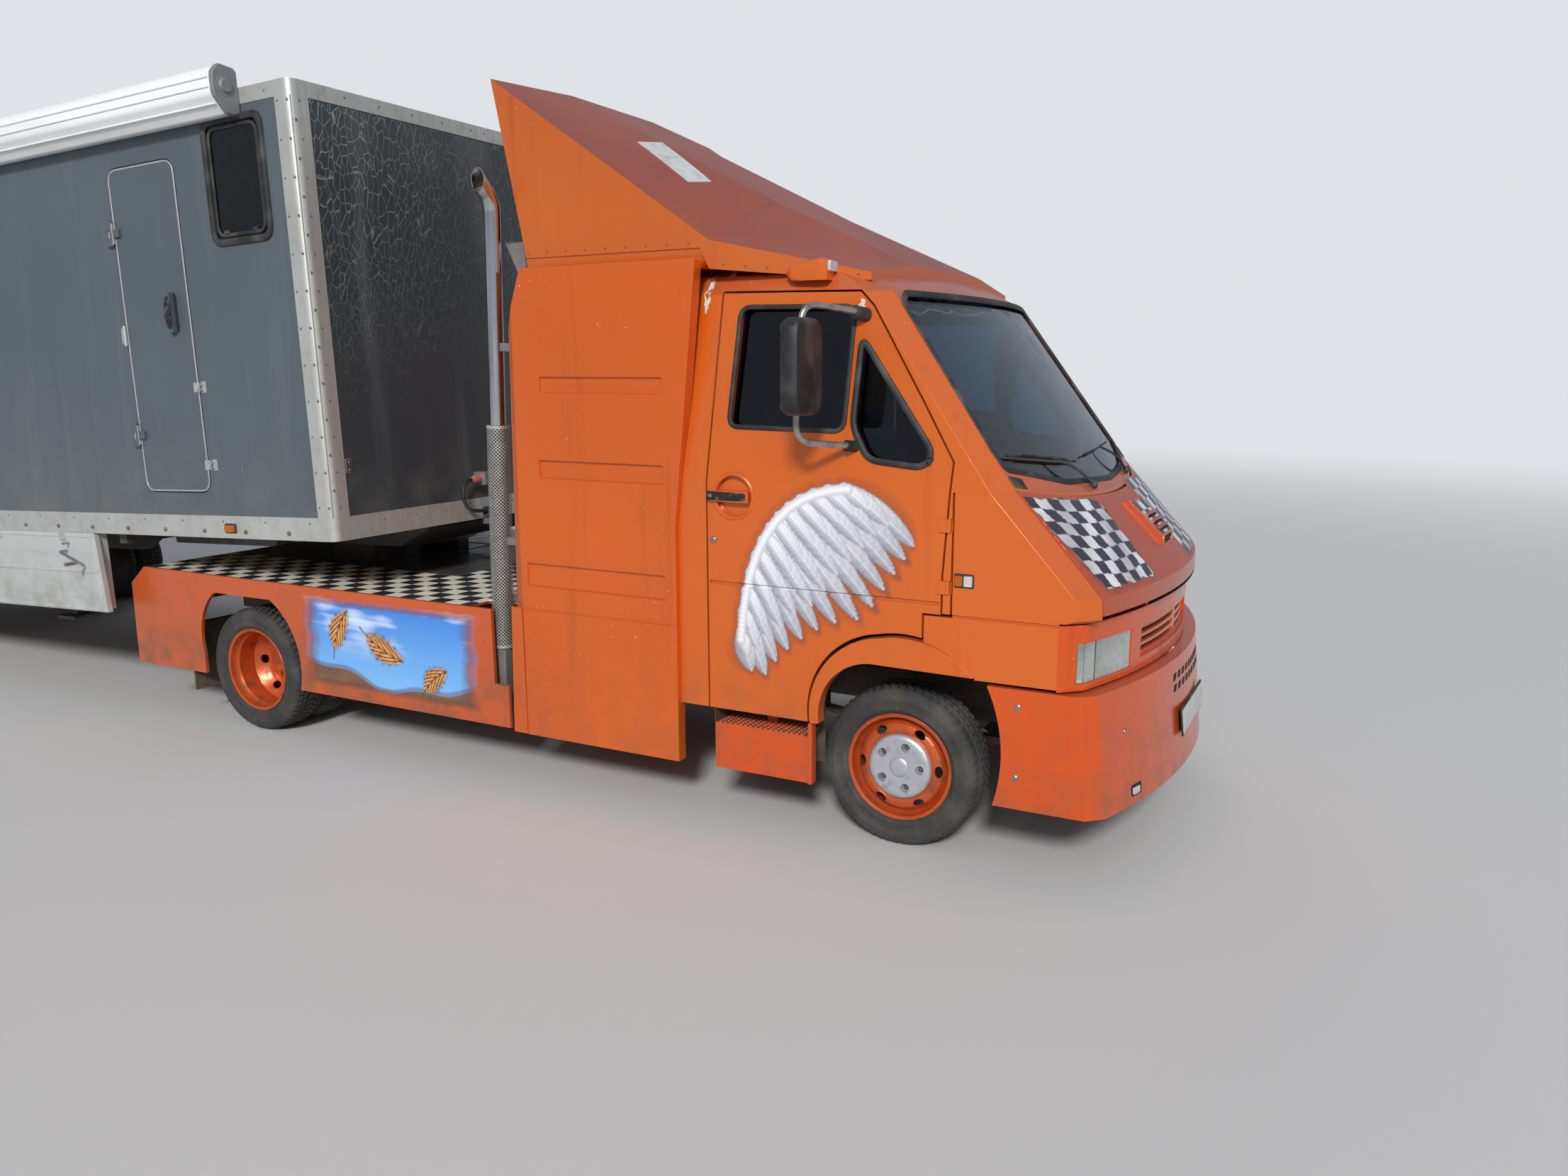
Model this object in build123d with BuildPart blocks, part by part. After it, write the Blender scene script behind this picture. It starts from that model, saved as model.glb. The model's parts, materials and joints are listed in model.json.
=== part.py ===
from build123d import *
import math
import os

os.makedirs("parts", exist_ok=True)

# A light tractor unit with a sleeper box, a roof deflector and a low deck, coupled to a living trailer.
# Millimetres. X runs forward, Y to the left, Z up. Every x below is measured from the front axle, and
# the finished pieces are shifted so that the origin lies on the ground under the middle of the whole.

# Running gear
wheelbase = 3600.0
tyre_radius = 332.0
tyre_width = 205.0
rim_radius = 222.0
rim_bore = 190.0
twin_spacing = 235.0
front_wheel_y = 765.0
rear_wheel_y = 800.0
trailer_wheel_y = 905.0
king_pin_y = 600.0
spring_y = 420.0
running_gap = 0.05

# Ladder frame
frame_rail_y = 380.0
frame_rail_width = 70.0
frame_bottom = 490.0
frame_top = 640.0
frame_front = 560.0
frame_rear = -4440.0

# Cab
cab_half_width = 1000.0
cab_rear = -931.0
cab_wall = 40.0
door_wall = 60.0
door_gap = 8.0
door_hinge_x = 236.0
door_hinge_y = 1000.0
hinge_pin = 5.0
hinge_knuckle = 9.0
hinge_height = 50.0
door_hinges = (1110.0, 1340.0)
arch_gap = 14.0
bonnet_gap = 10.0
lid_half_width = 925.0
corner_length = 75.0
corner_width = 70.0
floor_bottom = 648.0
floor_thickness = 24.0
well_top = 830.0

# Sleeper, deflector and deck
sleeper_half_width = 1030.0
sleeper_wall = 30.0
deck_top = 830.0
deck_half_width = 1050.0
deck_front = -1900.0
deck_rear = -4520.0
skirt_bottom = 280.0
skirt_wall = 20.0

# Coupling and trailer
fifth_wheel_top = 960.0
king_pin_radius = 25.4
trailer_nose_x = -2713.0
trailer_nose_z = 1102.0
trailer_pitch = 2.4
trailer_length = 7200.0
trailer_half_width = 1200.0
trailer_height = 2065.0
coupling_setback = 800.0
trailer_wall = 30.0
trailer_axle_u = -5050.0
trailer_door_gap = 6.0

# Overall placing
front_overhang = 1000.0
rear_wheel_x = -wheelbase
pitch = math.radians(trailer_pitch)
trailer_rear_x = trailer_nose_x - trailer_length * math.cos(pitch) - trailer_height * math.sin(pitch)
frame_shift = -(front_overhang + trailer_rear_x) / 2
trailer_place = Plane(
    origin=(trailer_nose_x, 0, trailer_nose_z),
    x_dir=(math.cos(pitch), 0, math.sin(pitch)),
    z_dir=(-math.sin(pitch), 0, math.cos(pitch)),
).location


def save(piece, name):
    """Shift a finished piece to the common origin, label it and write it."""
    placed = piece.moved(Location((frame_shift, 0, 0)))
    placed.label = name
    export_step(placed, "parts/" + name + ".step")


def both_sides(piece):
    """The piece and its mirror image across the middle of the vehicle."""
    with BuildPart() as pair:
        add(piece)
        mirror(about=Plane.XZ)
    return pair.part


def side_prism(points, half_width, grow=0.0, rounding=0.0):
    """A straight-sided outline in the XZ plane carried across the vehicle."""
    with BuildPart() as prism:
        with BuildSketch(Plane.XZ):
            with BuildLine():
                Polyline(*points, close=True)
            make_face()
            if rounding > 0:
                fillet(vertices(), rounding)
            if grow != 0:
                offset(amount=grow, kind=Kind.INTERSECTION)
        extrude(amount=half_width, both=True)
    return prism.part


def front_prism(points, start, length, rounding=0.0):
    """A straight-sided outline in the YZ plane carried forward from x = start."""
    with BuildPart() as prism:
        with BuildSketch(Plane.YZ.offset(start)):
            with BuildLine():
                Polyline(*points, close=True)
            make_face()
            if rounding > 0:
                fillet(vertices(), rounding)
        extrude(amount=length)
    return prism.part


def block(x_range, y_range, z_range):
    """A plain box between two corners."""
    with BuildPart() as solid:
        with Locations(
            (
                (x_range[0] + x_range[1]) / 2,
                (y_range[0] + y_range[1]) / 2,
                (z_range[0] + z_range[1]) / 2,
            )
        ):
            Box(
                abs(x_range[1] - x_range[0]),
                abs(y_range[1] - y_range[0]),
                abs(z_range[1] - z_range[0]),
            )
    return solid.part


# Cab volume
# Plan sections from the sill to the roof: height, front at the corner, front at the middle, half width.
# The front of each is one bowed arc between two chamfered corners.
cab_levels = [
    (420.0, 735.0, 905.0, 1000.0),
    (1010.0, 735.0, 905.0, 1000.0),
    (1030.0, 788.0, 933.0, 1000.0),
    (1105.0, 783.0, 930.0, 1000.0),
    (1465.0, 463.0, 575.0, 1000.0),
    (2190.0, -60.0, 62.0, 925.0),
    (2262.0, -190.0, -70.0, 870.0),
    (2320.0, -450.0, -330.0, 700.0),
]


def cab_volume(inset, front_inset=None):
    """The cab as one body, drawn in by inset on every side but the bottom; the front may differ."""
    if front_inset is None:
        front_inset = inset
    with BuildPart() as volume:
        for height, corner_x, middle_x, half_width in cab_levels:
            level = height - inset if height > 2000 else height
            side = half_width - inset
            front = corner_x - 1.25 * front_inset
            middle = middle_x - 1.25 * front_inset
            rear = cab_rear + inset
            with BuildSketch(Plane.XY.offset(level)):
                with BuildLine():
                    Line((rear, -side), (front - corner_length, -side))
                    Line((front - corner_length, -side), (front, -side + corner_width))
                    ThreePointArc((front, -side + corner_width), (middle, 0), (front, side - corner_width))
                    Line((front, side - corner_width), (front - corner_length, side))
                    Line((front - corner_length, side), (rear, side))
                    Line((rear, side), (rear, -side))
                make_face()
        loft(ruled=True)
    return volume.part


cab_outer = cab_volume(0)
cab_inner = cab_volume(cab_wall)
door_inner = cab_volume(door_wall, front_inset=-door_wall)

# Outlines in side view
door_step_z = 1006.0
door_outline = [
    (-790, 515),
    (-792, 1450),
    (-748, 2196),
    (-160, 2186),
    (-105, 2132),
    (117, 1776),
    (240, 1570),
    (211, 1150),
    (211, door_step_z),
    (139, door_step_z),
    (139, 515),
]
side_window = [(-667, 2140), (-703, 1678), (-200, 1670), (-176, 2133)]
quarter_window = [(-143, 2020), (-164, 1690), (-95, 1568), (135, 1546), (165, 1600)]
arch_rear = (-321.0, 511.0)
arch_rear_mid = (-232.0, 795.0)
arch_crown = (-31.0, 893.0)
arch_front_mid = (211.0, 874.0)
arch_front = (349.0, 780.0)


def arch_prism(grow):
    """The wheel arch, down to the ground, grown by a gap."""
    with BuildPart() as prism:
        with BuildSketch(Plane.XZ):
            with BuildLine():
                Line((arch_rear[0], 0), arch_rear)
                ThreePointArc(arch_rear, arch_rear_mid, arch_crown)
                ThreePointArc(arch_crown, arch_front_mid, arch_front)
                Line(arch_front, (arch_front[0], 0))
                Line((arch_front[0], 0), (arch_rear[0], 0))
            make_face()
            if grow > 0:
                offset(amount=grow, kind=Kind.INTERSECTION)
        extrude(amount=1100, both=True)
    return prism.part


def bonnet_region(grow):
    """Plan area in front of the cowl line and between the wings, as a tall prism."""
    half = lid_half_width + grow
    with BuildPart() as prism:
        with BuildSketch(Plane.XY):
            with BuildLine():
                ThreePointArc((452 - grow, -half), (628 - grow, 0), (452 - grow, half))
                Line((452 - grow, half), (1200, half))
                Line((1200, half), (1200, -half))
                Line((1200, -half), (452 - grow, -half))
            make_face()
        extrude(amount=2000)
    return prism.part


windscreen_outline = [
    (-900, 1545),
    (-500, 1470),
    (0, 1448),
    (500, 1470),
    (900, 1545),
    (905, 1600),
    (835, 2150),
    (780, 2186),
    (-780, 2186),
    (-835, 2150),
    (-905, 1600),
]

wing_rear = 256.0
lamp_seam = 655.0
cowl_seam = 1462.0

# Cab shell: roof, pillars, screen frame, cowl, rear wall and sills
door_opening = side_prism(door_outline, 1100, grow=door_gap)
with BuildPart() as cab_shell:
    add(cab_outer)
    add(cab_inner, mode=Mode.SUBTRACT)
    add(block((-2000, 900), (-1100, 1100), (0, 515)), mode=Mode.SUBTRACT)
    add(door_opening, mode=Mode.SUBTRACT)
    add(arch_prism(0), mode=Mode.SUBTRACT)
    add(front_prism(windscreen_outline, -250, 1200), mode=Mode.SUBTRACT)
    add(block((wing_rear - 8, 1200), (-1100, 1100), (0, 1395)), mode=Mode.SUBTRACT)
    add(block((141, 1200), (-1100, 1100), (0, 1010)), mode=Mode.SUBTRACT)
    add(bonnet_region(0), mode=Mode.SUBTRACT)
    for side in (-1, 1):
        add(
            block((wing_rear - 8, 1200), (side * lid_half_width, side * 1100), (0, cowl_seam)),
            mode=Mode.SUBTRACT,
        )
    add(block((-2000, cab_rear + cab_wall + 5), (-620, 620), (900, 2080)), mode=Mode.SUBTRACT)
    add(block((-2000, cab_rear + cab_wall + 5), (-480, 480), (0, floor_bottom)), mode=Mode.SUBTRACT)
    for side in (-1, 1):
        for hinge_z in door_hinges:
            add(
                block(
                    (door_hinge_x - 20, door_hinge_x + 12),
                    (side * (door_hinge_y - 12), side * 1100),
                    (hinge_z - hinge_height / 2, hinge_z + hinge_height / 2),
                ),
                mode=Mode.SUBTRACT,
            )
            with Locations((door_hinge_x, side * door_hinge_y, hinge_z)):
                Cylinder(hinge_pin, hinge_height)
save(cab_shell.part, "cab_shell")

# Wings: front side panels from the door's front edge to the headlamp panel
with BuildPart() as wings:
    add(cab_outer)
    add(cab_inner, mode=Mode.SUBTRACT)
    add(block((-2000, wing_rear), (-1100, 1100), (door_step_z - door_gap, 3000)), mode=Mode.SUBTRACT)
    add(block((-2000, 147), (-1100, 1100), (0, 3000)), mode=Mode.SUBTRACT)
    add(block((-2000, 2000), (-1100, 1100), (cowl_seam, 3000)), mode=Mode.SUBTRACT)
    add(block((-2000, 2000), (-1100, 1100), (0, 772)), mode=Mode.SUBTRACT)
    add(block((lamp_seam, 2000), (-1100, 1100), (0, 1016)), mode=Mode.SUBTRACT)
    add(block((-2000, 2000), (-lid_half_width, lid_half_width), (0, 3000)), mode=Mode.SUBTRACT)
    add(arch_prism(0), mode=Mode.SUBTRACT)
    for side in (-1, 1):
        add(block((wing_rear, 900), (side * 992, side * 1010), (1000, 1010)), mode=Mode.SUBTRACT)
save(wings.part, "wings")

# Bonnet: the sloping lid with its front lip and the raised scoop in the middle
bonnet_lip = 1040.0
with BuildPart() as bonnet:
    add(cab_outer)
    add(cab_inner, mode=Mode.SUBTRACT)
    add(bonnet_region(-bonnet_gap), mode=Mode.INTERSECT)
    add(block((-2000, 2000), (-1100, 1100), (0, bonnet_lip)), mode=Mode.SUBTRACT)
    add(block((-2000, 2000), (-1100, 1100), (1475, 3000)), mode=Mode.SUBTRACT)
with BuildPart() as scoop:
    with BuildSketch(Plane.XZ):
        with BuildLine():
            Polyline((655, 1350), (700, 1372), (842, 1236), (842, 1180), (800, 1180), (655, 1330), close=True)
        make_face()
    extrude(amount=115, both=True)
with BuildPart() as bonnet_with_scoop:
    add(bonnet.part)
    add(scoop.part.cut(cab_volume(cab_wall / 2)))
save(bonnet_with_scoop.part, "bonnet")

# Headlamp and grille panel
panel_top = 1008.0
grille_half = 520.0
grille_low = 812.0
grille_high = 935.0
lamp_inner = 600.0
lamp_outer = 952.0
lamp_low = 792.0
lamp_high = 940.0
with BuildPart() as front_panel:
    add(cab_outer)
    add(cab_inner, mode=Mode.SUBTRACT)
    add(block((lamp_seam, 2000), (-1100, 1100), (765, panel_top)), mode=Mode.INTERSECT)
    add(block((600, 1200), (-grille_half, grille_half), (grille_low, grille_high)), mode=Mode.SUBTRACT)
    for side in (-1, 1):
        lamp_hole = block((600, 1200), (side * lamp_inner, side * lamp_outer), (lamp_low, lamp_high))
        add(lamp_hole, mode=Mode.SUBTRACT)
with BuildPart() as grille_bars:
    add(cab_volume(14))
    add(cab_volume(34), mode=Mode.SUBTRACT)
    add(block((600, 1200), (-grille_half, grille_half), (grille_low, grille_high)), mode=Mode.INTERSECT)
    for bar_z in (826, 860, 894):
        add(block((600, 1200), (-grille_half, -24), (bar_z, bar_z + 20)), mode=Mode.SUBTRACT)
        add(block((600, 1200), (24, grille_half), (bar_z, bar_z + 20)), mode=Mode.SUBTRACT)
stop_gap = 0.3
with BuildPart() as front_panel_whole:
    add(front_panel.part)
    add(grille_bars.part)
    for side in (-1, 1):
        with BuildSketch(Plane.XY.offset(panel_top)):
            with Locations((850, side * 450)):
                Circle(10)
        extrude(amount=bonnet_lip - stop_gap - panel_top)
save(front_panel_whole.part, "front_panel")

with BuildPart() as headlamps:
    add(cab_volume(3))
    add(cab_volume(85), mode=Mode.SUBTRACT)
    add(block((lamp_seam + 4, 1200), (-lamp_outer, -lamp_inner), (lamp_low, lamp_high)), mode=Mode.INTERSECT)
save(both_sides(headlamps.part), "headlamps")

# Bumper: a deep bowed apron with side wings that end at the wheel arch
bumper_top = 757.0
bumper_bottom = 300.0
bumper_wall = 26.0
bumper_lid = 20.0
plate_hole_spacing = 400.0
plate_hole_radius = 3.5
plate_z = 495.0
bumper_levels = [(bumper_bottom, 838.0, 1000.0), (bumper_top, 790.0, 955.0)]


def bumper_volume(inset, drop):
    """The bumper's outer form drawn in by inset, and lowered at both ends by drop."""
    with BuildPart() as volume:
        for height, corner_x, middle_x in bumper_levels:
            side = cab_half_width - inset
            front = corner_x - inset
            with BuildSketch(Plane.XY.offset(height - drop)):
                with BuildLine():
                    Line((200, -side), (front - 60, -side))
                    Line((front - 60, -side), (front, -side + 55))
                    ThreePointArc((front, -side + 55), (middle_x - inset, 0), (front, side - 55))
                    Line((front, side - 55), (front - 60, side))
                    Line((front - 60, side), (200, side))
                    Line((200, side), (200, -side))
                make_face()
        loft(ruled=True)
    return volume.part


with BuildPart() as bumper_arch:
    with BuildSketch(Plane.XZ):
        with BuildLine():
            Line((0, 0), (433, 0))
            Line((433, 0), (433, 302))
            ThreePointArc((433, 302), (456, 560), (391, 770))
            Line((391, 770), (0, 900))
            Line((0, 900), (0, 0))
        make_face()
    extrude(amount=1100, both=True)
with BuildPart() as bumper:
    add(bumper_volume(0, 0))
    add(bumper_volume(bumper_wall, bumper_lid), mode=Mode.SUBTRACT)
    add(bumper_arch.part, mode=Mode.SUBTRACT)
    add(block((200, 600), (-930, 930), (700, 800)), mode=Mode.SUBTRACT)
    for side in (-1, 1):
        with BuildSketch(Plane.YZ.offset(900)):
            with Locations((side * plate_hole_spacing / 2, plate_z)):
                Circle(plate_hole_radius)
        extrude(amount=150, mode=Mode.SUBTRACT)
save(bumper.part, "bumper")

# Windscreen: one bonded sheet inside the frame's edge
with BuildPart() as windscreen:
    add(cab_volume(8))
    add(cab_volume(14), mode=Mode.SUBTRACT)
    add(front_prism(windscreen_outline, -250, 1200), mode=Mode.INTERSECT)
save(windscreen.part, "windscreen")

# Doors with their window openings, and the panes in them. The rear edge is thinner above the handle,
# so that it swings clear of the opening.
rear_flange = 14.0
with BuildPart() as flange_rebate:
    add(cab_volume(rear_flange, front_inset=-door_wall))
    add(block((-900, -728), (-1100, -700), (1500, 2300)), mode=Mode.INTERSECT)
with BuildPart() as door_blank:
    add(cab_outer)
    add(door_inner, mode=Mode.SUBTRACT)
    add(side_prism(door_outline, 1100), mode=Mode.INTERSECT)
    add(arch_prism(arch_gap), mode=Mode.SUBTRACT)
    add(block((-2000, 2000), (-700, 1100), (0, 3000)), mode=Mode.SUBTRACT)
    add(side_prism(side_window, 1100, rounding=24), mode=Mode.SUBTRACT)
    add(side_prism(quarter_window, 1100, rounding=18), mode=Mode.SUBTRACT)
    add(flange_rebate.part, mode=Mode.SUBTRACT)
handle_x = -672.0
handle_z = 1402.0
with BuildPart() as door_right:
    add(door_blank.part)
    with BuildSketch(Plane.XZ.offset(cab_half_width - 22)):
        with Locations((handle_x, handle_z)):
            Circle(84)
    extrude(amount=40, mode=Mode.SUBTRACT)
    with BuildSketch(Plane.XZ.offset(cab_half_width - 26)):
        with Locations((handle_x - 18, handle_z)):
            Rectangle(184, 44)
    extrude(amount=40)
    add(block((-785, 205), (-cab_half_width - 5, -cab_half_width + 9), (1040, 1054)), mode=Mode.SUBTRACT)
    for hinge_z in door_hinges:
        knuckle_height = hinge_height - 1
        with Locations((door_hinge_x, -door_hinge_y, hinge_z)):
            Cylinder(hinge_knuckle, knuckle_height)
        with Locations((door_hinge_x - 18, -door_hinge_y, hinge_z)):
            Box(36, 14, knuckle_height)
        with Locations((door_hinge_x, -door_hinge_y, hinge_z)):
            Cylinder(hinge_pin + running_gap, hinge_height, mode=Mode.SUBTRACT)
save(door_right.part, "door_right")
save(door_right.part.mirror(Plane.XZ), "door_left")
with BuildPart() as pane_outlines:
    add(side_prism(side_window, 1100, rounding=24))
    add(side_prism(quarter_window, 1100, rounding=18))
with BuildPart() as glass_right:
    add(cab_volume(26))
    add(cab_volume(31), mode=Mode.SUBTRACT)
    add(pane_outlines.part, mode=Mode.INTERSECT)
    add(block((-2000, 2000), (-700, 1100), (0, 3000)), mode=Mode.SUBTRACT)
save(glass_right.part, "door_glass_right")
save(glass_right.part.mirror(Plane.XZ), "door_glass_left")

# Cab floor: floor pan, wheel wells, firewall and engine tunnel in one pressing
tunnel_half = 290.0
tunnel_top = 980.0
firewall_x = 205.0
well_rear = -345.0
well_front = 420.0
well_inner = 560.0
floor_half = 930.0
floor_top = floor_bottom + floor_thickness
sheet = 15.0
with BuildPart() as cab_floor:
    add(block((cab_rear + cab_wall, well_rear), (-floor_half, floor_half), (floor_bottom, floor_top)))
    add(block((well_rear, firewall_x), (-well_inner, well_inner), (floor_bottom, floor_top)))
    for side in (-1, 1):
        inner = side * well_inner
        outer = side * floor_half
        add(block((well_rear - sheet, well_rear), (inner, outer), (floor_bottom, well_top)))
        add(block((well_rear - sheet, well_front), (inner, outer), (well_top, well_top + sheet)))
        cheek = inner - side * sheet
        add(block((well_rear - sheet, well_front), (inner, cheek), (floor_bottom, well_top + sheet)))
        add(block((firewall_x - sheet, firewall_x), (inner - side * sheet, outer), (well_top, 1380)))
    add(block((firewall_x - sheet, firewall_x), (-well_inner, well_inner), (floor_bottom, 1380)))
    add(block((-360, firewall_x), (-tunnel_half, tunnel_half), (floor_bottom, tunnel_top)))
    add(
        block((-345, firewall_x + 5), (-tunnel_half + sheet, tunnel_half - sheet), (0, tunnel_top - sheet)),
        mode=Mode.SUBTRACT,
    )
save(cab_floor.part, "cab_floor")

# Dashboard, seats and steering wheel
with BuildPart() as dashboard:
    with BuildSketch(Plane.XZ):
        with BuildLine():
            Polyline(
                (firewall_x - sheet, 1000),
                (firewall_x - sheet, 1384),
                (540, 1396),
                (540, 1412),
                (150, 1398),
                (-20, 1300),
                (-30, 1160),
                (60, 1040),
                close=True,
            )
        make_face()
    extrude(amount=930, both=True)
    add(cab_volume(door_wall + 8), mode=Mode.INTERSECT)
save(dashboard.part, "dashboard")

seat_y = 520.0
with BuildPart() as seat:
    with BuildSketch(Plane.XZ.offset(seat_y)):
        with BuildLine():
            Polyline(
                (-230, 1010),
                (-690, 960),
                (-800, 1560),
                (-770, 1720),
                (-700, 1720),
                (-690, 1560),
                (-600, 1130),
                (-240, 1150),
                close=True,
            )
        make_face()
        fillet(vertices(), 22)
    extrude(amount=240, both=True)
    add(block((-690, -375), (-seat_y - 180, -seat_y + 180), (floor_top, 1000)))
save(both_sides(seat.part), "seats")

steering_plane = Plane(origin=(-190, seat_y, 1330), x_dir=(0, 1, 0), z_dir=(-0.62, 0, 0.785))
with BuildPart() as steering_level:
    with BuildSketch(Plane.XZ):
        with Locations((200, 0)):
            Circle(15)
    revolve(axis=Axis.Z)
    with Locations((0, 0, -10)):
        Cylinder(45, 60)
    Box(400, 40, 14)
    with Locations((0, 0, -150)):
        Cylinder(24, 230)
with BuildPart() as steering_wheel:
    add(steering_level.part.moved(steering_plane.location))
    add(dashboard.part, mode=Mode.SUBTRACT)
save(steering_wheel.part, "steering_wheel")

# Sleeper: a moulded box with an open underside, its ribs, and the doorway to the cab
sleeper_floor = 655.0
sleeper_outline = [
    (-1830, 257),
    (-1802, 1208),
    (-1780, 2076),
    (-1693, 2322),
    (-820, 2328),
    (-868, 1851),
    (-931, 1264),
    (-931, 257),
]
sleeper_cavity = [
    (-1772, sleeper_floor + sleeper_wall),
    (-1750, 2062),
    (-1672, 2292),
    (-700, 2292),
    (-700, sleeper_floor + sleeper_wall),
]
sleeper_ribs = [(1803.0, 65.0, -1610.0), (1443.0, 75.0, -1625.0), (973.0, 100.0, -1715.0)]
bevel_length = 88.0
bevel_width = 50.0
with BuildPart() as sleeper_plan:
    with BuildSketch(Plane.XY):
        with BuildLine():
            Polyline(
                (-700, -sleeper_half_width),
                (-700, sleeper_half_width),
                (-1835 + bevel_length, sleeper_half_width),
                (-1835, sleeper_half_width - bevel_width),
                (-1835, -sleeper_half_width + bevel_width),
                (-1835 + bevel_length, -sleeper_half_width),
                close=True,
            )
        make_face()
    extrude(amount=2400)
with BuildPart() as sleeper:
    add(side_prism(sleeper_outline, sleeper_half_width))
    add(sleeper_plan.part, mode=Mode.INTERSECT)
    add(side_prism(sleeper_cavity, sleeper_half_width - 60), mode=Mode.SUBTRACT)
    add(
        block(
            (-1835 + sleeper_wall + 10, -700),
            (-sleeper_half_width + 60, sleeper_half_width - 60),
            (0, sleeper_floor),
        ),
        mode=Mode.SUBTRACT,
    )
    for side in (-1, 1):
        for rib_low, rib_height, rib_rear in sleeper_ribs:
            add(
                block(
                    (rib_rear, -985),
                    (side * (sleeper_half_width - 16), side * 1100),
                    (rib_low - rib_height / 2 + 32, rib_low + rib_height / 2 + 32),
                ),
                mode=Mode.SUBTRACT,
            )
    add(block((-1900, -1700), (-480, 480), (0, sleeper_floor)), mode=Mode.SUBTRACT)
    add(cab_outer, mode=Mode.SUBTRACT)
save(sleeper.part, "sleeper_box")

# Roof deflector: a creased shell from the cab's header up to the trailer's height
# Cross sections: x, height of the side edge, half width there, height of the middle, its half width.
deflector_sections = [
    (-1960.0, 3153.0, 900.0, 3185.0, 330.0),
    (-800.0, 2400.0, 955.0, 2610.0, 400.0),
    (-150.0, 2262.0, 850.0, 2318.0, 430.0),
]
deflector_outline = [
    (-1911, 3200),
    (-1911, 3121),
    (-1760, 2430),
    (-1750, 2372),
    (-845, 2372),
    (-800, 2290),
    (-150, 2232),
    (0, 2232),
    (0, 3200),
]
deflector_wall = 30.0


def deflector_volume(inset):
    """The deflector's form drawn in at the sides and lowered at the top by inset."""
    with BuildPart() as volume:
        for x, side_z, side_y, middle_z, middle_y in deflector_sections:
            edge = side_y - inset
            with BuildSketch(Plane.YZ.offset(x)):
                with BuildLine():
                    Polyline(
                        (-edge, 2150),
                        (-edge, side_z - inset),
                        (-middle_y, middle_z - inset),
                        (middle_y, middle_z - inset),
                        (edge, side_z - inset),
                        (edge, 2150),
                        close=True,
                    )
                make_face()
        loft(ruled=True)
    return volume.part


with BuildPart() as deflector_cavity:
    add(deflector_volume(deflector_wall))
    add(block((-2000, -760), (-1100, 1100), (2100, 3300)), mode=Mode.INTERSECT)
with BuildPart() as roof_deflector:
    add(deflector_volume(0))
    add(deflector_cavity.part, mode=Mode.SUBTRACT)
    add(side_prism(deflector_outline, 1200), mode=Mode.INTERSECT)
    add(cab_outer, mode=Mode.SUBTRACT)
    add(side_prism(sleeper_outline, sleeper_half_width), mode=Mode.SUBTRACT)
save(roof_deflector.part, "roof_deflector")

# Deck: chequered platform with bearers down to the frame
deck_sheet = 20.0
bearer_width = 60.0
stack_box_inner = 880.0
with BuildPart() as deck:
    with BuildSketch(Plane.XZ):
        with BuildLine():
            Polyline(
                (-1862, deck_top),
                (-4405, deck_top),
                (-4515, deck_top - 108),
                (-4515, deck_top - 138),
                (-4408, deck_top - deck_sheet),
                (-1862, deck_top - deck_sheet),
                close=True,
            )
        make_face()
    extrude(amount=deck_half_width - skirt_wall, both=True)
    for bearer_x in (-1960, -2500, -3050, -3600, -4150):
        with BuildSketch(Plane.XY.offset(frame_top)):
            with Locations((bearer_x, 0)):
                Rectangle(bearer_width, 2 * (deck_half_width - skirt_wall))
        extrude(amount=deck_top - deck_sheet - frame_top)
    for side in (-1, 1):
        add(
            block((-2080, -1840), (side * stack_box_inner, side * 1060), (600, 900)),
            mode=Mode.SUBTRACT,
        )
    add(block((-4150, -3050), (-1060, -500), (600, 800)), mode=Mode.SUBTRACT)
    add(block((-4150, -3050), (500, 1060), (600, 800)), mode=Mode.SUBTRACT)
save(deck.part, "deck")

# Deck skirts with the flat-topped wheel cut-out
with BuildPart() as skirt:
    with BuildSketch(Plane.XZ.offset(deck_half_width - skirt_wall)):
        with BuildLine():
            Polyline(
                (deck_front - 20, deck_top),
                (-4400, deck_top),
                (deck_rear, deck_top - 98),
                (deck_rear, skirt_bottom),
                (-1835, skirt_bottom),
                (-1835, 480),
                (-1915, 480),
                close=True,
            )
        make_face()
        with BuildLine():
            Line((-3950, skirt_bottom - 50), (-3950, 400))
            ThreePointArc((-3950, 400), (-3928, 620), (-3830, 735))
            Line((-3830, 735), (-3400, 735))
            ThreePointArc((-3400, 735), (-3260, 600), (-3215, skirt_bottom))
            Line((-3215, skirt_bottom), (-3215, skirt_bottom - 50))
            Line((-3215, skirt_bottom - 50), (-3950, skirt_bottom - 50))
        make_face(mode=Mode.SUBTRACT)
    extrude(amount=skirt_wall)
save(both_sides(skirt.part), "deck_skirts")

# Ladder frame, with two horns that end on the bumper's inner face
with BuildPart() as bumper_front:
    add(block((600, 1200), (-1100, 1100), (200, 760)))
    add(bumper_volume(bumper_wall, bumper_lid), mode=Mode.SUBTRACT)
with BuildPart() as chassis_frame:
    for side in (-1, 1):
        with Locations(((frame_front + frame_rear) / 2, side * frame_rail_y, (frame_bottom + frame_top) / 2)):
            Box(frame_front - frame_rear, frame_rail_width, frame_top - frame_bottom)
    for member_x in (520, -650, -1500, -2600, -3200, -4000, -4410):
        with Locations((member_x, 0, 565)):
            Box(60, 2 * frame_rail_y, 90)
    with Locations((650, 0, 560)):
        Box(180, 1500, 60)
    for side in (-1, 1):
        with Locations((690, side * 700, 600)):
            Box(60, 60, 200)
        with Locations((800, side * 560, 560)):
            Box(240, 80, 60)
    add(bumper_front.part, mode=Mode.SUBTRACT)
save(chassis_frame.part, "chassis_frame")


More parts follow.
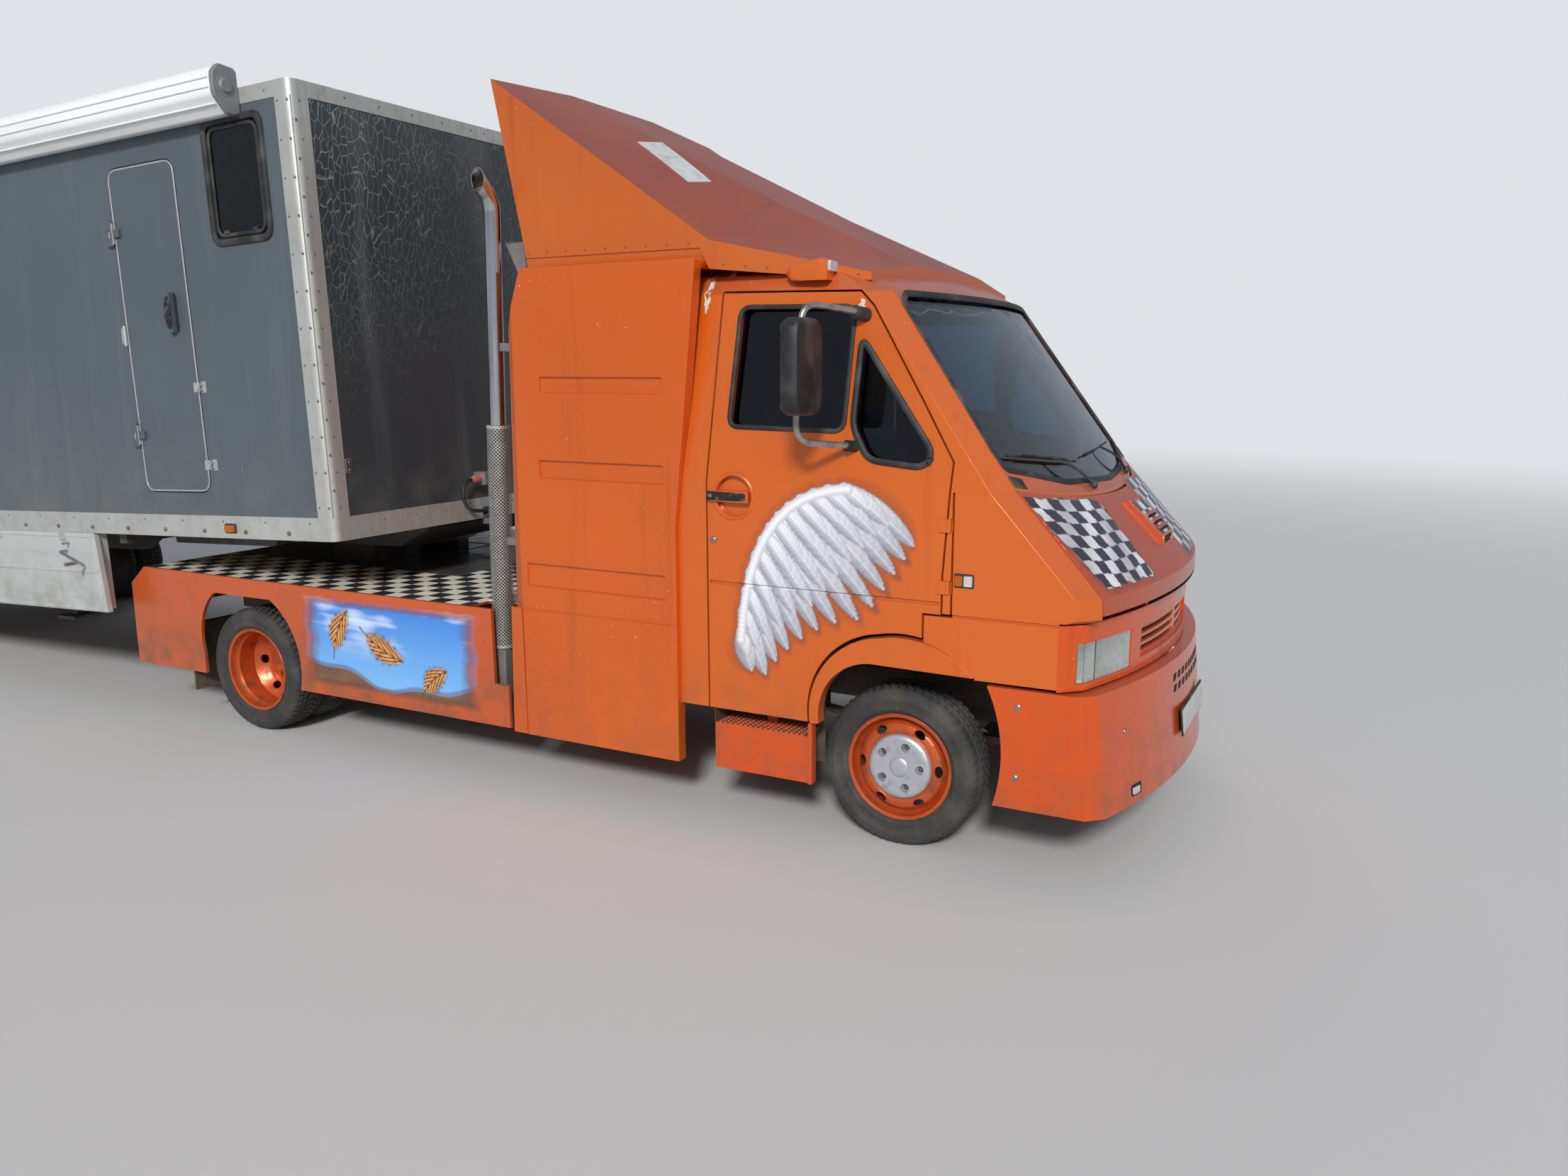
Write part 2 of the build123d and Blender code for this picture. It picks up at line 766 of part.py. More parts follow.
def turned(points, x, y, z):
    """A ring profile of (radius, offset along the axle) turned about the axle at (x, y, z)."""
    with BuildPart() as ring:
        with BuildSketch(Plane.XY):
            with BuildLine():
                Polyline(*points, close=True)
            make_face()
        revolve(axis=Axis.Y)
    return ring.part.moved(Location((x, y, z)))


def rod(x, z, radius, y_from, y_to):
    """A round bar along Y between two stations."""
    with BuildPart() as bar:
        with BuildSketch(Plane.XZ.offset(-y_to)):
            with Locations((x, z)):
                Circle(radius)
        extrude(amount=y_to - y_from)
    return bar.part


# Tyre: a closed ring with rounded shoulders and bulged walls
rim_half = tyre_width * 0.40
half_tread = tyre_width * 0.42
tyre_profile = [
    (rim_bore + 22, -rim_half + 2),
    (rim_radius + 1, -rim_half + 1),
    (rim_radius + 10, -tyre_width * 0.47),
    (rim_radius + 55, -tyre_width * 0.5),
    (tyre_radius - 22, -tyre_width * 0.46),
    (tyre_radius - 5, -half_tread),
    (tyre_radius, -tyre_width * 0.3),
    (tyre_radius, tyre_width * 0.3),
    (tyre_radius - 5, half_tread),
    (tyre_radius - 22, tyre_width * 0.46),
    (rim_radius + 55, tyre_width * 0.5),
    (rim_radius + 10, tyre_width * 0.47),
    (rim_radius + 1, rim_half - 1),
    (rim_bore + 22, rim_half - 2),
]
# Rim barrel: two flanges, bead seats and a drop centre
barrel_profile = [
    (rim_radius, -rim_half - 9),
    (rim_radius, -rim_half - 1),
    (rim_bore + 21, -rim_half - 1),
    (rim_bore + 21, -rim_half + 30),
    (rim_bore + 9, -rim_half + 42),
    (rim_bore + 9, rim_half - 42),
    (rim_bore + 21, rim_half - 30),
    (rim_bore + 21, rim_half + 1),
    (rim_radius, rim_half + 1),
    (rim_radius, rim_half + 9),
    (rim_bore + 12, rim_half + 9),
    (rim_bore + 12, rim_half - 26),
    (rim_bore, rim_half - 38),
    (rim_bore, -rim_half + 38),
    (rim_bore + 12, -rim_half + 26),
    (rim_bore + 12, -rim_half - 9),
]
hub_bore = 30.0
hub_radius = 78.0
disc_wall = 12.0


def single_rim(x, y):
    """Right-hand front rim: barrel, dished disc near the outer flange, hub with its spindle bore."""
    outer = -rim_half + 14
    with BuildPart() as rim:
        add(turned(barrel_profile, 0, 0, 0))
        add(
            turned(
                [
                    (hub_bore + running_gap, outer - 22),
                    (58, outer - 22),
                    (62, outer + 6),
                    (112, outer + 6),
                    (150, outer - 10),
                    (rim_bore + 4, outer + 34),
                    (rim_bore + 4, outer + 34 + disc_wall),
                    (150, outer - 10 + disc_wall),
                    (hub_radius, outer + 6 + disc_wall),
                    (hub_radius, outer + 88),
                    (hub_bore + running_gap, outer + 88),
                ],
                0,
                0,
                0,
            )
        )
    return rim.part.moved(Location((x, y, tyre_radius)))


def twin_rims(x, y):
    """Right-hand twin rims: both discs bolt together at the middle, the outer rim dished deep."""
    with BuildPart() as rims:
        for side in (-1, 1):
            add(turned(barrel_profile, 0, side * twin_spacing / 2, 0))
            centre = side * disc_wall / 2
            barrel_y = side * (twin_spacing / 2 - rim_half + 30)
            add(
                turned(
                    [
                        (hub_bore + running_gap, centre - disc_wall / 2),
                        (130, centre - disc_wall / 2),
                        (rim_bore + 4, barrel_y - disc_wall / 2),
                        (rim_bore + 4, barrel_y + disc_wall / 2),
                        (130, centre + disc_wall / 2),
                        (hub_bore + running_gap, centre + disc_wall / 2),
                    ],
                    0,
                    0,
                    0,
                )
            )
        add(
            turned(
                [
                    (hub_bore + running_gap, -62),
                    (52, -62),
                    (66, -disc_wall),
                    (66, disc_wall),
                    (88, disc_wall),
                    (88, 86),
                    (hub_bore + running_gap, 86),
                ],
                0,
                0,
                0,
            )
        )
    return rims.part.moved(Location((x, y, tyre_radius)))


trailer_wheel_x = trailer_nose_x + trailer_axle_u * math.cos(pitch)
front_tyre = turned(tyre_profile, 0, -front_wheel_y, tyre_radius)
save(front_tyre, "tyre_front_right")
save(front_tyre.mirror(Plane.XZ), "tyre_front_left")
front_rim = single_rim(0, -front_wheel_y)
save(front_rim, "rim_front_right")
save(front_rim.mirror(Plane.XZ), "rim_front_left")
# Twin wheels: name, axle station, distance from the middle
for set_name, axle_x, wheel_y in (
    ("rear", rear_wheel_x, rear_wheel_y),
    ("trailer", trailer_wheel_x, trailer_wheel_y),
):
    with BuildPart() as twin_tyres:
        for side in (-1, 1):
            add(turned(tyre_profile, axle_x, -wheel_y + side * twin_spacing / 2, tyre_radius))
    save(twin_tyres.part, "tyres_" + set_name + "_right")
    save(twin_tyres.part.mirror(Plane.XZ), "tyres_" + set_name + "_left")
    rims = twin_rims(axle_x, -wheel_y)
    save(rims, "rims_" + set_name + "_right")
    save(rims.mirror(Plane.XZ), "rims_" + set_name + "_left")

# Front axle: a dropped beam with an upright boss at each end for the steering knuckle
boss_radius = 34.0
boss_height = 110.0
pin_radius = 16.0
with BuildPart() as front_axle:
    with Locations((0, 0, tyre_radius - 60)):
        Box(90, 2 * king_pin_y - 150, 80)
    for side in (-1, 1):
        with Locations((0, side * (king_pin_y - 62), tyre_radius)):
            Box(60, 80, boss_height - 6)
        with Locations((0, side * spring_y, tyre_radius - 9)):
            Box(90, 70, 22)
        with Locations((0, side * king_pin_y, tyre_radius)):
            Cylinder(boss_radius, boss_height)
        with Locations((0, side * king_pin_y, tyre_radius)):
            Hole(pin_radius + running_gap)
save(front_axle.part, "front_axle")

# Knuckle: fork around the boss, king pin and wheel spindle
fork_wall = 20.0
fork_gap = 1.0
spindle_reach = front_wheel_y - king_pin_y + rim_half - 14 + 26
with BuildPart() as knuckle_right:
    for side in (-1, 1):
        with Locations((0, -king_pin_y, tyre_radius + side * (boss_height / 2 + fork_gap + fork_wall / 2))):
            Cylinder(boss_radius + 4, fork_wall)
    with Locations((0, -king_pin_y, tyre_radius)):
        Cylinder(pin_radius, boss_height + 2 * fork_gap + 2 * fork_wall)
    fork_height = boss_height + 2 * fork_gap + 2 * fork_wall
    with Locations((0, -king_pin_y - 46, tyre_radius)):
        Box(64, 16, fork_height)
    for side in (-1, 1):
        with Locations((0, -king_pin_y - 25, tyre_radius + side * (fork_height / 2 - fork_wall / 2))):
            Box(64, 50, fork_wall)
    add(rod(0, tyre_radius, hub_bore, -king_pin_y - spindle_reach, -king_pin_y - 50))
save(knuckle_right.part, "knuckle_right")
save(knuckle_right.part.mirror(Plane.XZ), "knuckle_left")

# Leaf springs: front and rear packs with their hangers up to the frame
# Axle station, half length, height of the leaf's middle, height of its ends, pack thickness
spring_table = [
    (0.0, 560.0, tyre_radius + 2, 400.0, 40.0),
    (rear_wheel_x, 620.0, tyre_radius + 75, 445.0, 56.0),
]
with BuildPart() as springs:
    for side in (-1, 1):
        for axle_x, half_length, middle_z, end_z, pack in spring_table:
            with BuildSketch(Plane.XZ.offset(-side * spring_y)):
                with BuildLine():
                    ThreePointArc(
                        (axle_x - half_length, end_z), (axle_x, middle_z), (axle_x + half_length, end_z)
                    )
                    Line((axle_x + half_length, end_z), (axle_x + half_length, end_z + 14))
                    ThreePointArc(
                        (axle_x + half_length, end_z + 14),
                        (axle_x, middle_z + pack),
                        (axle_x - half_length, end_z + 14),
                    )
                    Line((axle_x - half_length, end_z + 14), (axle_x - half_length, end_z))
                make_face()
            extrude(amount=30, both=True)
            for end in (-1, 1):
                hanger_x = axle_x + end * (half_length - 12)
                with Locations((hanger_x, side * spring_y, (end_z + frame_bottom) / 2)):
                    Box(50, 70, frame_bottom - end_z)
    add(front_axle.part, mode=Mode.SUBTRACT)
save(springs.part, "springs")

# Rear axle: banjo case, tubes with wheel spindles, and the propeller shaft to the gearbox
with BuildPart() as rear_axle:
    add(rod(rear_wheel_x, tyre_radius, 55, -rear_wheel_y + 95, rear_wheel_y - 95))
    add(rod(rear_wheel_x, tyre_radius, hub_bore, -rear_wheel_y - 58, rear_wheel_y + 58))
    with Locations((rear_wheel_x, 0, tyre_radius)):
        Sphere(150)
    with BuildSketch(Plane.YZ.offset(rear_wheel_x + 100)):
        with Locations((0, tyre_radius + 20)):
            Circle(36)
    extrude(amount=2150)
    for side in (-1, 1):
        with Locations((rear_wheel_x, side * spring_y, tyre_radius + 38)):
            Box(110, 76, 76)
    add(springs.part, mode=Mode.SUBTRACT)
save(rear_axle.part, "rear_axle")

# Engine and gearbox: one plain block with the box behind it
with BuildPart() as engine_block:
    with Locations((130, 0, 660)):
        Box(900, 500, 560)
    with Locations((-640, 0, 510)):
        Box(640, 300, 260)
    add(rear_axle.part, mode=Mode.SUBTRACT)
    add(cab_floor.part, mode=Mode.SUBTRACT)
    add(chassis_frame.part, mode=Mode.SUBTRACT)
save(engine_block.part, "engine_block")

# Fuel tank between the axles on the left rail, carried on two straps
with BuildPart() as fuel_tank:
    with BuildSketch(Plane.YZ.offset(-2950)):
        with Locations((650, 450)):
            RectangleRounded(400, 320, 50)
    extrude(amount=900)
    for strap_x in (-2750, -2250):
        add(block((strap_x - 25, strap_x + 25), (frame_rail_y + 35, 470), (500, 600)))
save(fuel_tank.part, "fuel_tank")

# Fifth wheel: a round plate with a rear throat, on two pedestals bolted to the deck
king_pin_x = trailer_nose_x - coupling_setback
plate_radius = 430.0
plate_thickness = 30.0
throat_radius = king_pin_radius + 1.0
with BuildPart() as fifth_wheel:
    with BuildSketch(Plane.XY.offset(fifth_wheel_top - plate_thickness)):
        with Locations((king_pin_x, 0)):
            Circle(plate_radius)
            Circle(throat_radius, mode=Mode.SUBTRACT)
        with BuildLine():
            Polyline(
                (king_pin_x, throat_radius),
                (king_pin_x - 200, throat_radius),
                (king_pin_x - 600, 200),
                (king_pin_x - 600, -200),
                (king_pin_x - 200, -throat_radius),
                (king_pin_x, -throat_radius),
                close=True,
            )
        make_face(mode=Mode.SUBTRACT)
    extrude(amount=plate_thickness)
    for side in (-1, 1):
        with Locations((king_pin_x, side * 330, (deck_top + fifth_wheel_top - plate_thickness) / 2)):
            Box(320, 90, fifth_wheel_top - plate_thickness - deck_top)
save(fifth_wheel.part, "fifth_wheel")

# Exhaust stacks: drawn upright from the guard's foot and then leant forward like the sleeper's back
stack_x = -1933.0
stack_y = 955.0
stack_foot = 636.0
stack_lean = 1.34
stack_radius = 35.0
stack_wall = 3.0
guard_radius = 47.0
guard_height = 1019.0
stack_height = 1925.0
mouth_bend = 110.0
mouth_tail = 70.0
mouth_y = 1022.0
box_half = 43.0
lean = math.radians(stack_lean)
stack_place = Plane(
    origin=(stack_x, 0, stack_foot),
    x_dir=(math.cos(lean), 0, -math.sin(lean)),
    z_dir=(math.sin(lean), 0, math.cos(lean)),
).location
mouth_angle = math.radians(45)
bend_end = (
    0,
    -stack_y - mouth_bend * (1 - math.cos(mouth_angle)),
    stack_height + mouth_bend * math.sin(mouth_angle),
)
tail_end = (
    0,
    bend_end[1] - mouth_tail * math.sin(mouth_angle),
    bend_end[2] + mouth_tail * math.cos(mouth_angle),
)


def stack_tube(radius, start):
    """A bar along the stack's middle line from a height up through the bent mouth."""
    with BuildPart() as tube:
        with BuildLine() as middle_line:
            Line((0, -stack_y, start), (0, -stack_y, stack_height))
            TangentArc([(0, -stack_y, stack_height), bend_end], tangent=(0, 0, 1))
            Line(bend_end, tail_end)
        with BuildSketch(Plane.XY.offset(start)):
            with Locations((0, -stack_y)):
                Circle(radius)
        sweep(path=middle_line.wires()[0])
    return tube.part


with BuildPart() as upright_stack:
    add(stack_tube(stack_radius, 0))
    add(stack_tube(stack_radius - stack_wall, stack_height - 300), mode=Mode.SUBTRACT)
    mouth_range = (stack_height - 200, stack_height + 400)
    add(block((-100, 100), (-1300, -mouth_y), mouth_range), mode=Mode.SUBTRACT)
    with Locations((0, -stack_y, guard_height / 2)):
        Cylinder(guard_radius, guard_height)
    with BuildSketch(Plane.YZ.offset(-box_half)):
        with BuildLine():
            Polyline(
                (-stack_box_inner + 8, 60),
                (-stack_box_inner + 8, 10),
                (-stack_y + box_half, 0),
                (-stack_y + box_half, -170),
                (-stack_y + 22, -250),
                (-stack_y - 22, -250),
                (-stack_y - box_half, -170),
                (-stack_y - box_half, 0),
                (-stack_y, 60),
                close=True,
            )
        make_face()
    extrude(amount=2 * box_half)
    for bracket_z in (1360, 500):
        with Locations((90, -stack_y, bracket_z)):
            Box(180, 24, 40)
with BuildPart() as stack:
    add(upright_stack.part.moved(stack_place))
    add(side_prism(sleeper_outline, sleeper_half_width), mode=Mode.SUBTRACT)
    add(deck.part, mode=Mode.SUBTRACT)
save(both_sides(stack.part), "exhaust_stacks")

# Cab steps: a pierced tread with a deep fascia, carried on a bracket from the frame
step_rear = -772.0
step_front = -314.0
step_top = 450.0
step_bottom = 252.0
step_inner = 850.0
step_tread_front = -350.0
step_outer = 995.0
with BuildPart() as step:
    add(block((step_rear, step_tread_front), (-step_outer, -step_inner), (step_top - 12, step_top)))
    add(block((step_rear, step_front - 20), (-step_outer, -step_outer + 12), (step_bottom, step_top)))
    add(block((step_rear, step_rear + 12), (-step_outer, -step_inner), (step_bottom, step_top)))
    add(block((step_front - 20, step_front), (-step_outer - 12, -step_outer + 30), (step_bottom, 509)))
    lower_lip = (step_bottom, step_bottom + 10)
    add(block((step_rear, step_tread_front), (-step_outer, -step_inner - 40), lower_lip))
    add(block((-585, -535), (-step_inner - 30, -frame_rail_y - frame_rail_width / 2), (490, 520)))
    add(block((-585, -535), (-step_inner - 30, -step_inner), (step_top - 12, 520)))
save(both_sides(step.part), "steps")

# Arch trims: a raised band around each front wheel opening
with BuildPart() as arch_trim:
    with BuildSketch(Plane.XZ.offset(cab_half_width - 45)):
        with BuildLine():
            ThreePointArc(arch_rear, arch_rear_mid, arch_crown)
            ThreePointArc(arch_crown, arch_front_mid, arch_front)
            Line(arch_front, (-29, 786))
            ThreePointArc((-29, 786), (-205, 730), (-281, 517))
            Line((-281, 517), arch_rear)
        make_face()
    extrude(amount=60)
save(both_sides(arch_trim.part), "arch_trims")

# Mud flaps behind the rear wheels
with BuildPart() as mudflap:
    add(block((-4130, -4118), (-1000, -600), (150, 500)))
    add(block((-4130, -4090), (-1000, -415), (500, 530)))
save(both_sides(mudflap.part), "mudflaps")

# Mirrors: a flat head on a bent tube that stands off the door
mirror_x = -245.0
mirror_y = -1205.0
mirror_tube = 14.0
with BuildPart() as mirror_right:
    with BuildLine() as mirror_path:
        FilletPolyline(
            (-125, -930, 2105),
            (mirror_x - 20, mirror_y, 2135),
            (mirror_x - 45, mirror_y, 1640),
            (-150, -990, 1618),
            radius=70,
        )
    with BuildSketch(Plane(origin=mirror_path.line @ 0, z_dir=mirror_path.line % 0)):
        Circle(mirror_tube)
    sweep()
    with BuildSketch(Plane.YZ.offset(mirror_x - 40)):
        with Locations((mirror_y - 30, 1910)):
            RectangleRounded(220, 345, 35)
    extrude(amount=75)
    add(door_right.part, mode=Mode.SUBTRACT)
save(mirror_right.part, "mirror_right")
save(mirror_right.part.mirror(Plane.XZ), "mirror_left")


def on_trailer(piece):
    """Move a piece drawn from the trailer's nose (forward, left, up) to its place behind the cab."""
    return piece.moved(trailer_place)


# Trailer: aluminium edge profiles around the box
corner_profile = 100.0
rail_height = 112.0
rail_depth = 36.0
top_rail = 70.0
wall_low = rail_height
wall_high = trailer_height - top_rail
with BuildPart() as trailer_profiles:
    for side in (-1, 1):
        outer = side * trailer_half_width
        inner = side * (trailer_half_width - rail_depth)
        add(block((-trailer_length, 0), (inner, outer), (0, rail_height)))
        add(block((-trailer_length, 0), (inner, outer), (wall_high, trailer_height)))
        for end in (-trailer_length, 0):
            step_in = corner_profile if end < 0 else -corner_profile
            with BuildSketch(Plane.XY):
                with Locations((end + step_in / 2, outer - side * corner_profile / 2)):
                    Rectangle(corner_profile, corner_profile)
                    Rectangle(corner_profile - 20, corner_profile - 20, mode=Mode.SUBTRACT)
            extrude(amount=trailer_height)
    for end in (-trailer_length, -rail_depth):
        add(block((end, end + rail_depth), (-trailer_half_width, trailer_half_width), (0, rail_height)))
        add(
            block(
                (end, end + rail_depth),
                (-trailer_half_width, trailer_half_width),
                (wall_high, trailer_height),
            )
        )
    outer_corners = edges().filter_by(Axis.Z).filter_by(
        lambda e: abs(abs(e.center().Y) - trailer_half_width) < 1
        and (abs(e.center().X) < 1 or abs(e.center().X + trailer_length) < 1)
    )
    fillet(outer_corners, 42)
save(on_trailer(trailer_profiles.part), "trailer_profiles")

# Trailer side walls with the door and window openings
door_u_rear = -1350.0
door_u_front = -845.0
door_w_low = 232.0
door_w_high = 1824.0
trailer_hinge_u = door_u_rear - trailer_door_gap / 2
hinge_stand_off = 12.0
trailer_hinge_v = trailer_half_width + hinge_stand_off
trailer_hinges = (520.0, 1520.0)
trailer_knuckle = 40.0
# Windows: side (-1 right, 1 left), rear end, length, sill, height
window_table = [
    (-1, -600.0, 390.0, 1405.0, 540.0),
    (-1, -4300.0, 900.0, 1150.0, 500.0),
    (1, -2400.0, 1000.0, 1150.0, 550.0),
    (1, -5200.0, 1000.0, 1150.0, 550.0),
]
with BuildPart() as trailer_side_walls:
    for side in (-1, 1):
        add(
            block(
                (-trailer_length + corner_profile, -corner_profile),
                (side * (trailer_half_width - 3), side * (trailer_half_width - 3 - trailer_wall)),
                (wall_low, wall_high),
            )
        )
    for side, window_u, window_long, window_w, window_high in window_table:
        add(
            block(
                (window_u, window_u + window_long),
                (side * (trailer_half_width - 100), side * (trailer_half_width + 100)),
                (window_w, window_w + window_high),
            ),
            mode=Mode.SUBTRACT,
        )
    with BuildSketch(Plane.XZ.offset(trailer_half_width + 100)):
        with Locations(((door_u_rear + door_u_front) / 2, (door_w_low + door_w_high) / 2)):
            RectangleRounded(
                door_u_front - door_u_rear + 2 * trailer_door_gap,
                door_w_high - door_w_low + 2 * trailer_door_gap,
                70,
            )
    extrude(amount=-200, mode=Mode.SUBTRACT)
    for hinge_w in trailer_hinges:
        for end in (-1, 1):
            knuckle_w = hinge_w + end * trailer_knuckle
            with Locations((trailer_hinge_u, -trailer_hinge_v, knuckle_w)):
                Cylinder(8, trailer_knuckle)
            with Locations((trailer_hinge_u - 24, -trailer_hinge_v + 4, knuckle_w)):
                Box(48, 8, trailer_knuckle)
            with Locations((trailer_hinge_u - 30, -trailer_half_width, knuckle_w)):
                Box(36, 16, trailer_knuckle)
        with Locations((trailer_hinge_u, -trailer_hinge_v, hinge_w)):
            Cylinder(4, trailer_knuckle)
save(on_trailer(trailer_side_walls.part), "trailer_side_walls")

with BuildPart() as trailer_door:
    with BuildSketch(Plane.XZ.offset(trailer_half_width - 1 - trailer_wall)):
        with Locations(((door_u_rear + door_u_front) / 2, (door_w_low + door_w_high) / 2)):
            RectangleRounded(door_u_front - door_u_rear, door_w_high - door_w_low, 64)
    extrude(amount=trailer_wall)
    with Locations((-968, -trailer_half_width - 12, 1110)):
        Box(34, 30, 190)
    for hinge_w in trailer_hinges:
        with Locations((trailer_hinge_u, -trailer_hinge_v, hinge_w)):
            Cylinder(8, trailer_knuckle - 1)
        with Locations((trailer_hinge_u + 28, -trailer_hinge_v + 7, hinge_w)):
            Box(56, 14, trailer_knuckle - 1)
        with Locations((trailer_hinge_u, -trailer_hinge_v, hinge_w)):
            Cylinder(4 + running_gap, trailer_knuckle, mode=Mode.SUBTRACT)
save(on_trailer(trailer_door.part), "trailer_door")

with BuildPart() as trailer_windows:
    for side, window_u, window_long, window_w, window_high in window_table:
        add(
            block(
                (window_u + 0.5, window_u + window_long - 0.5),
                (side * (trailer_half_width - 12), side * (trailer_half_width - 4)),
                (window_w + 0.5, window_w + window_high - 0.5),
            )
        )
save(on_trailer(trailer_windows.part), "trailer_windows")

# Trailer front wall, rear wall, roof and floor
with BuildPart() as trailer_front_wall:
    add(
        block(
            (-3 - trailer_wall, -3),
            (-trailer_half_width + corner_profile, trailer_half_width - corner_profile),
            (wall_low, wall_high),
        )
    )
save(on_trailer(trailer_front_wall.part), "trailer_front_wall")
with BuildPart() as trailer_rear_wall:
    add(
        block(
            (-trailer_length + 3, -trailer_length + 3 + trailer_wall),
            (-trailer_half_width + corner_profile, trailer_half_width - corner_profile),
            (wall_low, wall_high),
        )
    )
save(on_trailer(trailer_rear_wall.part), "trailer_rear_wall")
with BuildPart() as trailer_roof:
    add(
        block(
            (-trailer_length + corner_profile, -corner_profile),
            (-trailer_half_width + rail_depth, trailer_half_width - rail_depth),
            (trailer_height - 40, trailer_height - 6),
        )
    )
save(on_trailer(trailer_roof.part), "trailer_roof")
with BuildPart() as trailer_floor:
    add(
        block(
            (-trailer_length + corner_profile, -corner_profile),
            (-trailer_half_width + rail_depth, trailer_half_width - rail_depth),
            (20, 70),
        )
    )
save(on_trailer(trailer_floor.part), "trailer_floor")

# Socket and plug on the front wall, and the short lead from it to a plate on the bottom rail
plug_radius = 21.0
plug_u = 38.0
plug_w = 218.0
plug_end = -300.0
socket_v = -235.0
lead_radius = 6.5
plate_v = -200.0
with BuildPart() as trailer_plug:
    add(block((-3, plug_u + 37), (socket_v, socket_v + 65), (plug_w - 36, plug_w + 36)))
    add(block((0, 90), (plate_v, plate_v + 5), (-30, rail_height)))
    for start_v, u, w, radius, length in (
        (socket_v, plug_u, plug_w, plug_radius, socket_v - plug_end),
        (plate_v + 50, 50, 40, 28, 45),
    ):
        with BuildSketch(Plane.XZ.offset(-start_v)):
            with Locations((u, w)):
                Circle(radius)
        extrude(amount=length)
    with BuildLine(Plane.YZ.offset(plug_u)) as lead_path:
        ThreePointArc((plug_end, plug_w), (-362, 140), (plate_v, 60))
    with BuildSketch(Plane(origin=lead_path.line @ 0, z_dir=lead_path.line % 0)):
        Circle(lead_radius)
    sweep()
save(on_trailer(trailer_plug.part), "trailer_plug")

# Awning cassette along the right-hand top edge
awning_front = -345.0
awning_rear = -6200.0
with BuildPart() as awning:
    with BuildSketch(Plane.YZ.offset(awning_rear)):
        with BuildLine():
            Polyline(
                (-trailer_half_width, trailer_height - 115),
                (-trailer_half_width, trailer_height + 75),
                (-trailer_half_width - 90, trailer_height + 85),
                (-trailer_half_width - 125, trailer_height + 45),
                (-trailer_half_width - 125, trailer_height - 45),
                (-trailer_half_width - 60, trailer_height - 125),
                close=True,
            )
        make_face()
    extrude(amount=awning_front - awning_rear)
save(on_trailer(awning.part), "awning")

# Trailer frame: shallow beams over the tractor, deeper ones behind, coupling wedge and king pin
beam_y = 450.0
leg_u = -2800.0
shallow = 90.0
deep = 210.0
with BuildPart() as trailer_beams:
    for side in (-1, 1):
        with BuildSketch(Plane.XZ.offset(-side * beam_y)):
            with BuildLine():
                Polyline(
                    (-120, 20),
                    (-120, -30),
                    (-260, -shallow),
                    (-2350, -shallow),
                    (-2550, -deep),
                    (-6900, -deep),
                    (-7000, -60),
                    (-7000, 20),
                    close=True,
                )
            make_face()
        extrude(amount=35, both=True)
    for member_u in (-1700, leg_u, -3900, -5900, -6900):
        with Locations((member_u, 0, -30)):
            Box(60, 2 * (trailer_half_width - 60), 60)
coupling_gap = 0.3
plate_bottom = fifth_wheel_top + coupling_gap
with BuildPart() as trailer_frame:
    add(on_trailer(trailer_beams.part))
    with BuildSketch(Plane.XZ):
        with BuildLine():
            Polyline(
                (trailer_nose_x - 130, 1070),
                (trailer_nose_x - 330, plate_bottom),
                (trailer_nose_x - 1380, plate_bottom),
                (trailer_nose_x - 1380, 1010),
                (trailer_nose_x - 1400, 1050),
                close=True,
            )
        make_face()
    extrude(amount=480, both=True)
    add(on_trailer(block((-2000, 100), (-600, 600), (20, 400))), mode=Mode.SUBTRACT)
    with BuildSketch(Plane.XY.offset(plate_bottom + 1)):
        with Locations((king_pin_x, 0)):
            Circle(king_pin_radius)
    extrude(amount=-plate_thickness - 30)
save(trailer_frame.part, "trailer_frame")

# Trailer side skirts behind the tractor, with wheel cut-outs
with BuildPart() as trailer_skirts:
    with BuildSketch(Plane.XZ.offset(trailer_half_width - 33)):
        with BuildLine():
            Polyline((-1866, 0), (-6950, 0), (-6950, -300), (-6400, -440), (-1830, -440), close=True)
        make_face()
        with BuildLine():
            Polyline(
                (trailer_axle_u - 470, -700),
                (trailer_axle_u - 400, -260),
                (trailer_axle_u - 280, -150),
                (trailer_axle_u + 280, -150),
                (trailer_axle_u + 400, -260),
                (trailer_axle_u + 470, -700),
                close=True,
            )
        make_face(mode=Mode.SUBTRACT)
    extrude(amount=30)
    skirt_return = (-trailer_half_width + 33, -trailer_half_width + 80)
    add(block((-1905, -1872), skirt_return, (-430, -2)))
save(on_trailer(both_sides(trailer_skirts.part)), "trailer_skirts")

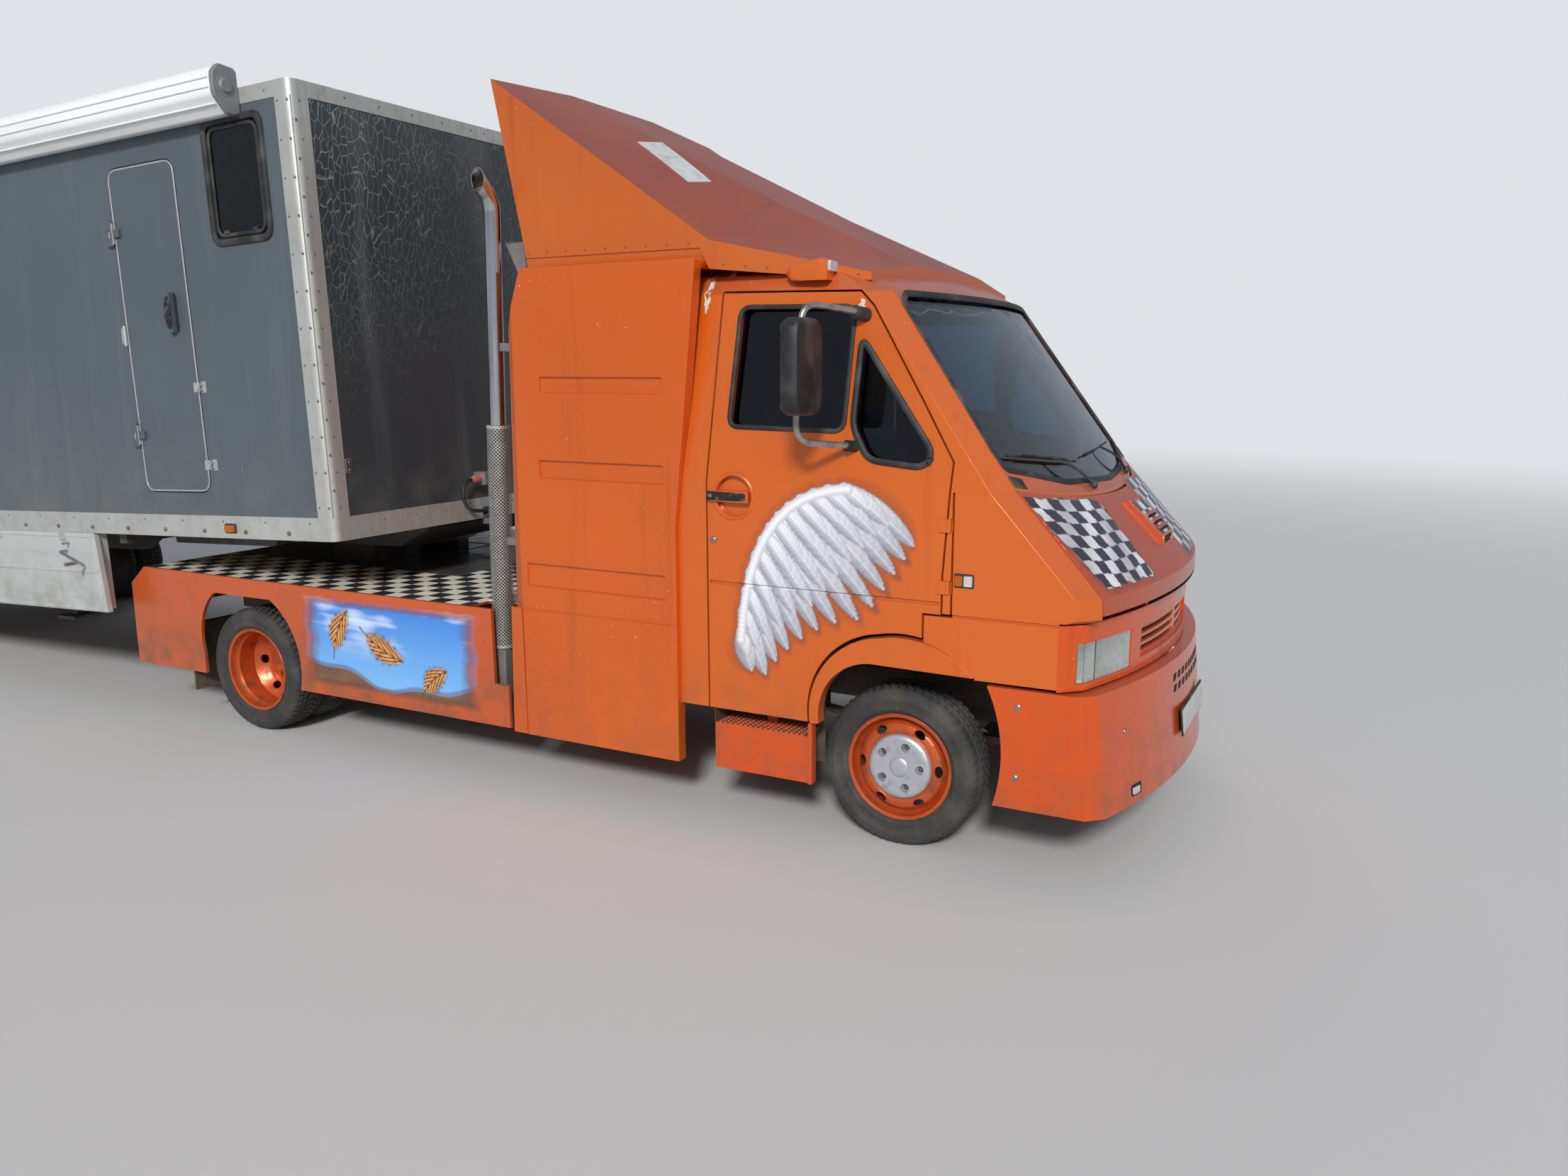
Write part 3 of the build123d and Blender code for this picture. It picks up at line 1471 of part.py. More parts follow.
# Trailer axle with its springs, and the landing legs
leaf_half = 560.0
leaf_end_z = 520.0
leaf_rear = trailer_wheel_x - leaf_half
leaf_front = trailer_wheel_x + leaf_half
with BuildPart() as trailer_axle:
    add(rod(trailer_wheel_x, tyre_radius, 50, -trailer_wheel_y + 95, trailer_wheel_y - 95))
    add(rod(trailer_wheel_x, tyre_radius, hub_bore, -trailer_wheel_y - 58, trailer_wheel_y + 58))
    for side in (-1, 1):
        with BuildSketch(Plane.XZ.offset(-side * beam_y)):
            with BuildLine():
                ThreePointArc(
                    (leaf_rear, leaf_end_z),
                    (trailer_wheel_x, tyre_radius + 48),
                    (leaf_front, leaf_end_z),
                )
                Line((leaf_front, leaf_end_z), (leaf_front, leaf_end_z + 20))
                ThreePointArc(
                    (leaf_front, leaf_end_z + 20),
                    (trailer_wheel_x, tyre_radius + 110),
                    (leaf_rear, leaf_end_z + 20),
                )
                Line((leaf_rear, leaf_end_z + 20), (leaf_rear, leaf_end_z))
            make_face()
        extrude(amount=30, both=True)
        for hanger_x in (leaf_rear + 10, leaf_front - 10):
            hanger_y = (side * (beam_y - 33), side * (beam_y + 33))
            add(block((hanger_x - 28, hanger_x + 28), hanger_y, (leaf_end_z, 720)))
    add(trailer_frame.part, mode=Mode.SUBTRACT)
save(trailer_axle.part, "trailer_axle")
with BuildPart() as landing_legs:
    with Locations((leg_u, -780, -290)):
        Box(90, 90, 460)
    with Locations((leg_u, -780, -545)):
        Box(70, 70, 60)
    with Locations((leg_u, -780, -585)):
        Box(180, 180, 20)
save(on_trailer(both_sides(landing_legs.part)), "landing_legs")
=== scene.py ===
import json
import math

import bmesh
import bpy
import numpy as np
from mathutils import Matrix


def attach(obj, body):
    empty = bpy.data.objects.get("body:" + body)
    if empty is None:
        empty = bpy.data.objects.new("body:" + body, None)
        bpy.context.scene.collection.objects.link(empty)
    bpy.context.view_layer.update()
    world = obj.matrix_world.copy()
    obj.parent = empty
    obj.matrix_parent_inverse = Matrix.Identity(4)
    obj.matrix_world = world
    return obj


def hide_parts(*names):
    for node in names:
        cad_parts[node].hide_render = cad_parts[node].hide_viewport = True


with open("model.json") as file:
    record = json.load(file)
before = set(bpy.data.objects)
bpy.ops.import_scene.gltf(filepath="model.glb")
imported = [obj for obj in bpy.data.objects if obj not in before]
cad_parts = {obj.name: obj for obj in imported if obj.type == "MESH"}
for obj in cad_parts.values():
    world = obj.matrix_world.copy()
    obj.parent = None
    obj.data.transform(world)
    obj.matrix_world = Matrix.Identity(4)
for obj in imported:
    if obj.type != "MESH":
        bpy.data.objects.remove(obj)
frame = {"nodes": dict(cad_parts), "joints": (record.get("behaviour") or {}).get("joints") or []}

# The photographer's place, floor and light
# The lorry stands on a plain pale floor. The camera has the photograph's height, bearing and focal
# length. A broad key lamp stands ahead on the right-hand side, and a pale sky fills the shadows.
for spare in ("Cube", "Light", "Camera"):
    if spare in bpy.data.objects:
        bpy.data.objects.remove(bpy.data.objects[spare])
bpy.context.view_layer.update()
joints = {joint["name"]: joint for joint in frame["joints"]}
axle_x = joints["steer_right"]["pos_m"][0]

photo_width = 2212.0
focal_length = 1634.0
eye_ahead = 1.6426
eye_side = -4.9955
eye_height = 1.9073
view_bearing = math.radians(117.563)
view_fall = math.radians(10.77)
sensor = 36.0
eye = bpy.data.objects.new("eye", bpy.data.cameras.new("eye"))
eye.location = (axle_x + eye_ahead, eye_side, eye_height)
eye.rotation_euler = (math.pi / 2 - view_fall, 0, view_bearing - math.pi / 2)
eye.data.sensor_width = sensor
eye.data.sensor_fit = "HORIZONTAL"
eye.data.lens = sensor * focal_length / photo_width
eye.data.clip_end = 200
bpy.context.collection.objects.link(eye)
bpy.context.scene.camera = eye
bpy.context.scene.view_settings.view_transform = "Standard"

# Lamps: name, kind, place or direction from the lorry, strength, width
lamp_table = [
    ("key_lamp", "SUN", (0.34, -0.80, 0.52), 2.7, math.radians(9)),
    ("back_lamp", "SUN", (-0.5, 0.75, 0.45), 0.4, math.radians(30)),
    ("side_panel", "AREA", (axle_x + 2.5, -9.0, 6.5), 160.0, 5.0),
]
for lamp_name, kind, place, strength, width in lamp_table:
    lamp = bpy.data.objects.new(lamp_name, bpy.data.lights.new(lamp_name, kind))
    lamp.data.energy = strength
    away = np.array(place) - ((axle_x - 1.5, 0, 1.3) if kind == "AREA" else (0, 0, 0))
    across = math.hypot(away[0], away[1])
    lamp.rotation_euler = (math.atan2(across, away[2]), 0, math.atan2(away[1], away[0]) + math.pi / 2)
    if kind == "AREA":
        lamp.location = place
        lamp.data.size = width
    else:
        lamp.data.angle = width
        lamp.visible_glossy = lamp_name == "key_lamp"
    bpy.context.collection.objects.link(lamp)


def node(tree, kind, inputs=None, **settings):
    """A shader node with its settings; each input is a value, or another node's output to link."""
    item = tree.nodes.new("ShaderNode" + kind)
    for key, value in settings.items():
        setattr(item, key, value)
    for key, value in (inputs or {}).items():
        if isinstance(value, bpy.types.NodeSocket):
            tree.links.new(value, item.inputs[key])
        else:
            item.inputs[key].default_value = value
    return item


def maths(tree, operation, first, second=0.0):
    """The outcome of one sum on two numbers."""
    return node(tree, "Math", {0: first, 1: second}, operation=operation).outputs[0]


def between(tree, value, low, high):
    """0 where the value is at low, 1 where it is at high, and a smooth step from one to the other."""
    inputs = {"Value": value, "From Min": low, "From Max": high}
    return node(tree, "MapRange", inputs, interpolation_type="SMOOTHSTEP").outputs[0]


def rgb(red, green, blue):
    """A colour as seen on a screen, 0 to 255, as linear light with full cover."""
    seen = np.array((red, green, blue)) / 255.0
    linear = np.where(seen <= 0.04045, seen / 12.92, ((seen + 0.055) / 1.055) ** 2.4)
    return (*linear.tolist(), 1.0)


def background_rays(tree):
    """1 for rays that come from the camera, straight or through glass."""
    path = node(tree, "LightPath")
    return maths(tree, "MAXIMUM", path.outputs["Is Camera Ray"], path.outputs["Is Transmission Ray"])


pale_air = (0.74, 0.77, 0.80, 1.0)
sky_fill = (0.33, 0.36, 0.42, 1.0)
world = bpy.data.worlds.new("studio")
bpy.context.scene.world = world
world.use_nodes = True
world.node_tree.nodes.clear()
fill = node(world.node_tree, "Background", {"Color": sky_fill, "Strength": 1.0})
shown = node(world.node_tree, "Background", {"Color": pale_air, "Strength": 1.0})
either = node(
    world.node_tree, "MixShader",
    {0: background_rays(world.node_tree), 1: fill.outputs[0], 2: shown.outputs[0]},
)
node(world.node_tree, "OutputWorld", {0: either.outputs[0]})

floor_reach = 90.0
floor_near = 9.0
floor_far = 26.0
floor_grey = (0.56, 0.55, 0.53, 1.0)
floor_finish = bpy.data.materials.new("studio_floor")
floor_finish.use_nodes = True
tree = floor_finish.node_tree
surface = tree.nodes["Principled BSDF"]
surface.inputs["Base Color"].default_value = floor_grey
surface.inputs["Roughness"].default_value = 0.9
surface.inputs["Specular IOR Level"].default_value = 0.1
spot = node(tree, "TexCoord").outputs["Object"]
distance = node(tree, "VectorMath", {0: spot}, operation="LENGTH").outputs["Value"]
open_floor = maths(tree, "MULTIPLY", between(tree, distance, floor_near, floor_far), background_rays(tree))
glow = node(tree, "Emission", {"Color": pale_air, "Strength": 1.0})
cover = node(tree, "MixShader", {0: open_floor, 1: surface.outputs[0], 2: glow.outputs[0]})
tree.links.new(cover.outputs[0], tree.nodes["Material Output"].inputs[0])
corner = np.array([(-1, -1, 0), (1, -1, 0), (1, 1, 0), (-1, 1, 0)]) * floor_reach
floor_mesh = bpy.data.meshes.new("studio_floor")
floor_mesh.from_pydata(corner.tolist(), [], [(0, 1, 2, 3)])
floor_mesh.materials.append(floor_finish)
floor = bpy.data.objects.new("studio_floor", floor_mesh)
bpy.context.collection.objects.link(floor)

# Ladder frame, engine, axles, springs, tank and coupling
# Pressed and cast steel under the lorry, brush-painted black long ago. Road dust lies on what faces up
# and on the lower parts, rust shows through in patches, and grease shines round the coupling.


def smoothing_group():
    """Geometry nodes that shade a mesh smooth but keep each edge sharper than 32 degrees."""
    group = bpy.data.node_groups.new("smooth_by_angle", "GeometryNodeTree")
    group.interface.new_socket("Geometry", in_out="INPUT", socket_type="NodeSocketGeometry")
    group.interface.new_socket("Geometry", in_out="OUTPUT", socket_type="NodeSocketGeometry")
    source = group.nodes.new("NodeGroupInput")
    outcome = group.nodes.new("NodeGroupOutput")
    angle = group.nodes.new("GeometryNodeInputMeshEdgeAngle")
    gentle = group.nodes.new("FunctionNodeCompare")
    gentle.operation = "LESS_THAN"
    gentle.inputs[1].default_value = math.radians(32)
    faces = group.nodes.new("GeometryNodeSetShadeSmooth")
    faces.domain = "FACE"
    edges = group.nodes.new("GeometryNodeSetShadeSmooth")
    edges.domain = "EDGE"
    group.links.new(angle.outputs["Unsigned Angle"], gentle.inputs[0])
    group.links.new(source.outputs[0], faces.inputs["Geometry"])
    group.links.new(faces.outputs[0], edges.inputs["Geometry"])
    group.links.new(gentle.outputs[0], edges.inputs["Shade Smooth"])
    group.links.new(edges.outputs[0], outcome.inputs[0])
    return group


smooth_by_angle = smoothing_group()


def dress(names, finish, edge=0.003):
    """Gives CAD pieces their finish, and rounds their hard edges by a few millimetres."""
    for name in names:
        item = frame["nodes"][name]
        for place in item.material_slots:
            place.material = finish
        weld = item.modifiers.new("weld", "WELD")
        weld.merge_threshold = 0.00002
        if edge > 0:
            flat = item.modifiers.new("flat", "DECIMATE")
            flat.decimate_type = "DISSOLVE"
            flat.angle_limit = math.radians(0.3)
            round_edge = item.modifiers.new("round_edge", "BEVEL")
            round_edge.width = edge
            round_edge.segments = 2
            round_edge.limit_method = "ANGLE"
            round_edge.angle_limit = math.radians(28)
            round_edge.miter_outer = "MITER_ARC"
        shade = item.modifiers.new("shade", "NODES")
        shade.node_group = smooth_by_angle
        level = item.modifiers.new("level", "WEIGHTED_NORMAL")
        level.keep_sharp = True


def new_finish(name, base=(0.5, 0.5, 0.5, 1.0), metal=0.0, rough=0.5):
    """A new material with its node tree and its shader."""
    finish = bpy.data.materials.new(name)
    finish.use_nodes = True
    shader = finish.node_tree.nodes["Principled BSDF"]
    shader.inputs["Base Color"].default_value = base
    shader.inputs["Metallic"].default_value = metal
    shader.inputs["Roughness"].default_value = rough
    return finish, finish.node_tree, shader


def place_of(tree):
    """Object coordinates, the same at rest and in every pose."""
    return node(tree, "TexCoord").outputs["Object"]


def height_of(tree):
    """Height above the ground."""
    return node(tree, "SeparateXYZ", {0: place_of(tree)}).outputs["Z"]


def facing_up(tree):
    """How far the bare surface faces upwards, from -1 to 1."""
    return node(tree, "SeparateXYZ", {0: node(tree, "TexCoord").outputs["Normal"]}).outputs["Z"]


def stretched(tree, scale):
    """Object coordinates scaled apart in each direction, so that a pattern runs along one of them."""
    return node(tree, "Mapping", {"Vector": place_of(tree), "Scale": scale}).outputs[0]


def cloud(tree, scale, detail=3.0, place=None, distortion=0.0, roughness=0.5):
    """Soft random patches of about 1 / scale metres."""
    inputs = {"Vector": place_of(tree) if place is None else place, "Scale": scale, "Detail": detail}
    inputs.update({"Roughness": roughness, "Distortion": distortion})
    return node(tree, "TexNoise", inputs).outputs[0]


def tint(tree, share, first, second):
    """The first colour where share is 0 and the second where it is 1."""
    return node(tree, "Mix", {0: share, 6: first, 7: second}, data_type="RGBA").outputs[2]


def number(tree, share, first, second):
    """The first number where share is 0 and the second where it is 1."""
    return node(tree, "Mix", {0: share, 2: first, 3: second}).outputs[0]


def times(tree, first, second):
    """The product of two numbers."""
    return maths(tree, "MULTIPLY", first, second)


def bumped(tree, shader, height, depth):
    """Raises the surface by a height pattern, depth metres from 0 to 1."""
    inputs = {"Height": height, "Distance": depth, "Strength": 1.0}
    tree.links.new(node(tree, "Bump", inputs).outputs[0], shader.inputs["Normal"])


def laid(shader, colour, rough=None, height=None, depth=0.0):
    """Links a colour to a shader, and a roughness and a bump of a depth in metres where they are given."""
    tree = shader.id_data
    tree.links.new(colour, shader.inputs["Base Color"])
    if rough is not None:
        tree.links.new(rough, shader.inputs["Roughness"])
    if height is not None:
        bumped(tree, shader, height, depth)


dust_brown = rgb(128, 112, 92)
rust_brown = rgb(112, 62, 34)


def old_steel(name, colour, rough, dust=0.7, rust=0.35):
    """Painted steel below the floor: patches of rust, and dust low down and on top."""
    finish, tree, shader = new_finish(name)
    patches = between(tree, cloud(tree, 7.0, 6.0), 0.62 - 0.2 * rust, 0.75)
    low = between(tree, height_of(tree), 1.3, 0.2)
    upward = between(tree, facing_up(tree), 0.2, 0.95)
    lying = times(
        tree, maths(tree, "MAXIMUM", low, upward), times(tree, cloud(tree, 14.0, 5.0), dust * 1.3),
    )
    painted = tint(tree, cloud(tree, 2.5), colour, tuple(0.6 * part for part in colour[:3]) + (1.0,))
    rusted = tint(tree, patches, painted, rust_brown)
    laid(
        shader, tint(tree, lying, rusted, dust_brown), rough=number(tree, lying, rough, 0.9),
        height=cloud(tree, 120.0, 4.0), depth=0.0008,
    )
    return finish


# Finishes: name, colour, roughness, dust, rust and the CAD pieces that wear it
for name, colour, rough, dust, rust, edge, names in (
    ("chassis_black", rgb(46, 44, 42), 0.5, 0.7, 0.35, 0.003, ["chassis_frame"]),
    (
        "axle_black", rgb(52, 48, 45), 0.55, 0.9, 0.35, 0.003,
        ["front_axle", "rear_axle", "springs", "knuckle_right", "knuckle_left"],
    ),
    ("engine_grey", rgb(84, 82, 80), 0.6, 0.5, 0.15, 0.012, ["engine_block"]),
    ("tank_black", rgb(40, 40, 42), 0.35, 0.5, 0.05, 0.003, ["fuel_tank"]),
    ("flap_rubber", rgb(38, 38, 38), 0.75, 0.9, 0.0, 0.003, ["mudflaps"]),
    (
        "trailer_steel", rgb(58, 58, 60), 0.5, 0.6, 0.3, 0.003,
        ["trailer_frame", "trailer_axle", "landing_legs"],
    ),
):
    dress(names, old_steel(name, colour, rough, dust, rust), edge)

greasy_steel, tree, shader = new_finish("greasy_steel", rgb(52, 48, 42), metal=0.6)
smear = cloud(tree, 9.0, 5.0, distortion=1.5)
laid(
    shader, tint(tree, smear, rgb(70, 62, 52), rgb(22, 20, 18)), rough=number(tree, smear, 0.55, 0.18),
    height=smear, depth=0.002,
)
dress(["fifth_wheel"], greasy_steel)

# Tyres
# Radial light-lorry tyres, single in front and twin behind, moulded in black rubber. Each has four
# rows of tread blocks, ribbed shoulders and a plain wall with raised rings. No word is moulded on it.
tyre_radius = 0.332
tread_half = 0.086
groove_depth = 0.009
front_wheel_y = 0.765
rear_wheel_y = 0.800
trailer_wheel_y = 0.905
twin_half = 0.1175
rear_axle_x = -3.6
trailer_axle_x = joints["trailer_wheels_right_spin"]["pos_m"][0] - axle_x


def skin(points, close_rows=False, close_columns=False):
    """A surface over a grid of points. A closed direction joins its last line of points to its first."""
    rows, columns = points.shape[:2]
    row = np.arange(rows if close_rows else rows - 1)[:, None]
    column = np.arange(columns if close_columns else columns - 1)[None, :]
    below = (row + 1) % rows
    beside = (column + 1) % columns
    corners = (
        row * columns + column, row * columns + beside, below * columns + beside,
        below * columns + column,
    )
    return points.reshape(-1, 3), np.stack(corners, axis=-1).reshape(-1, 4)


def xyz(x, y, z):
    """Points from their coordinates, each an array or one number for all."""
    return np.stack(np.broadcast_arrays(x, y, z), axis=-1)


def copies(shell, moves):
    """The same shell again at each of the moves."""
    points, faces = shell
    moves = np.atleast_2d(moves)
    spread = (points[None, :, :] + moves[:, None, :]).reshape(-1, 3)
    starts = np.arange(len(moves)) * len(points)
    return spread, (faces[None, :, :] + starts[:, None, None]).reshape(-1, 4)


def joined(shells):
    """Many shells as one: each one's faces count on from the points before it."""
    starts = np.cumsum([0] + [len(points) for points, faces in shells[:-1]])
    points = np.concatenate([points for points, faces in shells])
    faces = np.concatenate([faces + start for start, (_, faces) in zip(starts, shells)])
    return points, faces


def moved(shell, move):
    """A shell shifted by a move."""
    return shell[0] + np.asarray(move), shell[1]


def mirrored(shell):
    """A shell on the other side of the lorry."""
    return shell[0] * (1, -1, 1), shell[1]


def piece(name, shells, finish, body, slot, hides=(), sharp=35.0, rounding=0.0):
    """One object from shells measured from the front axle: doubles merged, faces outwards, edges kept."""
    points, faces = joined(shells)
    mesh = bpy.data.meshes.new(name)
    mesh.from_pydata((points + (axle_x, 0, 0)).tolist(), [], faces.tolist())
    work = bmesh.new()
    work.from_mesh(mesh)
    bmesh.ops.remove_doubles(work, verts=work.verts, dist=0.00002)
    bmesh.ops.dissolve_degenerate(work, dist=0.00001, edges=work.edges)
    bmesh.ops.recalc_face_normals(work, faces=work.faces)
    work.to_mesh(mesh)
    work.free()
    mesh.polygons.foreach_set("use_smooth", np.ones(len(mesh.polygons), dtype=bool))
    mesh.set_sharp_from_angle(angle=math.radians(sharp))
    mesh.materials.append(finish)
    item = bpy.data.objects.new(name, mesh)
    bpy.context.collection.objects.link(item)
    if rounding > 0:
        round_edge = item.modifiers.new("round_edge", "BEVEL")
        round_edge.width = rounding
        round_edge.segments = 2
        round_edge.limit_method = "ANGLE"
        round_edge.angle_limit = math.radians(35)
    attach(item, body)
    if hides:
        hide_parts(*hides)
    return item


def turned(profile, steps):
    """A profile of (radius, distance along the axle) carried round a circle about the axle, along Y."""
    profile = np.asarray(profile, dtype=float)
    angle = np.linspace(0, 2 * math.pi, steps, endpoint=False)[None, :]
    radius = profile[:, :1]
    along = profile[:, 1:]
    return skin(xyz(radius * np.cos(angle), along, radius * np.sin(angle)), close_columns=True)


def tread(rows, pitches):
    """Blocks round the tyre: each row a band of angles and widths, its blocks turned half a pitch apart."""
    across = np.array([0.0, 0.1, 0.9, 1.0])
    lift = np.outer([0, 1, 1, 0], [0, 1, 1, 0])
    shells = []
    for order, (low, high, share, slant) in enumerate(rows):
        start = (np.arange(pitches) + 0.5 * (order % 2)) * 2 * math.pi / pitches
        width = low + (high - low) * across
        turn = share * 2 * math.pi / pitches * across
        skew = slant * (across - 0.5)
        angle = start[:, None, None] + turn[None, None, :] + skew[None, :, None]
        drop = np.interp(np.abs(width), [0.062, tread_half + 0.012], [0.0, 0.014])
        radius = tyre_radius - 0.0008 - groove_depth * (1 - lift) - drop[:, None]
        x = radius[None] * np.cos(angle)
        z = radius[None] * np.sin(angle)
        points = xyz(x, width[None, :, None], z)
        one = skin(points[0])[1]
        starts = np.arange(pitches) * 16
        shells.append((points.reshape(-1, 3), (one[None] + starts[:, None, None]).reshape(-1, 4)))
    return shells


wall_rings = [
    (0.213, -0.079), (0.222, -0.083), (0.228, -0.090), (0.236, -0.0965), (0.240, -0.0985),
    (0.243, -0.0972), (0.262, -0.1005), (0.278, -0.1020), (0.281, -0.1032), (0.286, -0.1028),
    (0.289, -0.1012), (0.305, -0.0975), (0.312, -0.0945), (0.3165, -0.0890), (0.3215, -0.0820),
    (0.3225, -0.0600),
]
tyre_profile = wall_rings + [(radius, -along) for radius, along in reversed(wall_rings)]
tyre_shell = turned(tyre_profile, 96)
# Rows of blocks: from and to across the tread, share of the pitch, slant
tread_shells = tread(
    [
        (-0.090, -0.056, 0.72, 0.02), (-0.049, -0.027, 0.80, 0.05), (-0.020, 0.020, 0.74, 0.04),
        (0.027, 0.049, 0.80, -0.05), (0.056, 0.090, 0.72, -0.02),
    ],
    58,
)
whole_tyre = joined([tyre_shell] + tread_shells)

tyre_rubber, tree, shader = new_finish("tyre_rubber", rgb(40, 40, 41), rough=0.8)
shader.inputs["Specular IOR Level"].default_value = 0.35
grit = cloud(tree, 60.0, 6.0)
road_dust = times(tree, between(tree, cloud(tree, 5.0, 5.0), 0.38, 0.8), 0.65)
worn = tint(tree, grit, rgb(34, 34, 35), rgb(66, 64, 62))
laid(shader, tint(tree, road_dust, worn, rgb(98, 92, 84)), height=grit, depth=0.0006)

# Sets of tyres: name, axle station, distance from the middle, offsets of each tyre, body
both_sides = ((-1, "right"), (1, "left"))
for side, mark in both_sides:
    for stem, station, out, offsets, body in (
        ("tyre_front_", 0.0, front_wheel_y, (0.0,), "front_wheel_"),
        ("tyres_rear_", rear_axle_x, rear_wheel_y, (-twin_half, twin_half), "rear_wheels_"),
        ("tyres_trailer_", trailer_axle_x, trailer_wheel_y, (-twin_half, twin_half), "trailer_wheels_"),
    ):
        cad_name = stem + mark
        tyres = copies(whole_tyre, [(station, side * out + offset, tyre_radius) for offset in offsets])
        piece(cad_name + "_treaded", [tyres], tyre_rubber, body + mark[0], "tyre_rubber", (cad_name,))

# Rims
# Pressed steel wheels: a rolled barrel with a safety hump and a dished disc welded in, sprayed in the
# lorry's orange. Six oval hand holes are punched through each disc. The rear pair is dished deep.
barrel = [
    (0.2195, -0.0905), (0.2220, -0.0885), (0.2215, -0.0840), (0.2120, -0.0815), (0.2105, -0.0560),
    (0.2000, -0.0420), (0.1990, 0.0420), (0.2105, 0.0560), (0.2120, 0.0815), (0.2215, 0.0840),
    (0.2220, 0.0885), (0.2195, 0.0905), (0.2060, 0.0890), (0.2035, 0.0600), (0.1925, 0.0460),
    (0.1915, -0.0430), (0.2030, -0.0560), (0.2065, -0.0860),
]


def pierced(inner, outer, count, hole_at, hole_high, hole_wide, axial, depth, rings=6, steps=32):
    """A disc with holes. Each sector runs from an oval out to the sector's own four-sided edge.

    In radius and angle the oval is (a cos t, b sin t); the point of the sector's edge at the same t is
    (cos t, sin t) / max(|cos t|, |sin t|), and the surface blends from one to the other. The same again,
    depth behind, makes the back and the rims."""
    half_turn = math.pi / count
    angle = np.linspace(0, 2 * math.pi, steps, endpoint=False)
    low = hole_at - inner
    high = outer - hole_at
    reach = 1 / np.maximum(np.abs(np.cos(angle)), np.abs(np.sin(angle)))
    edge_r = reach * np.cos(angle)
    edge_r = np.where(edge_r > 0, edge_r * high, edge_r * low)
    edge_a = reach * np.sin(angle) * half_turn
    oval_r = hole_high * np.cos(angle)
    oval_a = hole_wide / hole_at * np.sin(angle)
    share = np.linspace(0, 1, rings)[:, None]
    radius = hole_at + oval_r * (1 - share) + edge_r * share
    turn = oval_a * (1 - share) + edge_a * share
    front = axial(radius)
    radius = np.concatenate((radius[::-1], radius))
    turn = np.concatenate((turn[::-1], turn))
    along = np.concatenate((front[::-1] + depth, front))
    sectors = np.arange(count)[:, None, None] * 2 * half_turn
    x = radius[None] * np.cos(turn[None] + sectors)
    z = radius[None] * np.sin(turn[None] + sectors)
    y = along[None]
    return joined([skin(sector, close_columns=True) for sector in xyz(x, y, z)])


def front_dish(radius):
    """The front disc's outer face, measured outwards as minus: flat round the hub, then dished in."""
    return np.interp(radius, [0.06, 0.112, 0.15, 0.176, 0.196], [-0.062, -0.062, -0.078, -0.070, -0.034])


def rear_dish(radius):
    """The outer rear disc's face: flat at the middle of the pair, then a cone out to the barrel."""
    return np.interp(radius, [0.06, 0.128, 0.150, 0.196], [-0.008, -0.008, -0.016, -0.066])


rim_orange, tree, shader = new_finish("rim_orange", metal=0.45, rough=0.36)
shader.inputs["Coat Weight"].default_value = 0.3
shader.inputs["Coat Roughness"].default_value = 0.2
brake_dust = between(tree, cloud(tree, 16.0, 6.0), 0.42, 0.75)
scuffs = between(tree, cloud(tree, 70.0, 4.0), 0.66, 0.72)
sprayed = tint(tree, cloud(tree, 4.0), rgb(214, 98, 40), rgb(176, 74, 30))
dulled = tint(tree, times(tree, brake_dust, 0.55), sprayed, rgb(82, 54, 40))
laid(
    shader, tint(tree, times(tree, scuffs, 0.7), dulled, rgb(90, 84, 80)),
    rough=number(tree, brake_dust, 0.3, 0.65), height=cloud(tree, 60.0, 5.0), depth=0.0008,
)

trailer_rim_grey = old_steel("trailer_rim_grey", rgb(150, 150, 150), 0.5, dust=0.8, rust=0.3)

front_hub = [
    (0.031, -0.062), (0.118, -0.0655), (0.118, -0.054), (0.078, -0.050), (0.078, 0.020), (0.031, 0.020),
]
barrel_shell = turned(barrel + barrel[:1], 96)
front_rim = joined(
    [
        barrel_shell, pierced(0.118, 0.196, 6, 0.163, 0.0155, 0.025, front_dish, 0.010),
        turned(front_hub, 72),
    ],
)
nut = turned(
    [(0.0, -0.026), (0.009, -0.026), (0.012, -0.022), (0.012, 0.0), (0.017, 0.0), (0.017, 0.004)], 6,
)


def ring_of(count, radius):
    """Places spread evenly round a circle about the axle."""
    angle = np.arange(count) * 2 * math.pi / count
    return xyz(radius * np.cos(angle), 0.0, radius * np.sin(angle))


outer_disc = pierced(0.100, 0.196, 6, 0.158, 0.017, 0.025, rear_dish, 0.010)
inner_disc = mirrored(outer_disc)
rear_hub = turned(
    [
        (0.0, -0.062), (0.040, -0.062), (0.050, -0.054), (0.060, -0.016), (0.100, -0.0115),
        (0.100, 0.0), (0.088, 0.0), (0.088, 0.084), (0.031, 0.084),
    ],
    72,
)
twin_rim = joined(
    [
        moved(barrel_shell, (0, -twin_half, 0)), moved(barrel_shell, (0, twin_half, 0)), outer_disc,
        inner_disc, rear_hub, copies(nut, ring_of(6, 0.080) + (0, -0.010, 0)),
    ],
)

for side, mark in both_sides:
    for stem, station, out, shell, body, finish, slot in (
        ("rim_front_", 0.0, front_wheel_y, front_rim, "front_wheel_", rim_orange, "wheel_paint"),
        ("rims_rear_", rear_axle_x, rear_wheel_y, twin_rim, "rear_wheels_", rim_orange, "wheel_paint"),
        (
            "rims_trailer_", trailer_axle_x, trailer_wheel_y, twin_rim, "trailer_wheels_",
            trailer_rim_grey, "trailer_wheel_paint",
        ),
    ):
        cad_name = stem + mark
        placed = moved(shell if side < 0 else mirrored(shell), (station, side * out, tyre_radius))
        piece(cad_name + "_pressed", [placed], finish, body + mark[0], slot, (cad_name,))

# Hub covers of the front wheels
# A die-cast aluminium cover on each front wheel: a shallow dish with a domed middle, and five holes
# through which the wheel nuts show. It is pressed over the hub and painted silver.


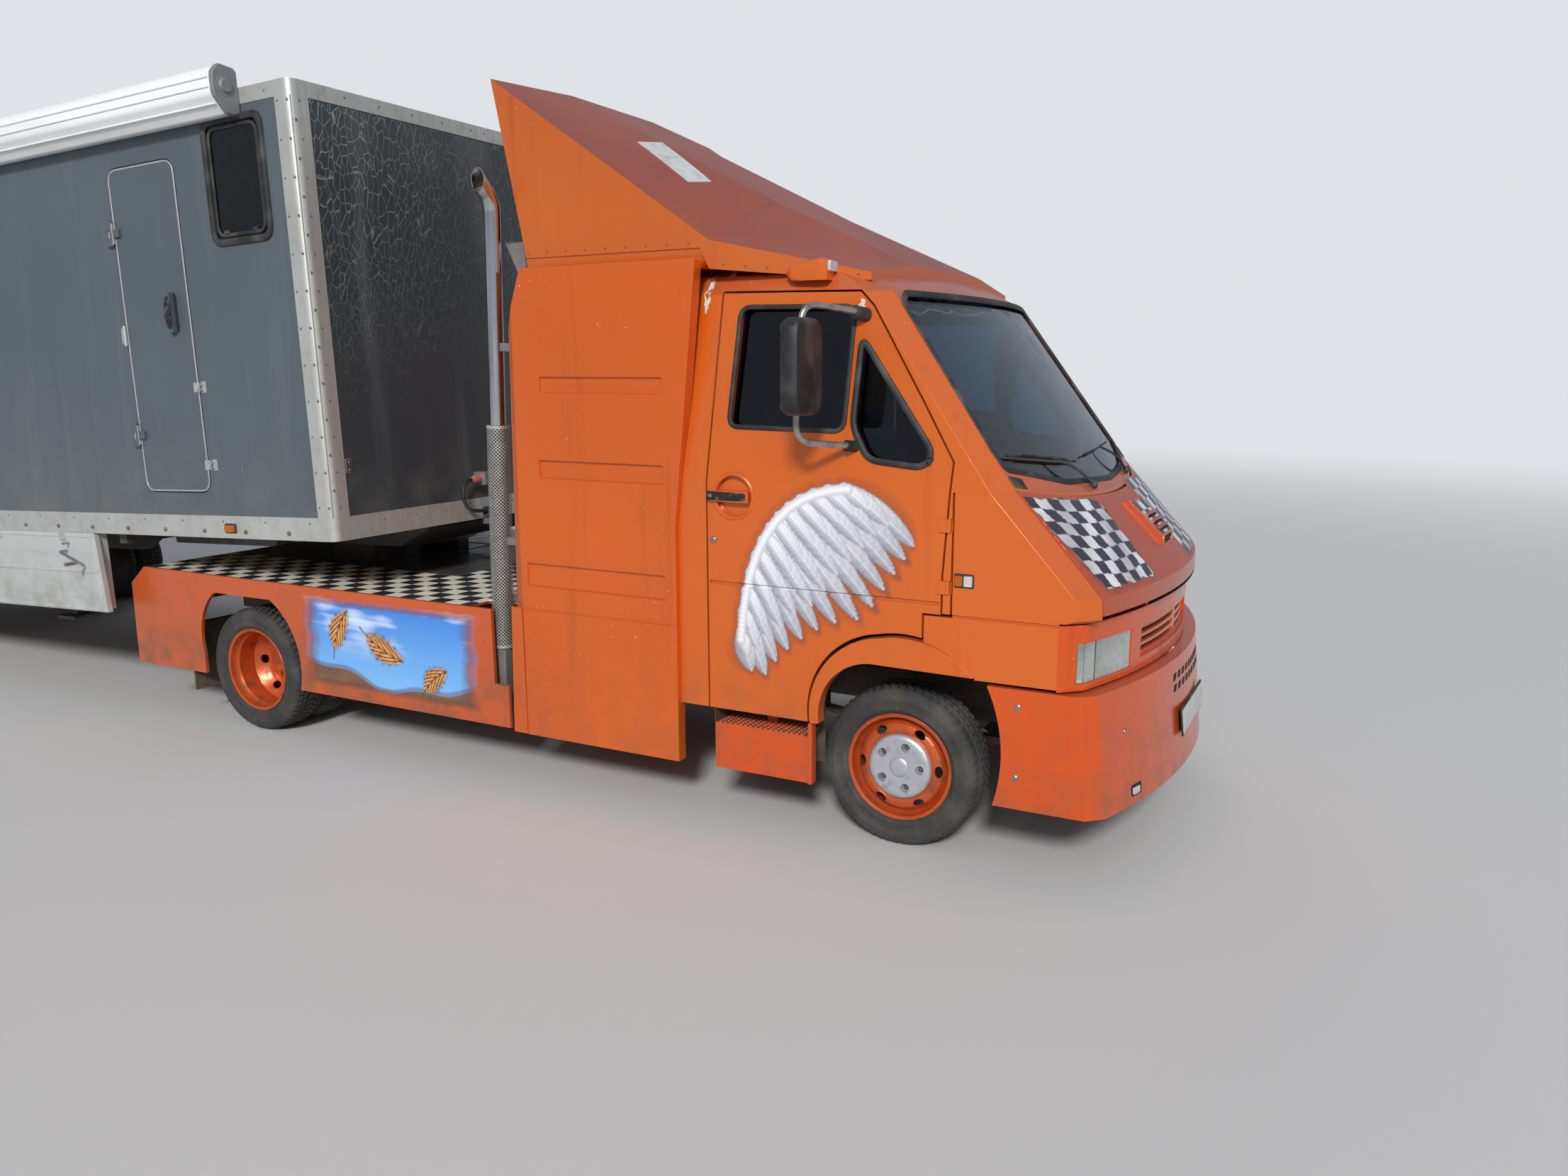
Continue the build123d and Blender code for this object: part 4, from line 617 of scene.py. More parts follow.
def cover_face(radius):
    """The cover's outer face: a flat field with a rolled outer edge."""
    return np.interp(radius, [0.045, 0.112, 0.122, 0.130], [-0.0885, -0.0905, -0.0895, -0.0835])


cast_silver, tree, shader = new_finish("cast_silver", metal=0.55, rough=0.38)
smut = between(tree, cloud(tree, 30.0, 5.0), 0.5, 0.8)
laid(
    shader, tint(tree, times(tree, smut, 0.5), rgb(186, 190, 196), rgb(120, 116, 110)),
    height=cloud(tree, 300.0, 2.0), depth=0.0004,
)

nut_steel = old_steel("nut_steel", rgb(70, 66, 64), 0.45, dust=0.4, rust=0.5)
cover_disc = pierced(0.047, 0.130, 5, 0.088, 0.0185, 0.0185, cover_face, 0.008)
cover_rim = turned(
    [(0.1298, -0.0838), (0.133, -0.080), (0.134, -0.070), (0.130, -0.066), (0.128, -0.076)], 72,
)
cover_dome = turned(
    [
        (0.0, -0.0965), (0.020, -0.0960), (0.034, -0.0940), (0.040, -0.0905), (0.0415, -0.0880),
        (0.0445, -0.0880), (0.0480, -0.0888), (0.0475, -0.0800),
    ],
    72,
)
cover_cups = copies(
    turned([(0.0188, -0.0895), (0.0180, -0.0880), (0.0175, -0.0700), (0.0, -0.0690)], 20),
    ring_of(5, 0.088),
)
cover_nuts = copies(moved(nut, (0, -0.0560, 0)), ring_of(5, 0.088))


def pairs(*rows):
    """Pieces made for the right side, and then their mirror images for the left.

    Each row has a stem, shells, finish, body, slot and the CAD pieces it stands for. A body that ends in
    _ takes r or l; a CAD piece that ends in _ takes right or left, and any other is replaced once."""
    for side, mark in both_sides:
        for stem, shells, finish, body, slot, *hidden in rows:
            placed = shells if side < 0 else [mirrored(shell) for shell in shells]
            owner = body + mark[0] if body.endswith("_") else body
            hides = [
                name + mark if name[-1] == "_" else name
                for name in hidden if side < 0 or name[-1] == "_"
            ]
            piece(stem + mark, placed, finish, owner, slot, hides)


hub_place = (0, -front_wheel_y, tyre_radius)
cover = joined([cover_disc, cover_rim, cover_dome, cover_cups])
pairs(
    ("hub_cover_", [moved(cover, hub_place)], cast_silver, "front_wheel_", "coupling_steel"),
    ("wheel_nuts_", [moved(cover_nuts, hub_place)], nut_steel, "front_wheel_", "coupling_steel"),
)

# Cab, doors, bonnet, bumper, sleeper and deflector panels
# Pressed steel cab panels and moulded plastic sleeper and deflector, all sprayed in a metallic orange.
# The sun has faded what faces up to a dull brick red. Dust lies low down, and stones chipped the paint.


def orange_paint(name, colour, faded, shade_low=0.6, fade_start=0.25, coat=0.5, extra=None):
    """Metallic orange: broad cloudy patches, faded upper faces, dust low down, and small chips."""
    finish, tree, shader = new_finish(name, metal=0.25, rough=0.3)
    shader.inputs["Coat Weight"].default_value = coat
    shader.inputs["Coat Roughness"].default_value = 0.12
    patches = cloud(tree, 1.1, 2.0)
    deeper = (colour[0] * 0.80, colour[1] * 0.72, colour[2] * 0.7, 1.0)
    side_colour = tint(tree, patches, colour, deeper)
    bleach = times(
        tree, between(tree, facing_up(tree), fade_start, 0.9), number(tree, cloud(tree, 2.3), 0.7, 1.1),
    )
    sunned = tint(tree, bleach, side_colour, faded)
    low = between(tree, height_of(tree), 0.85, 0.25)
    grime = times(tree, low, times(tree, between(tree, cloud(tree, 9.0, 6.0), 0.3, 0.8), shade_low))
    grimy = tint(tree, grime, sunned, rgb(116, 84, 62))
    streaks = between(tree, cloud(tree, 1.0, 4.0, stretched(tree, (16.0, 16.0, 0.9))), 0.56, 0.8)
    streaked = tint(tree, times(tree, streaks, 0.22), grimy, rgb(120, 62, 30))
    chip_field = between(tree, cloud(tree, 2.2, 2.0), 0.52, 0.66)
    chips = times(tree, between(tree, cloud(tree, 85.0, 2.0), 0.735, 0.745), chip_field)
    chipped = tint(tree, chips, streaked, rgb(205, 186, 168))
    dull = maths(tree, "MAXIMUM", grime, maths(tree, "MAXIMUM", times(tree, bleach, 0.7), chips))
    rough = number(tree, dull, 0.27, 0.62)
    if extra is not None:
        chipped, rough = extra(tree, chipped, rough)
    shape = maths(tree, "ADD", cloud(tree, 2.6, 1.0), times(tree, cloud(tree, 160.0, 1.0), 0.02))
    laid(shader, chipped, rough=rough, height=shape, depth=0.006)
    return finish


orange = rgb(222, 106, 30)
brick = rgb(178, 88, 58)
cab_orange = orange_paint("cab_orange", orange, brick)
dress(["cab_shell", "door_right", "door_left", "wings", "arch_trims"], cab_orange, edge=0.004)
front_orange = orange_paint("front_orange", rgb(222, 86, 12), brick, shade_low=0.5)
dress(["front_panel", "bumper", "steps"], front_orange, edge=0.005)
bonnet_orange = orange_paint("bonnet_orange", rgb(196, 88, 48), rgb(176, 80, 54), fade_start=0.1, coat=0.3)
dress(["bonnet"], bonnet_orange, edge=0.004)
sleeper_orange = orange_paint("sleeper_orange", rgb(220, 100, 26), brick, shade_low=0.25)
dress(["sleeper_box"], sleeper_orange, edge=0.008)
deflector_orange = orange_paint(
    "deflector_orange", rgb(214, 108, 44), rgb(146, 70, 54), fade_start=0.2, coat=0.12,
)
dress(["roof_deflector"], deflector_orange, edge=0.004)
skirt_orange = orange_paint("skirt_orange", rgb(216, 98, 42), brick, shade_low=0.8)
dress(["deck_skirts"], skirt_orange, edge=0.002)

# Cab glass
# Laminated windscreen with a blue-grey cast, and door panes tinted almost black; both colours are
# darker than the glass itself, partly painted shade of the dim cab behind them. Each is toughened
# glass in a black rubber seal, with a film of dust in patches.


def glass(name, colour, rough, dusty):
    """Glass that lets light through in its own colour, with a film of dust in cloudy patches."""
    finish, tree, shader = new_finish(name, base=colour, rough=rough)
    shader.inputs["Transmission Weight"].default_value = 1.0
    shader.inputs["IOR"].default_value = 1.45
    film = times(tree, between(tree, cloud(tree, 12.0, 4.0), 0.4, 0.85), dusty)
    laid(shader, tint(tree, film, colour, rgb(150, 150, 145)), rough=number(tree, film, rough, 0.5))
    return finish


# Both tints are darker than the glass itself: partly painted shade of the cab behind it.
screen_glass = glass("screen_glass", (0.28, 0.39, 0.46, 1.0), 0.02, 0.12)
dark_glass = glass("dark_glass", (0.05, 0.075, 0.14, 1.0), 0.02, 0.08)
dress(["windscreen"], screen_glass, edge=0)
dress(["door_glass_right", "door_glass_left"], dark_glass, edge=0)
smoked_acrylic = glass("smoked_acrylic", (0.05, 0.05, 0.055, 1.0), 0.06, 0.25)
dress(["trailer_windows"], smoked_acrylic, edge=0.002)

# Cab floor, dashboard and steering wheel
# A pressed floor under a dark rubber mat, and moulded black and dark grey plastic for the dashboard
# and wheel, with a fine leather-like grain.


def grained_plastic(name, colour, rough, grain=0.0006, dust=0.2):
    """Moulded plastic: a fine pebbled grain and a little grey dust in patches."""
    finish, tree, shader = new_finish(name, base=colour, rough=rough)
    film = times(tree, between(tree, cloud(tree, 8.0, 5.0), 0.4, 0.8), dust)
    laid(
        shader, tint(tree, film, colour, rgb(120, 116, 110)),
        rough=number(tree, cloud(tree, 20.0), rough - 0.08, rough + 0.12),
    )
    pebbles = node(tree, "TexVoronoi", {"Vector": place_of(tree), "Scale": 420.0}, feature="SMOOTH_F1")
    bumped(tree, shader, pebbles.outputs["Distance"], grain)
    return finish


cabin_plastic = grained_plastic("cabin_plastic", rgb(48, 48, 52), 0.55)
dress(["dashboard"], cabin_plastic, edge=0.01)
wheel_plastic = grained_plastic("wheel_plastic", rgb(26, 26, 28), 0.42, dust=0.05)
dress(["steering_wheel"], wheel_plastic, edge=0)
floor_mat = grained_plastic("floor_mat", rgb(52, 48, 46), 0.85, dust=0.6)
dress(["cab_floor"], floor_mat, edge=0.003)

# Seats
# Two high-backed seats in woven grey cloth over foam: a cushion and a back on each, with sewn channels
# and a stitched border, on a plastic base. The headrest is one with the back.
seat_y = 0.52


def squarish(turn, power):
    """Cosine and sine of a turn, raised to a power with their signs kept: a circle squared off."""
    return [np.sign(part) * np.abs(part) ** power for part in (np.cos(turn), np.sin(turn))]


def cushion(middle, half, lean, crown, channels, corner_power=0.28, steps=56):
    """A padded block: a superellipsoid, swollen over its faces and drawn in along sewn channels.

    Each direction is half * sign(c) * |c| ** power for the cosine or sine c; the channels are narrow
    dips of the top face across its length; the whole leans by an angle about Y."""
    rise = np.linspace(-math.pi / 2, math.pi / 2, steps)[:, None]
    turn = np.linspace(0, 2 * math.pi, steps * 2, endpoint=False)[None, :]
    level, height = squarish(rise, corner_power)
    along, across = squarish(turn, corner_power)
    x = level * along
    y = level * across
    z = height + 0 * turn
    swell = crown * (1 - x**2) * (1 - y**2)
    dips = np.zeros_like(x)
    for channel in channels:
        dips = dips + np.exp(-(((y - channel) / 0.035) ** 2))
    border = np.exp(-(((np.abs(y) - 0.80) / 0.03) ** 2)) * (np.abs(x) < 0.86)
    depth = 1 + swell - 0.10 * np.clip(dips * (np.abs(x) < 0.8) + border, 0, 1) * (z > 0)
    local = xyz(x * half[0], y * half[1], z * half[2] * depth)
    c = math.cos(lean)
    s = math.sin(lean)
    leaned = local @ np.array([(c, 0, -s), (0, 1, 0), (s, 0, c)])
    return skin(leaned + middle, close_columns=True)


seat_cloth, tree, shader = new_finish("seat_cloth", rough=0.95)
shader.inputs["Sheen Weight"].default_value = 0.3
shader.inputs["Sheen Roughness"].default_value = 0.5
waves = {"Vector": place_of(tree), "Scale": 120.0, "Distortion": 0.6}
warp, weft = [node(tree, "TexWave", waves, bands_direction=way).outputs["Color"] for way in "XZ"]
weave = times(tree, warp, weft)
laid(shader, tint(tree, weave, rgb(96, 94, 98), rgb(140, 138, 140)), height=weave, depth=0.0008)
seat_parts = [
    cushion((-0.455, -seat_y, 1.055), (0.225, 0.232, 0.085), math.radians(5), 0.12, (-0.4, 0.0, 0.4)),
    cushion((-0.688, -seat_y, 1.335), (0.255, 0.230, 0.055), math.radians(-79), 0.16, (-0.4, 0.0, 0.4)),
    cushion((-0.745, -seat_y, 1.625), (0.095, 0.135, 0.042), math.radians(-84), 0.2, ()),
]
pedestal = turned([(0.0, 0.0), (0.17, 0.0), (0.19, 0.02), (0.16, 0.18), (0.17, 0.28), (0.0, 0.29)], 4)
# The pedestal is stood up and turned so that its four sides face forward, back and to both sides
c = math.cos(0.785)
s = math.sin(0.785)
stood = pedestal[0] @ np.array([(c, s, 0), (0, 0, 1), (-s, c, 0)])
for side, mark in both_sides:
    placed = [moved(part, (0, (side + 1) * seat_y, 0)) for part in seat_parts]
    pads = piece(
        "seat_pads_" + mark, placed, seat_cloth, "truck", "seat_cloth", ("seats",) if side < 0 else (),
    )
    stand = (stood + (-0.53, side * seat_y, 0.672), pedestal[1])
    piece("seat_base_" + mark, [stand], cabin_plastic, "truck", "cabin_plastic", rounding=0.008)

# Door windows: seals
# Black rubber profiles pressed over the edge of each opening hold the panes, and a thin bright bar
# parts the side window from the quarter window.
cab_levels = np.array(
    [
        (0.420, 0.735, 0.905, 1.000), (1.010, 0.735, 0.905, 1.000), (1.030, 0.788, 0.933, 1.000),
        (1.105, 0.783, 0.930, 1.000), (1.465, 0.463, 0.575, 1.000), (2.190, -0.060, 0.062, 0.925),
        (2.262, -0.190, -0.070, 0.870), (2.320, -0.450, -0.330, 0.700),
    ],
)


def cab_side(z):
    """Half width of the cab at a height."""
    return np.interp(z, cab_levels[:, 0], cab_levels[:, 3])


def bowed(y, corner, middle, chord, slope):
    """How far forward a bowed panel lies: a circle through both corners, chord out from the middle, and
    the middle itself, and a straight chamfer outside the corners."""
    bow = middle - corner
    radius = (chord**2 + bow**2) / (2 * bow)
    arc = middle - radius + np.sqrt(radius**2 - np.minimum(np.abs(y), chord) ** 2)
    return arc - np.maximum(np.abs(y) - chord, 0) * slope


def cab_front(y, z):
    """How far forward the cab's skin lies at each height."""
    corner = np.interp(z, cab_levels[:, 0], cab_levels[:, 1])
    middle = np.interp(z, cab_levels[:, 0], cab_levels[:, 2])
    return bowed(y, corner, middle, cab_side(z) - 0.070, 0.075 / 0.070)


def swept(t, start, pull, end):
    """The quadratic curve (1 - t)^2 start + 2 t (1 - t) pull + t^2 end."""
    return (1 - t) ** 2 * start + 2 * t * (1 - t) * pull + t**2 * end


def rounded(corners, radius, steps=7):
    """A closed outline whose corners are turned by quadratic curves that start a radius before each."""
    corners = np.asarray(corners, dtype=float)
    before = np.roll(corners, 1, axis=0) - corners
    after = np.roll(corners, -1, axis=0) - corners
    start = corners + radius * before / np.linalg.norm(before, axis=1, keepdims=True)
    end = corners + radius * after / np.linalg.norm(after, axis=1, keepdims=True)
    t = np.linspace(0, 1, steps)[None, :, None]
    return swept(t, start[:, None], corners[:, None], end[:, None]).reshape(-1, corners.shape[1])


def filled_in(outline, gap=0.03):
    """The same closed outline with points added so that none lies further than gap from the next."""
    after = np.roll(outline, -1, axis=0)
    length = np.linalg.norm(after - outline, axis=1)
    count = np.maximum(np.ceil(length / gap).astype(int), 1)
    owner = np.repeat(np.arange(len(outline)), count)
    share = (np.arange(len(owner)) - np.repeat(np.cumsum(count) - count, count)) / count[owner]
    return outline[owner] * (1 - share[:, None]) + after[owner] * share[:, None]


def bar(path, radius, facing, sides=10, closed=False, flat=1.0):
    """A bar along a path: at each point a ring of radius across and flat * radius along facing."""
    path = np.asarray(path, dtype=float)
    if closed:
        ahead = np.roll(path, -1, axis=0) - np.roll(path, 1, axis=0)
    else:
        ahead = np.gradient(path, axis=0)
    ahead = ahead / np.linalg.norm(ahead, axis=1, keepdims=True)
    side = np.cross(ahead, np.asarray(facing, dtype=float))
    side = side / np.linalg.norm(side, axis=1, keepdims=True)
    top = np.cross(side, ahead)
    angle = np.linspace(0, 2 * math.pi, sides, endpoint=False)[None, :, None]
    wide = np.broadcast_to(np.asarray(radius, dtype=float), (len(path),))[:, None, None]
    rings = path[:, None] + wide * (np.cos(angle) * side[:, None] + flat * np.sin(angle) * top[:, None])
    if not closed:
        ends = np.repeat(path[[0, -1], None], sides, axis=1)
        rings = np.concatenate((ends[:1], rings, ends[1:]))
    return skin(rings, close_rows=closed, close_columns=True)


seal_rubber = grained_plastic("seal_rubber", rgb(30, 30, 31), 0.6, grain=0.0003, dust=0.35)
side_window = [(-0.667, 2.140), (-0.703, 1.678), (-0.200, 1.670), (-0.176, 2.133)]
quarter_window = [(-0.143, 2.020), (-0.164, 1.690), (-0.095, 1.568), (0.135, 1.546), (0.165, 1.600)]


def door_line(outline):
    """A rounded outline in side view, laid 2 mm off the right door's skin."""
    flat = filled_in(rounded(outline, 0.045))
    return xyz(flat[:, 0], -cab_side(flat[:, 1]) - 0.002, flat[:, 1])


seals = [
    bar(door_line(outline), radius, (0, 1, 0), closed=True, flat=0.7)
    for outline, radius in ((side_window, 0.010), (quarter_window, 0.013))
]
pairs(("door_window_seals_", seals, seal_rubber, "door_", "flap_rubber"))

# Door handles and locks
# A steel pull flap, painted black and worn grey, lies across a round dished bowl pressed in the door.
# The lock barrel sits below it at the rear edge.
handle_x = -0.672
handle_z = 1.402
skin_y = 1.000


def slab(outline, out, thickness, edge=0.06):
    """A closed plate: rings from its middle to its rounded rim, down the rim, and back behind."""
    outline = np.asarray(outline, dtype=float)
    out = np.asarray(out, dtype=float)
    middle = outline.mean(axis=0)
    inner = outline * (1 - edge) + middle * edge
    raised = out * thickness
    centre = np.broadcast_to(middle, outline.shape)
    rings = (centre + raised, inner + raised, outline + raised * 0.6, outline, centre)
    return skin(np.stack(rings), close_columns=True)


def oblong(half_long, half_high, radius):
    """A rounded rectangle about the origin as flat points."""
    corner = np.array((half_long, half_high))
    return rounded(corner * [(-1, -1), (1, -1), (1, 1), (-1, 1)], radius)


def faced(flat, centre, out):
    """Flat points laid round a centre, square to the axis that out runs along."""
    return np.insert(flat, int(np.argmax(np.abs(out))), 0.0, axis=1) + centre


def plate(centre, half_long, half_high, radius, thickness, out):
    """A rounded plate round a centre, which faces along out."""
    return slab(faced(oblong(half_long, half_high, radius), centre, out), out, thickness)


def mottled(name, first, second, scale, detail=3.0, span=None, share=1.0, metal=0.0, rough=0.5, clear=0.0):
    """A finish that drifts from one tone to another in clouds; span sharpens them, clear lets light in."""
    finish, tree, shader = new_finish(name, metal=metal, rough=rough)
    shader.inputs["Transmission Weight"].default_value = clear
    spots = cloud(tree, scale, detail)
    if span is not None:
        spots = times(tree, between(tree, spots, *span), share)
    laid(shader, tint(tree, spots, first, second))
    return finish


handle_black = mottled(
    "handle_black", rgb(38, 36, 36), rgb(92, 90, 90), 40.0, 5.0, span=(0.5, 0.7), metal=0.3, rough=0.45,
)
bright_steel = mottled(
    "bright_steel", rgb(190, 190, 190), rgb(128, 124, 120), 30.0, 5.0, metal=0.9, rough=0.3,
)
bowl_rim = turned(
    [(0.080, -0.0005), (0.084, -0.0045), (0.090, -0.0055), (0.095, -0.003), (0.097, 0.001)], 60,
)
flap = rounded([(-0.098, -0.019), (0.080, -0.015), (0.080, 0.015), (-0.098, 0.019)], 0.006)
outwards = (0, -1, 0)
pull = slab(faced(flap, (handle_x - 0.018, -skin_y - 0.014, handle_z), outwards), outwards, 0.004)
screw = turned([(0.0, -0.0205), (0.006, -0.020), (0.008, -0.018), (0.008, -0.014)], 16)
lock = turned(
    [(0.0, -0.006), (0.009, -0.006), (0.010, -0.005), (0.0135, -0.004), (0.0145, 0.0), (0.014, 0.002)],
    24,
)
locks = [moved(screw, (handle_x - 0.098, -skin_y, handle_z)), moved(lock, (-0.765, -skin_y, 1.222))]
pairs(
    (
        "handle_bowl_rim_", [moved(bowl_rim, (handle_x, -skin_y, handle_z))], cab_orange, "door_",
        "cab_paint",
    ),
    ("handle_flap_", [pull], handle_black, "door_", "mirror_plastic"),
    ("door_lock_", locks, bright_steel, "door_", "coupling_steel"),
)

# Airbrushed door panels
# A free design of a spread wing in white and slate grey, sprayed over the orange with an airbrush and
# lacquered. Three rows of feathers hang from a curved leading edge, with a dark soft shadow around them.


def feather(x, z, foot, bearing, bend, length, width):
    """Nearness, place along and place across of one feather at each point.

    Its quill is an arc that leaves the foot at a bearing and turns by bend over its length; its half
    width swells as the root of a sine and is notched along the barbs."""
    t = np.linspace(0.0, 1.0, 30)
    heading = np.radians(bearing + bend * t)
    step = length / (len(t) - 1)
    quill_x = foot[0] + np.concatenate(([0], np.cumsum(np.cos(heading[:-1]) * step)))
    quill_z = foot[1] + np.concatenate(([0], np.cumsum(np.sin(heading[:-1]) * step)))
    gap = (x[..., None] - quill_x) ** 2 + (z[..., None] - quill_z) ** 2
    nearest = np.argmin(gap, axis=-1)
    along = t[nearest]
    turn = heading[nearest]
    across = -(x - quill_x[nearest]) * np.sin(turn) + (z - quill_z[nearest]) * np.cos(turn)
    away = np.sqrt(np.min(gap, axis=-1))
    barbs = 0.05 * np.sin(70 * along + 30 * np.abs(across) / width)
    half = width * np.sin(math.pi * np.clip(0.12 + 0.86 * along, 0, 1)) ** 0.55 * (1 + barbs)
    return 1 - away / np.maximum(half, 1e-6), along, across / width


bone_start = np.array((-0.640, 0.820))
bone_pull = np.array((-0.600, 1.430))
bone_end = np.array((-0.170, 1.455))
# Rows of feathers: how many, length at the shoulder and at the tip, half width, white at root and tip,
# and how far from the wheel's centre the tips stay
arch_z = 0.332
feather_rows = [
    (13, 0.250, 0.520, 0.050, 0.86, 0.42, 0.640), (12, 0.160, 0.330, 0.040, 0.94, 0.55, 0.730),
    (12, 0.090, 0.170, 0.034, 1.00, 0.72, 0.800),
]


def tone(red, green, blue):
    """A colour without its alpha, for mixing."""
    return np.array(rgb(red, green, blue)[:3])


def mix(first, second, share):
    """From one colour to another by a share at each point."""
    return first + (second - first) * share[..., None]


def blend(colour, layer, share):
    """Lays a colour over another by a share at each point."""
    return colour * (1 - share[..., None]) + layer * share[..., None]


def wing(x, z):
    """Colour and cover of the wing: a soft dark shadow, three rows of feathers, then the leading edge.

    The leading edge is the quadratic curve (1 - q)^2 start + 2 q (1 - q) pull + q^2 end; at q the
    feathers leave it at a bearing that rises from 80 degrees below forward to 25 below."""
    slate = np.array((0.045, 0.055, 0.10))
    white = np.array((0.86, 0.87, 0.90))
    colour = np.zeros(x.shape + (3,)) + (0.085, 0.040, 0.035)
    cover = np.zeros(x.shape)
    layers = []
    for count, near, far, width, root_light, tip_light, clear in feather_rows:
        for q in np.linspace(0.98, 0.02, count):
            foot = swept(q, bone_start, bone_pull, bone_end)
            length = near * min(1.0, 0.45 + 2.2 * q) + (far - near) * math.sin(0.9 * math.pi * q**0.85)
            bearing = -80 + 55 * q**0.85
            bend = 12 - 30 * q
            middle = math.radians(bearing + bend / 2)
            lengths = np.linspace(0.08, length, 60)
            tip = foot + lengths[:, None] * np.array((math.cos(middle), math.sin(middle)))
            free = np.logical_and.accumulate(np.hypot(tip[:, 0], tip[:, 1] - arch_z) > clear)
            length = lengths[free].max(initial=0.08)
            layers.append((foot, bearing, bend, length, width, root_light, tip_light))
    for foot, bearing, bend, length, width, root_light, tip_light in layers[: feather_rows[0][0]]:
        nearness = feather(x, z, foot, bearing, bend, length * 1.06, width * 1.9)[0]
        cover = np.maximum(cover, 0.62 * np.clip(nearness * 1.3, 0, 1))
    for foot, bearing, bend, length, width, root_light, tip_light in layers:
        nearness, along, across = feather(x, z, foot, bearing, bend, length, width)
        light = root_light + (tip_light - root_light) * along**1.3
        light = light * (1 - 0.50 * np.clip(0.35 - across, 0, 1) ** 1.2)
        light = light * (0.93 + 0.07 * np.sin(120 * along - 6.0 * np.abs(across)))
        light = np.clip(light + 0.22 * np.exp(-((across / 0.09) ** 2)), 0, 1)
        light = light * np.clip(0.25 + nearness * 3.2, 0, 1)
        strong = np.clip(nearness * 7, 0, 1)
        colour = blend(colour, mix(slate, white, light), strong)
        cover = cover + (1 - cover) * strong
    q = np.linspace(0, 1, 60)[:, None]
    bone = swept(q, bone_start, bone_pull, bone_end)
    gap = np.sqrt(np.min((x[..., None] - bone[:, 0]) ** 2 + (z[..., None] - bone[:, 1]) ** 2, axis=-1))
    edge = np.clip((0.026 - gap) / 0.010, 0, 1)
    edge_colour = mix(slate, white, np.clip(1.05 - gap / 0.040, 0, 1))
    return blend(colour, edge_colour, edge), cover + (1 - cover) * edge


def art_paint(name, colour, faded, **settings):
    """The same metallic orange, under artwork whose colour and cover are kept on the mesh."""

    def over(tree, below, rough):
        """The artwork's colour over the paint below, and the gloss of the lacquer where it covers."""
        art = node(tree, "Attribute", attribute_name="art_colour", attribute_type="GEOMETRY")
        cover = node(tree, "Attribute", attribute_name="art_cover", attribute_type="GEOMETRY")
        speckle = number(tree, cloud(tree, 500.0, 1.0), 0.9, 1.08)
        share = maths(tree, "MINIMUM", times(tree, cover.outputs["Fac"], speckle), 1.0)
        return tint(tree, share, below, art.outputs["Color"]), number(tree, share, rough, 0.34)

    finish = orange_paint(name, colour, faded, extra=over, **settings)
    tree = finish.node_tree
    shader = tree.nodes["Principled BSDF"]
    cover = node(tree, "Attribute", attribute_name="art_cover", attribute_type="GEOMETRY")
    tree.links.new(number(tree, cover.outputs["Fac"], 0.32, 0.0), shader.inputs["Metallic"])
    return finish


def painted_sheet(name, points, colour, cover, finish, body, flip):
    """A thin lacquer layer over a panel: a grid of points with colour and cover at each."""
    flat_points, faces = skin(points)
    faces = faces[cover.ravel()[faces].max(axis=1) > 0.002]
    used = np.unique(faces)
    flat_points = flat_points[used]
    colour = colour.reshape(-1, 3)[used]
    cover = cover.ravel()[used]
    faces = np.searchsorted(used, faces)
    if flip:
        faces = faces[:, ::-1]
    mesh = bpy.data.meshes.new(name)
    mesh.from_pydata((flat_points + (axle_x, 0, 0)).tolist(), [], faces.tolist())
    mesh.polygons.foreach_set("use_smooth", np.ones(len(mesh.polygons), dtype=bool))
    shade = mesh.attributes.new("art_colour", "FLOAT_COLOR", "POINT")
    full = np.concatenate((colour, np.ones((len(used), 1))), axis=1)
    shade.data.foreach_set("color", full.ravel().astype(np.float32))
    amount = mesh.attributes.new("art_cover", "FLOAT", "POINT")
    amount.data.foreach_set("value", cover.astype(np.float32))
    mesh.materials.append(finish)
    item = bpy.data.objects.new(name, mesh)
    bpy.context.collection.objects.link(item)
    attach(item, body)
    return item


def fade_in(value, low, high, soft):
    """1 well inside a range and 0 at its ends, with a smooth step of width soft at each."""
    near = np.clip(np.minimum(value - low, high - value) / soft, 0, 1)
    return near**2 * (3 - 2 * near)


art_orange = art_paint("art_orange", orange, brick)
lacquer = 0.0007
cell = 0.0042
crease_low = 1.040
crease_high = 1.054
crease_depth = 0.009
art_rear = -0.780
art_front = 0.120
art_low = 0.560
art_high = 1.535
lower = np.linspace(art_low, crease_low - 0.0005, int((crease_low - art_low) / cell))
upper = np.linspace(crease_high + 0.0005, art_high, int((art_high - crease_high) / cell))
crease = np.array([crease_low, crease_low + 0.0005, crease_high - 0.0005, crease_high])
rows_z = np.concatenate((lower, crease, upper))
sunk = np.where((rows_z > crease_low) & (rows_z < crease_high), crease_depth, 0.0)
columns_x = np.linspace(art_rear, art_front, int((art_front - art_rear) / cell))
art_x, art_z = np.meshgrid(columns_x, rows_z)
shape_colour, shape_cover = wing(art_x, art_z)
arch_away = np.hypot(art_x, art_z - arch_z) - 0.600
handle_away = np.hypot(art_x - handle_x, art_z - handle_z) - 0.115
window_gap = np.interp(art_x, [-0.70, -0.20, -0.10, 0.14], [1.640, 1.632, 1.520, 1.500]) - art_z
inside = fade_in(art_x, art_rear + 0.004, art_front, 0.03) * fade_in(art_z, art_low, art_high, 0.03)
for away, soft in ((arch_away, 0.03), (handle_away, 0.02), (window_gap, 0.03)):
    inside = inside * np.clip(away / soft, 0, 1)
shape_cover = shape_cover * inside
depth_out = np.where(shape_cover > 0.002, lacquer, -0.0012)
on_door = cab_side(art_z) + depth_out - sunk[:, None]
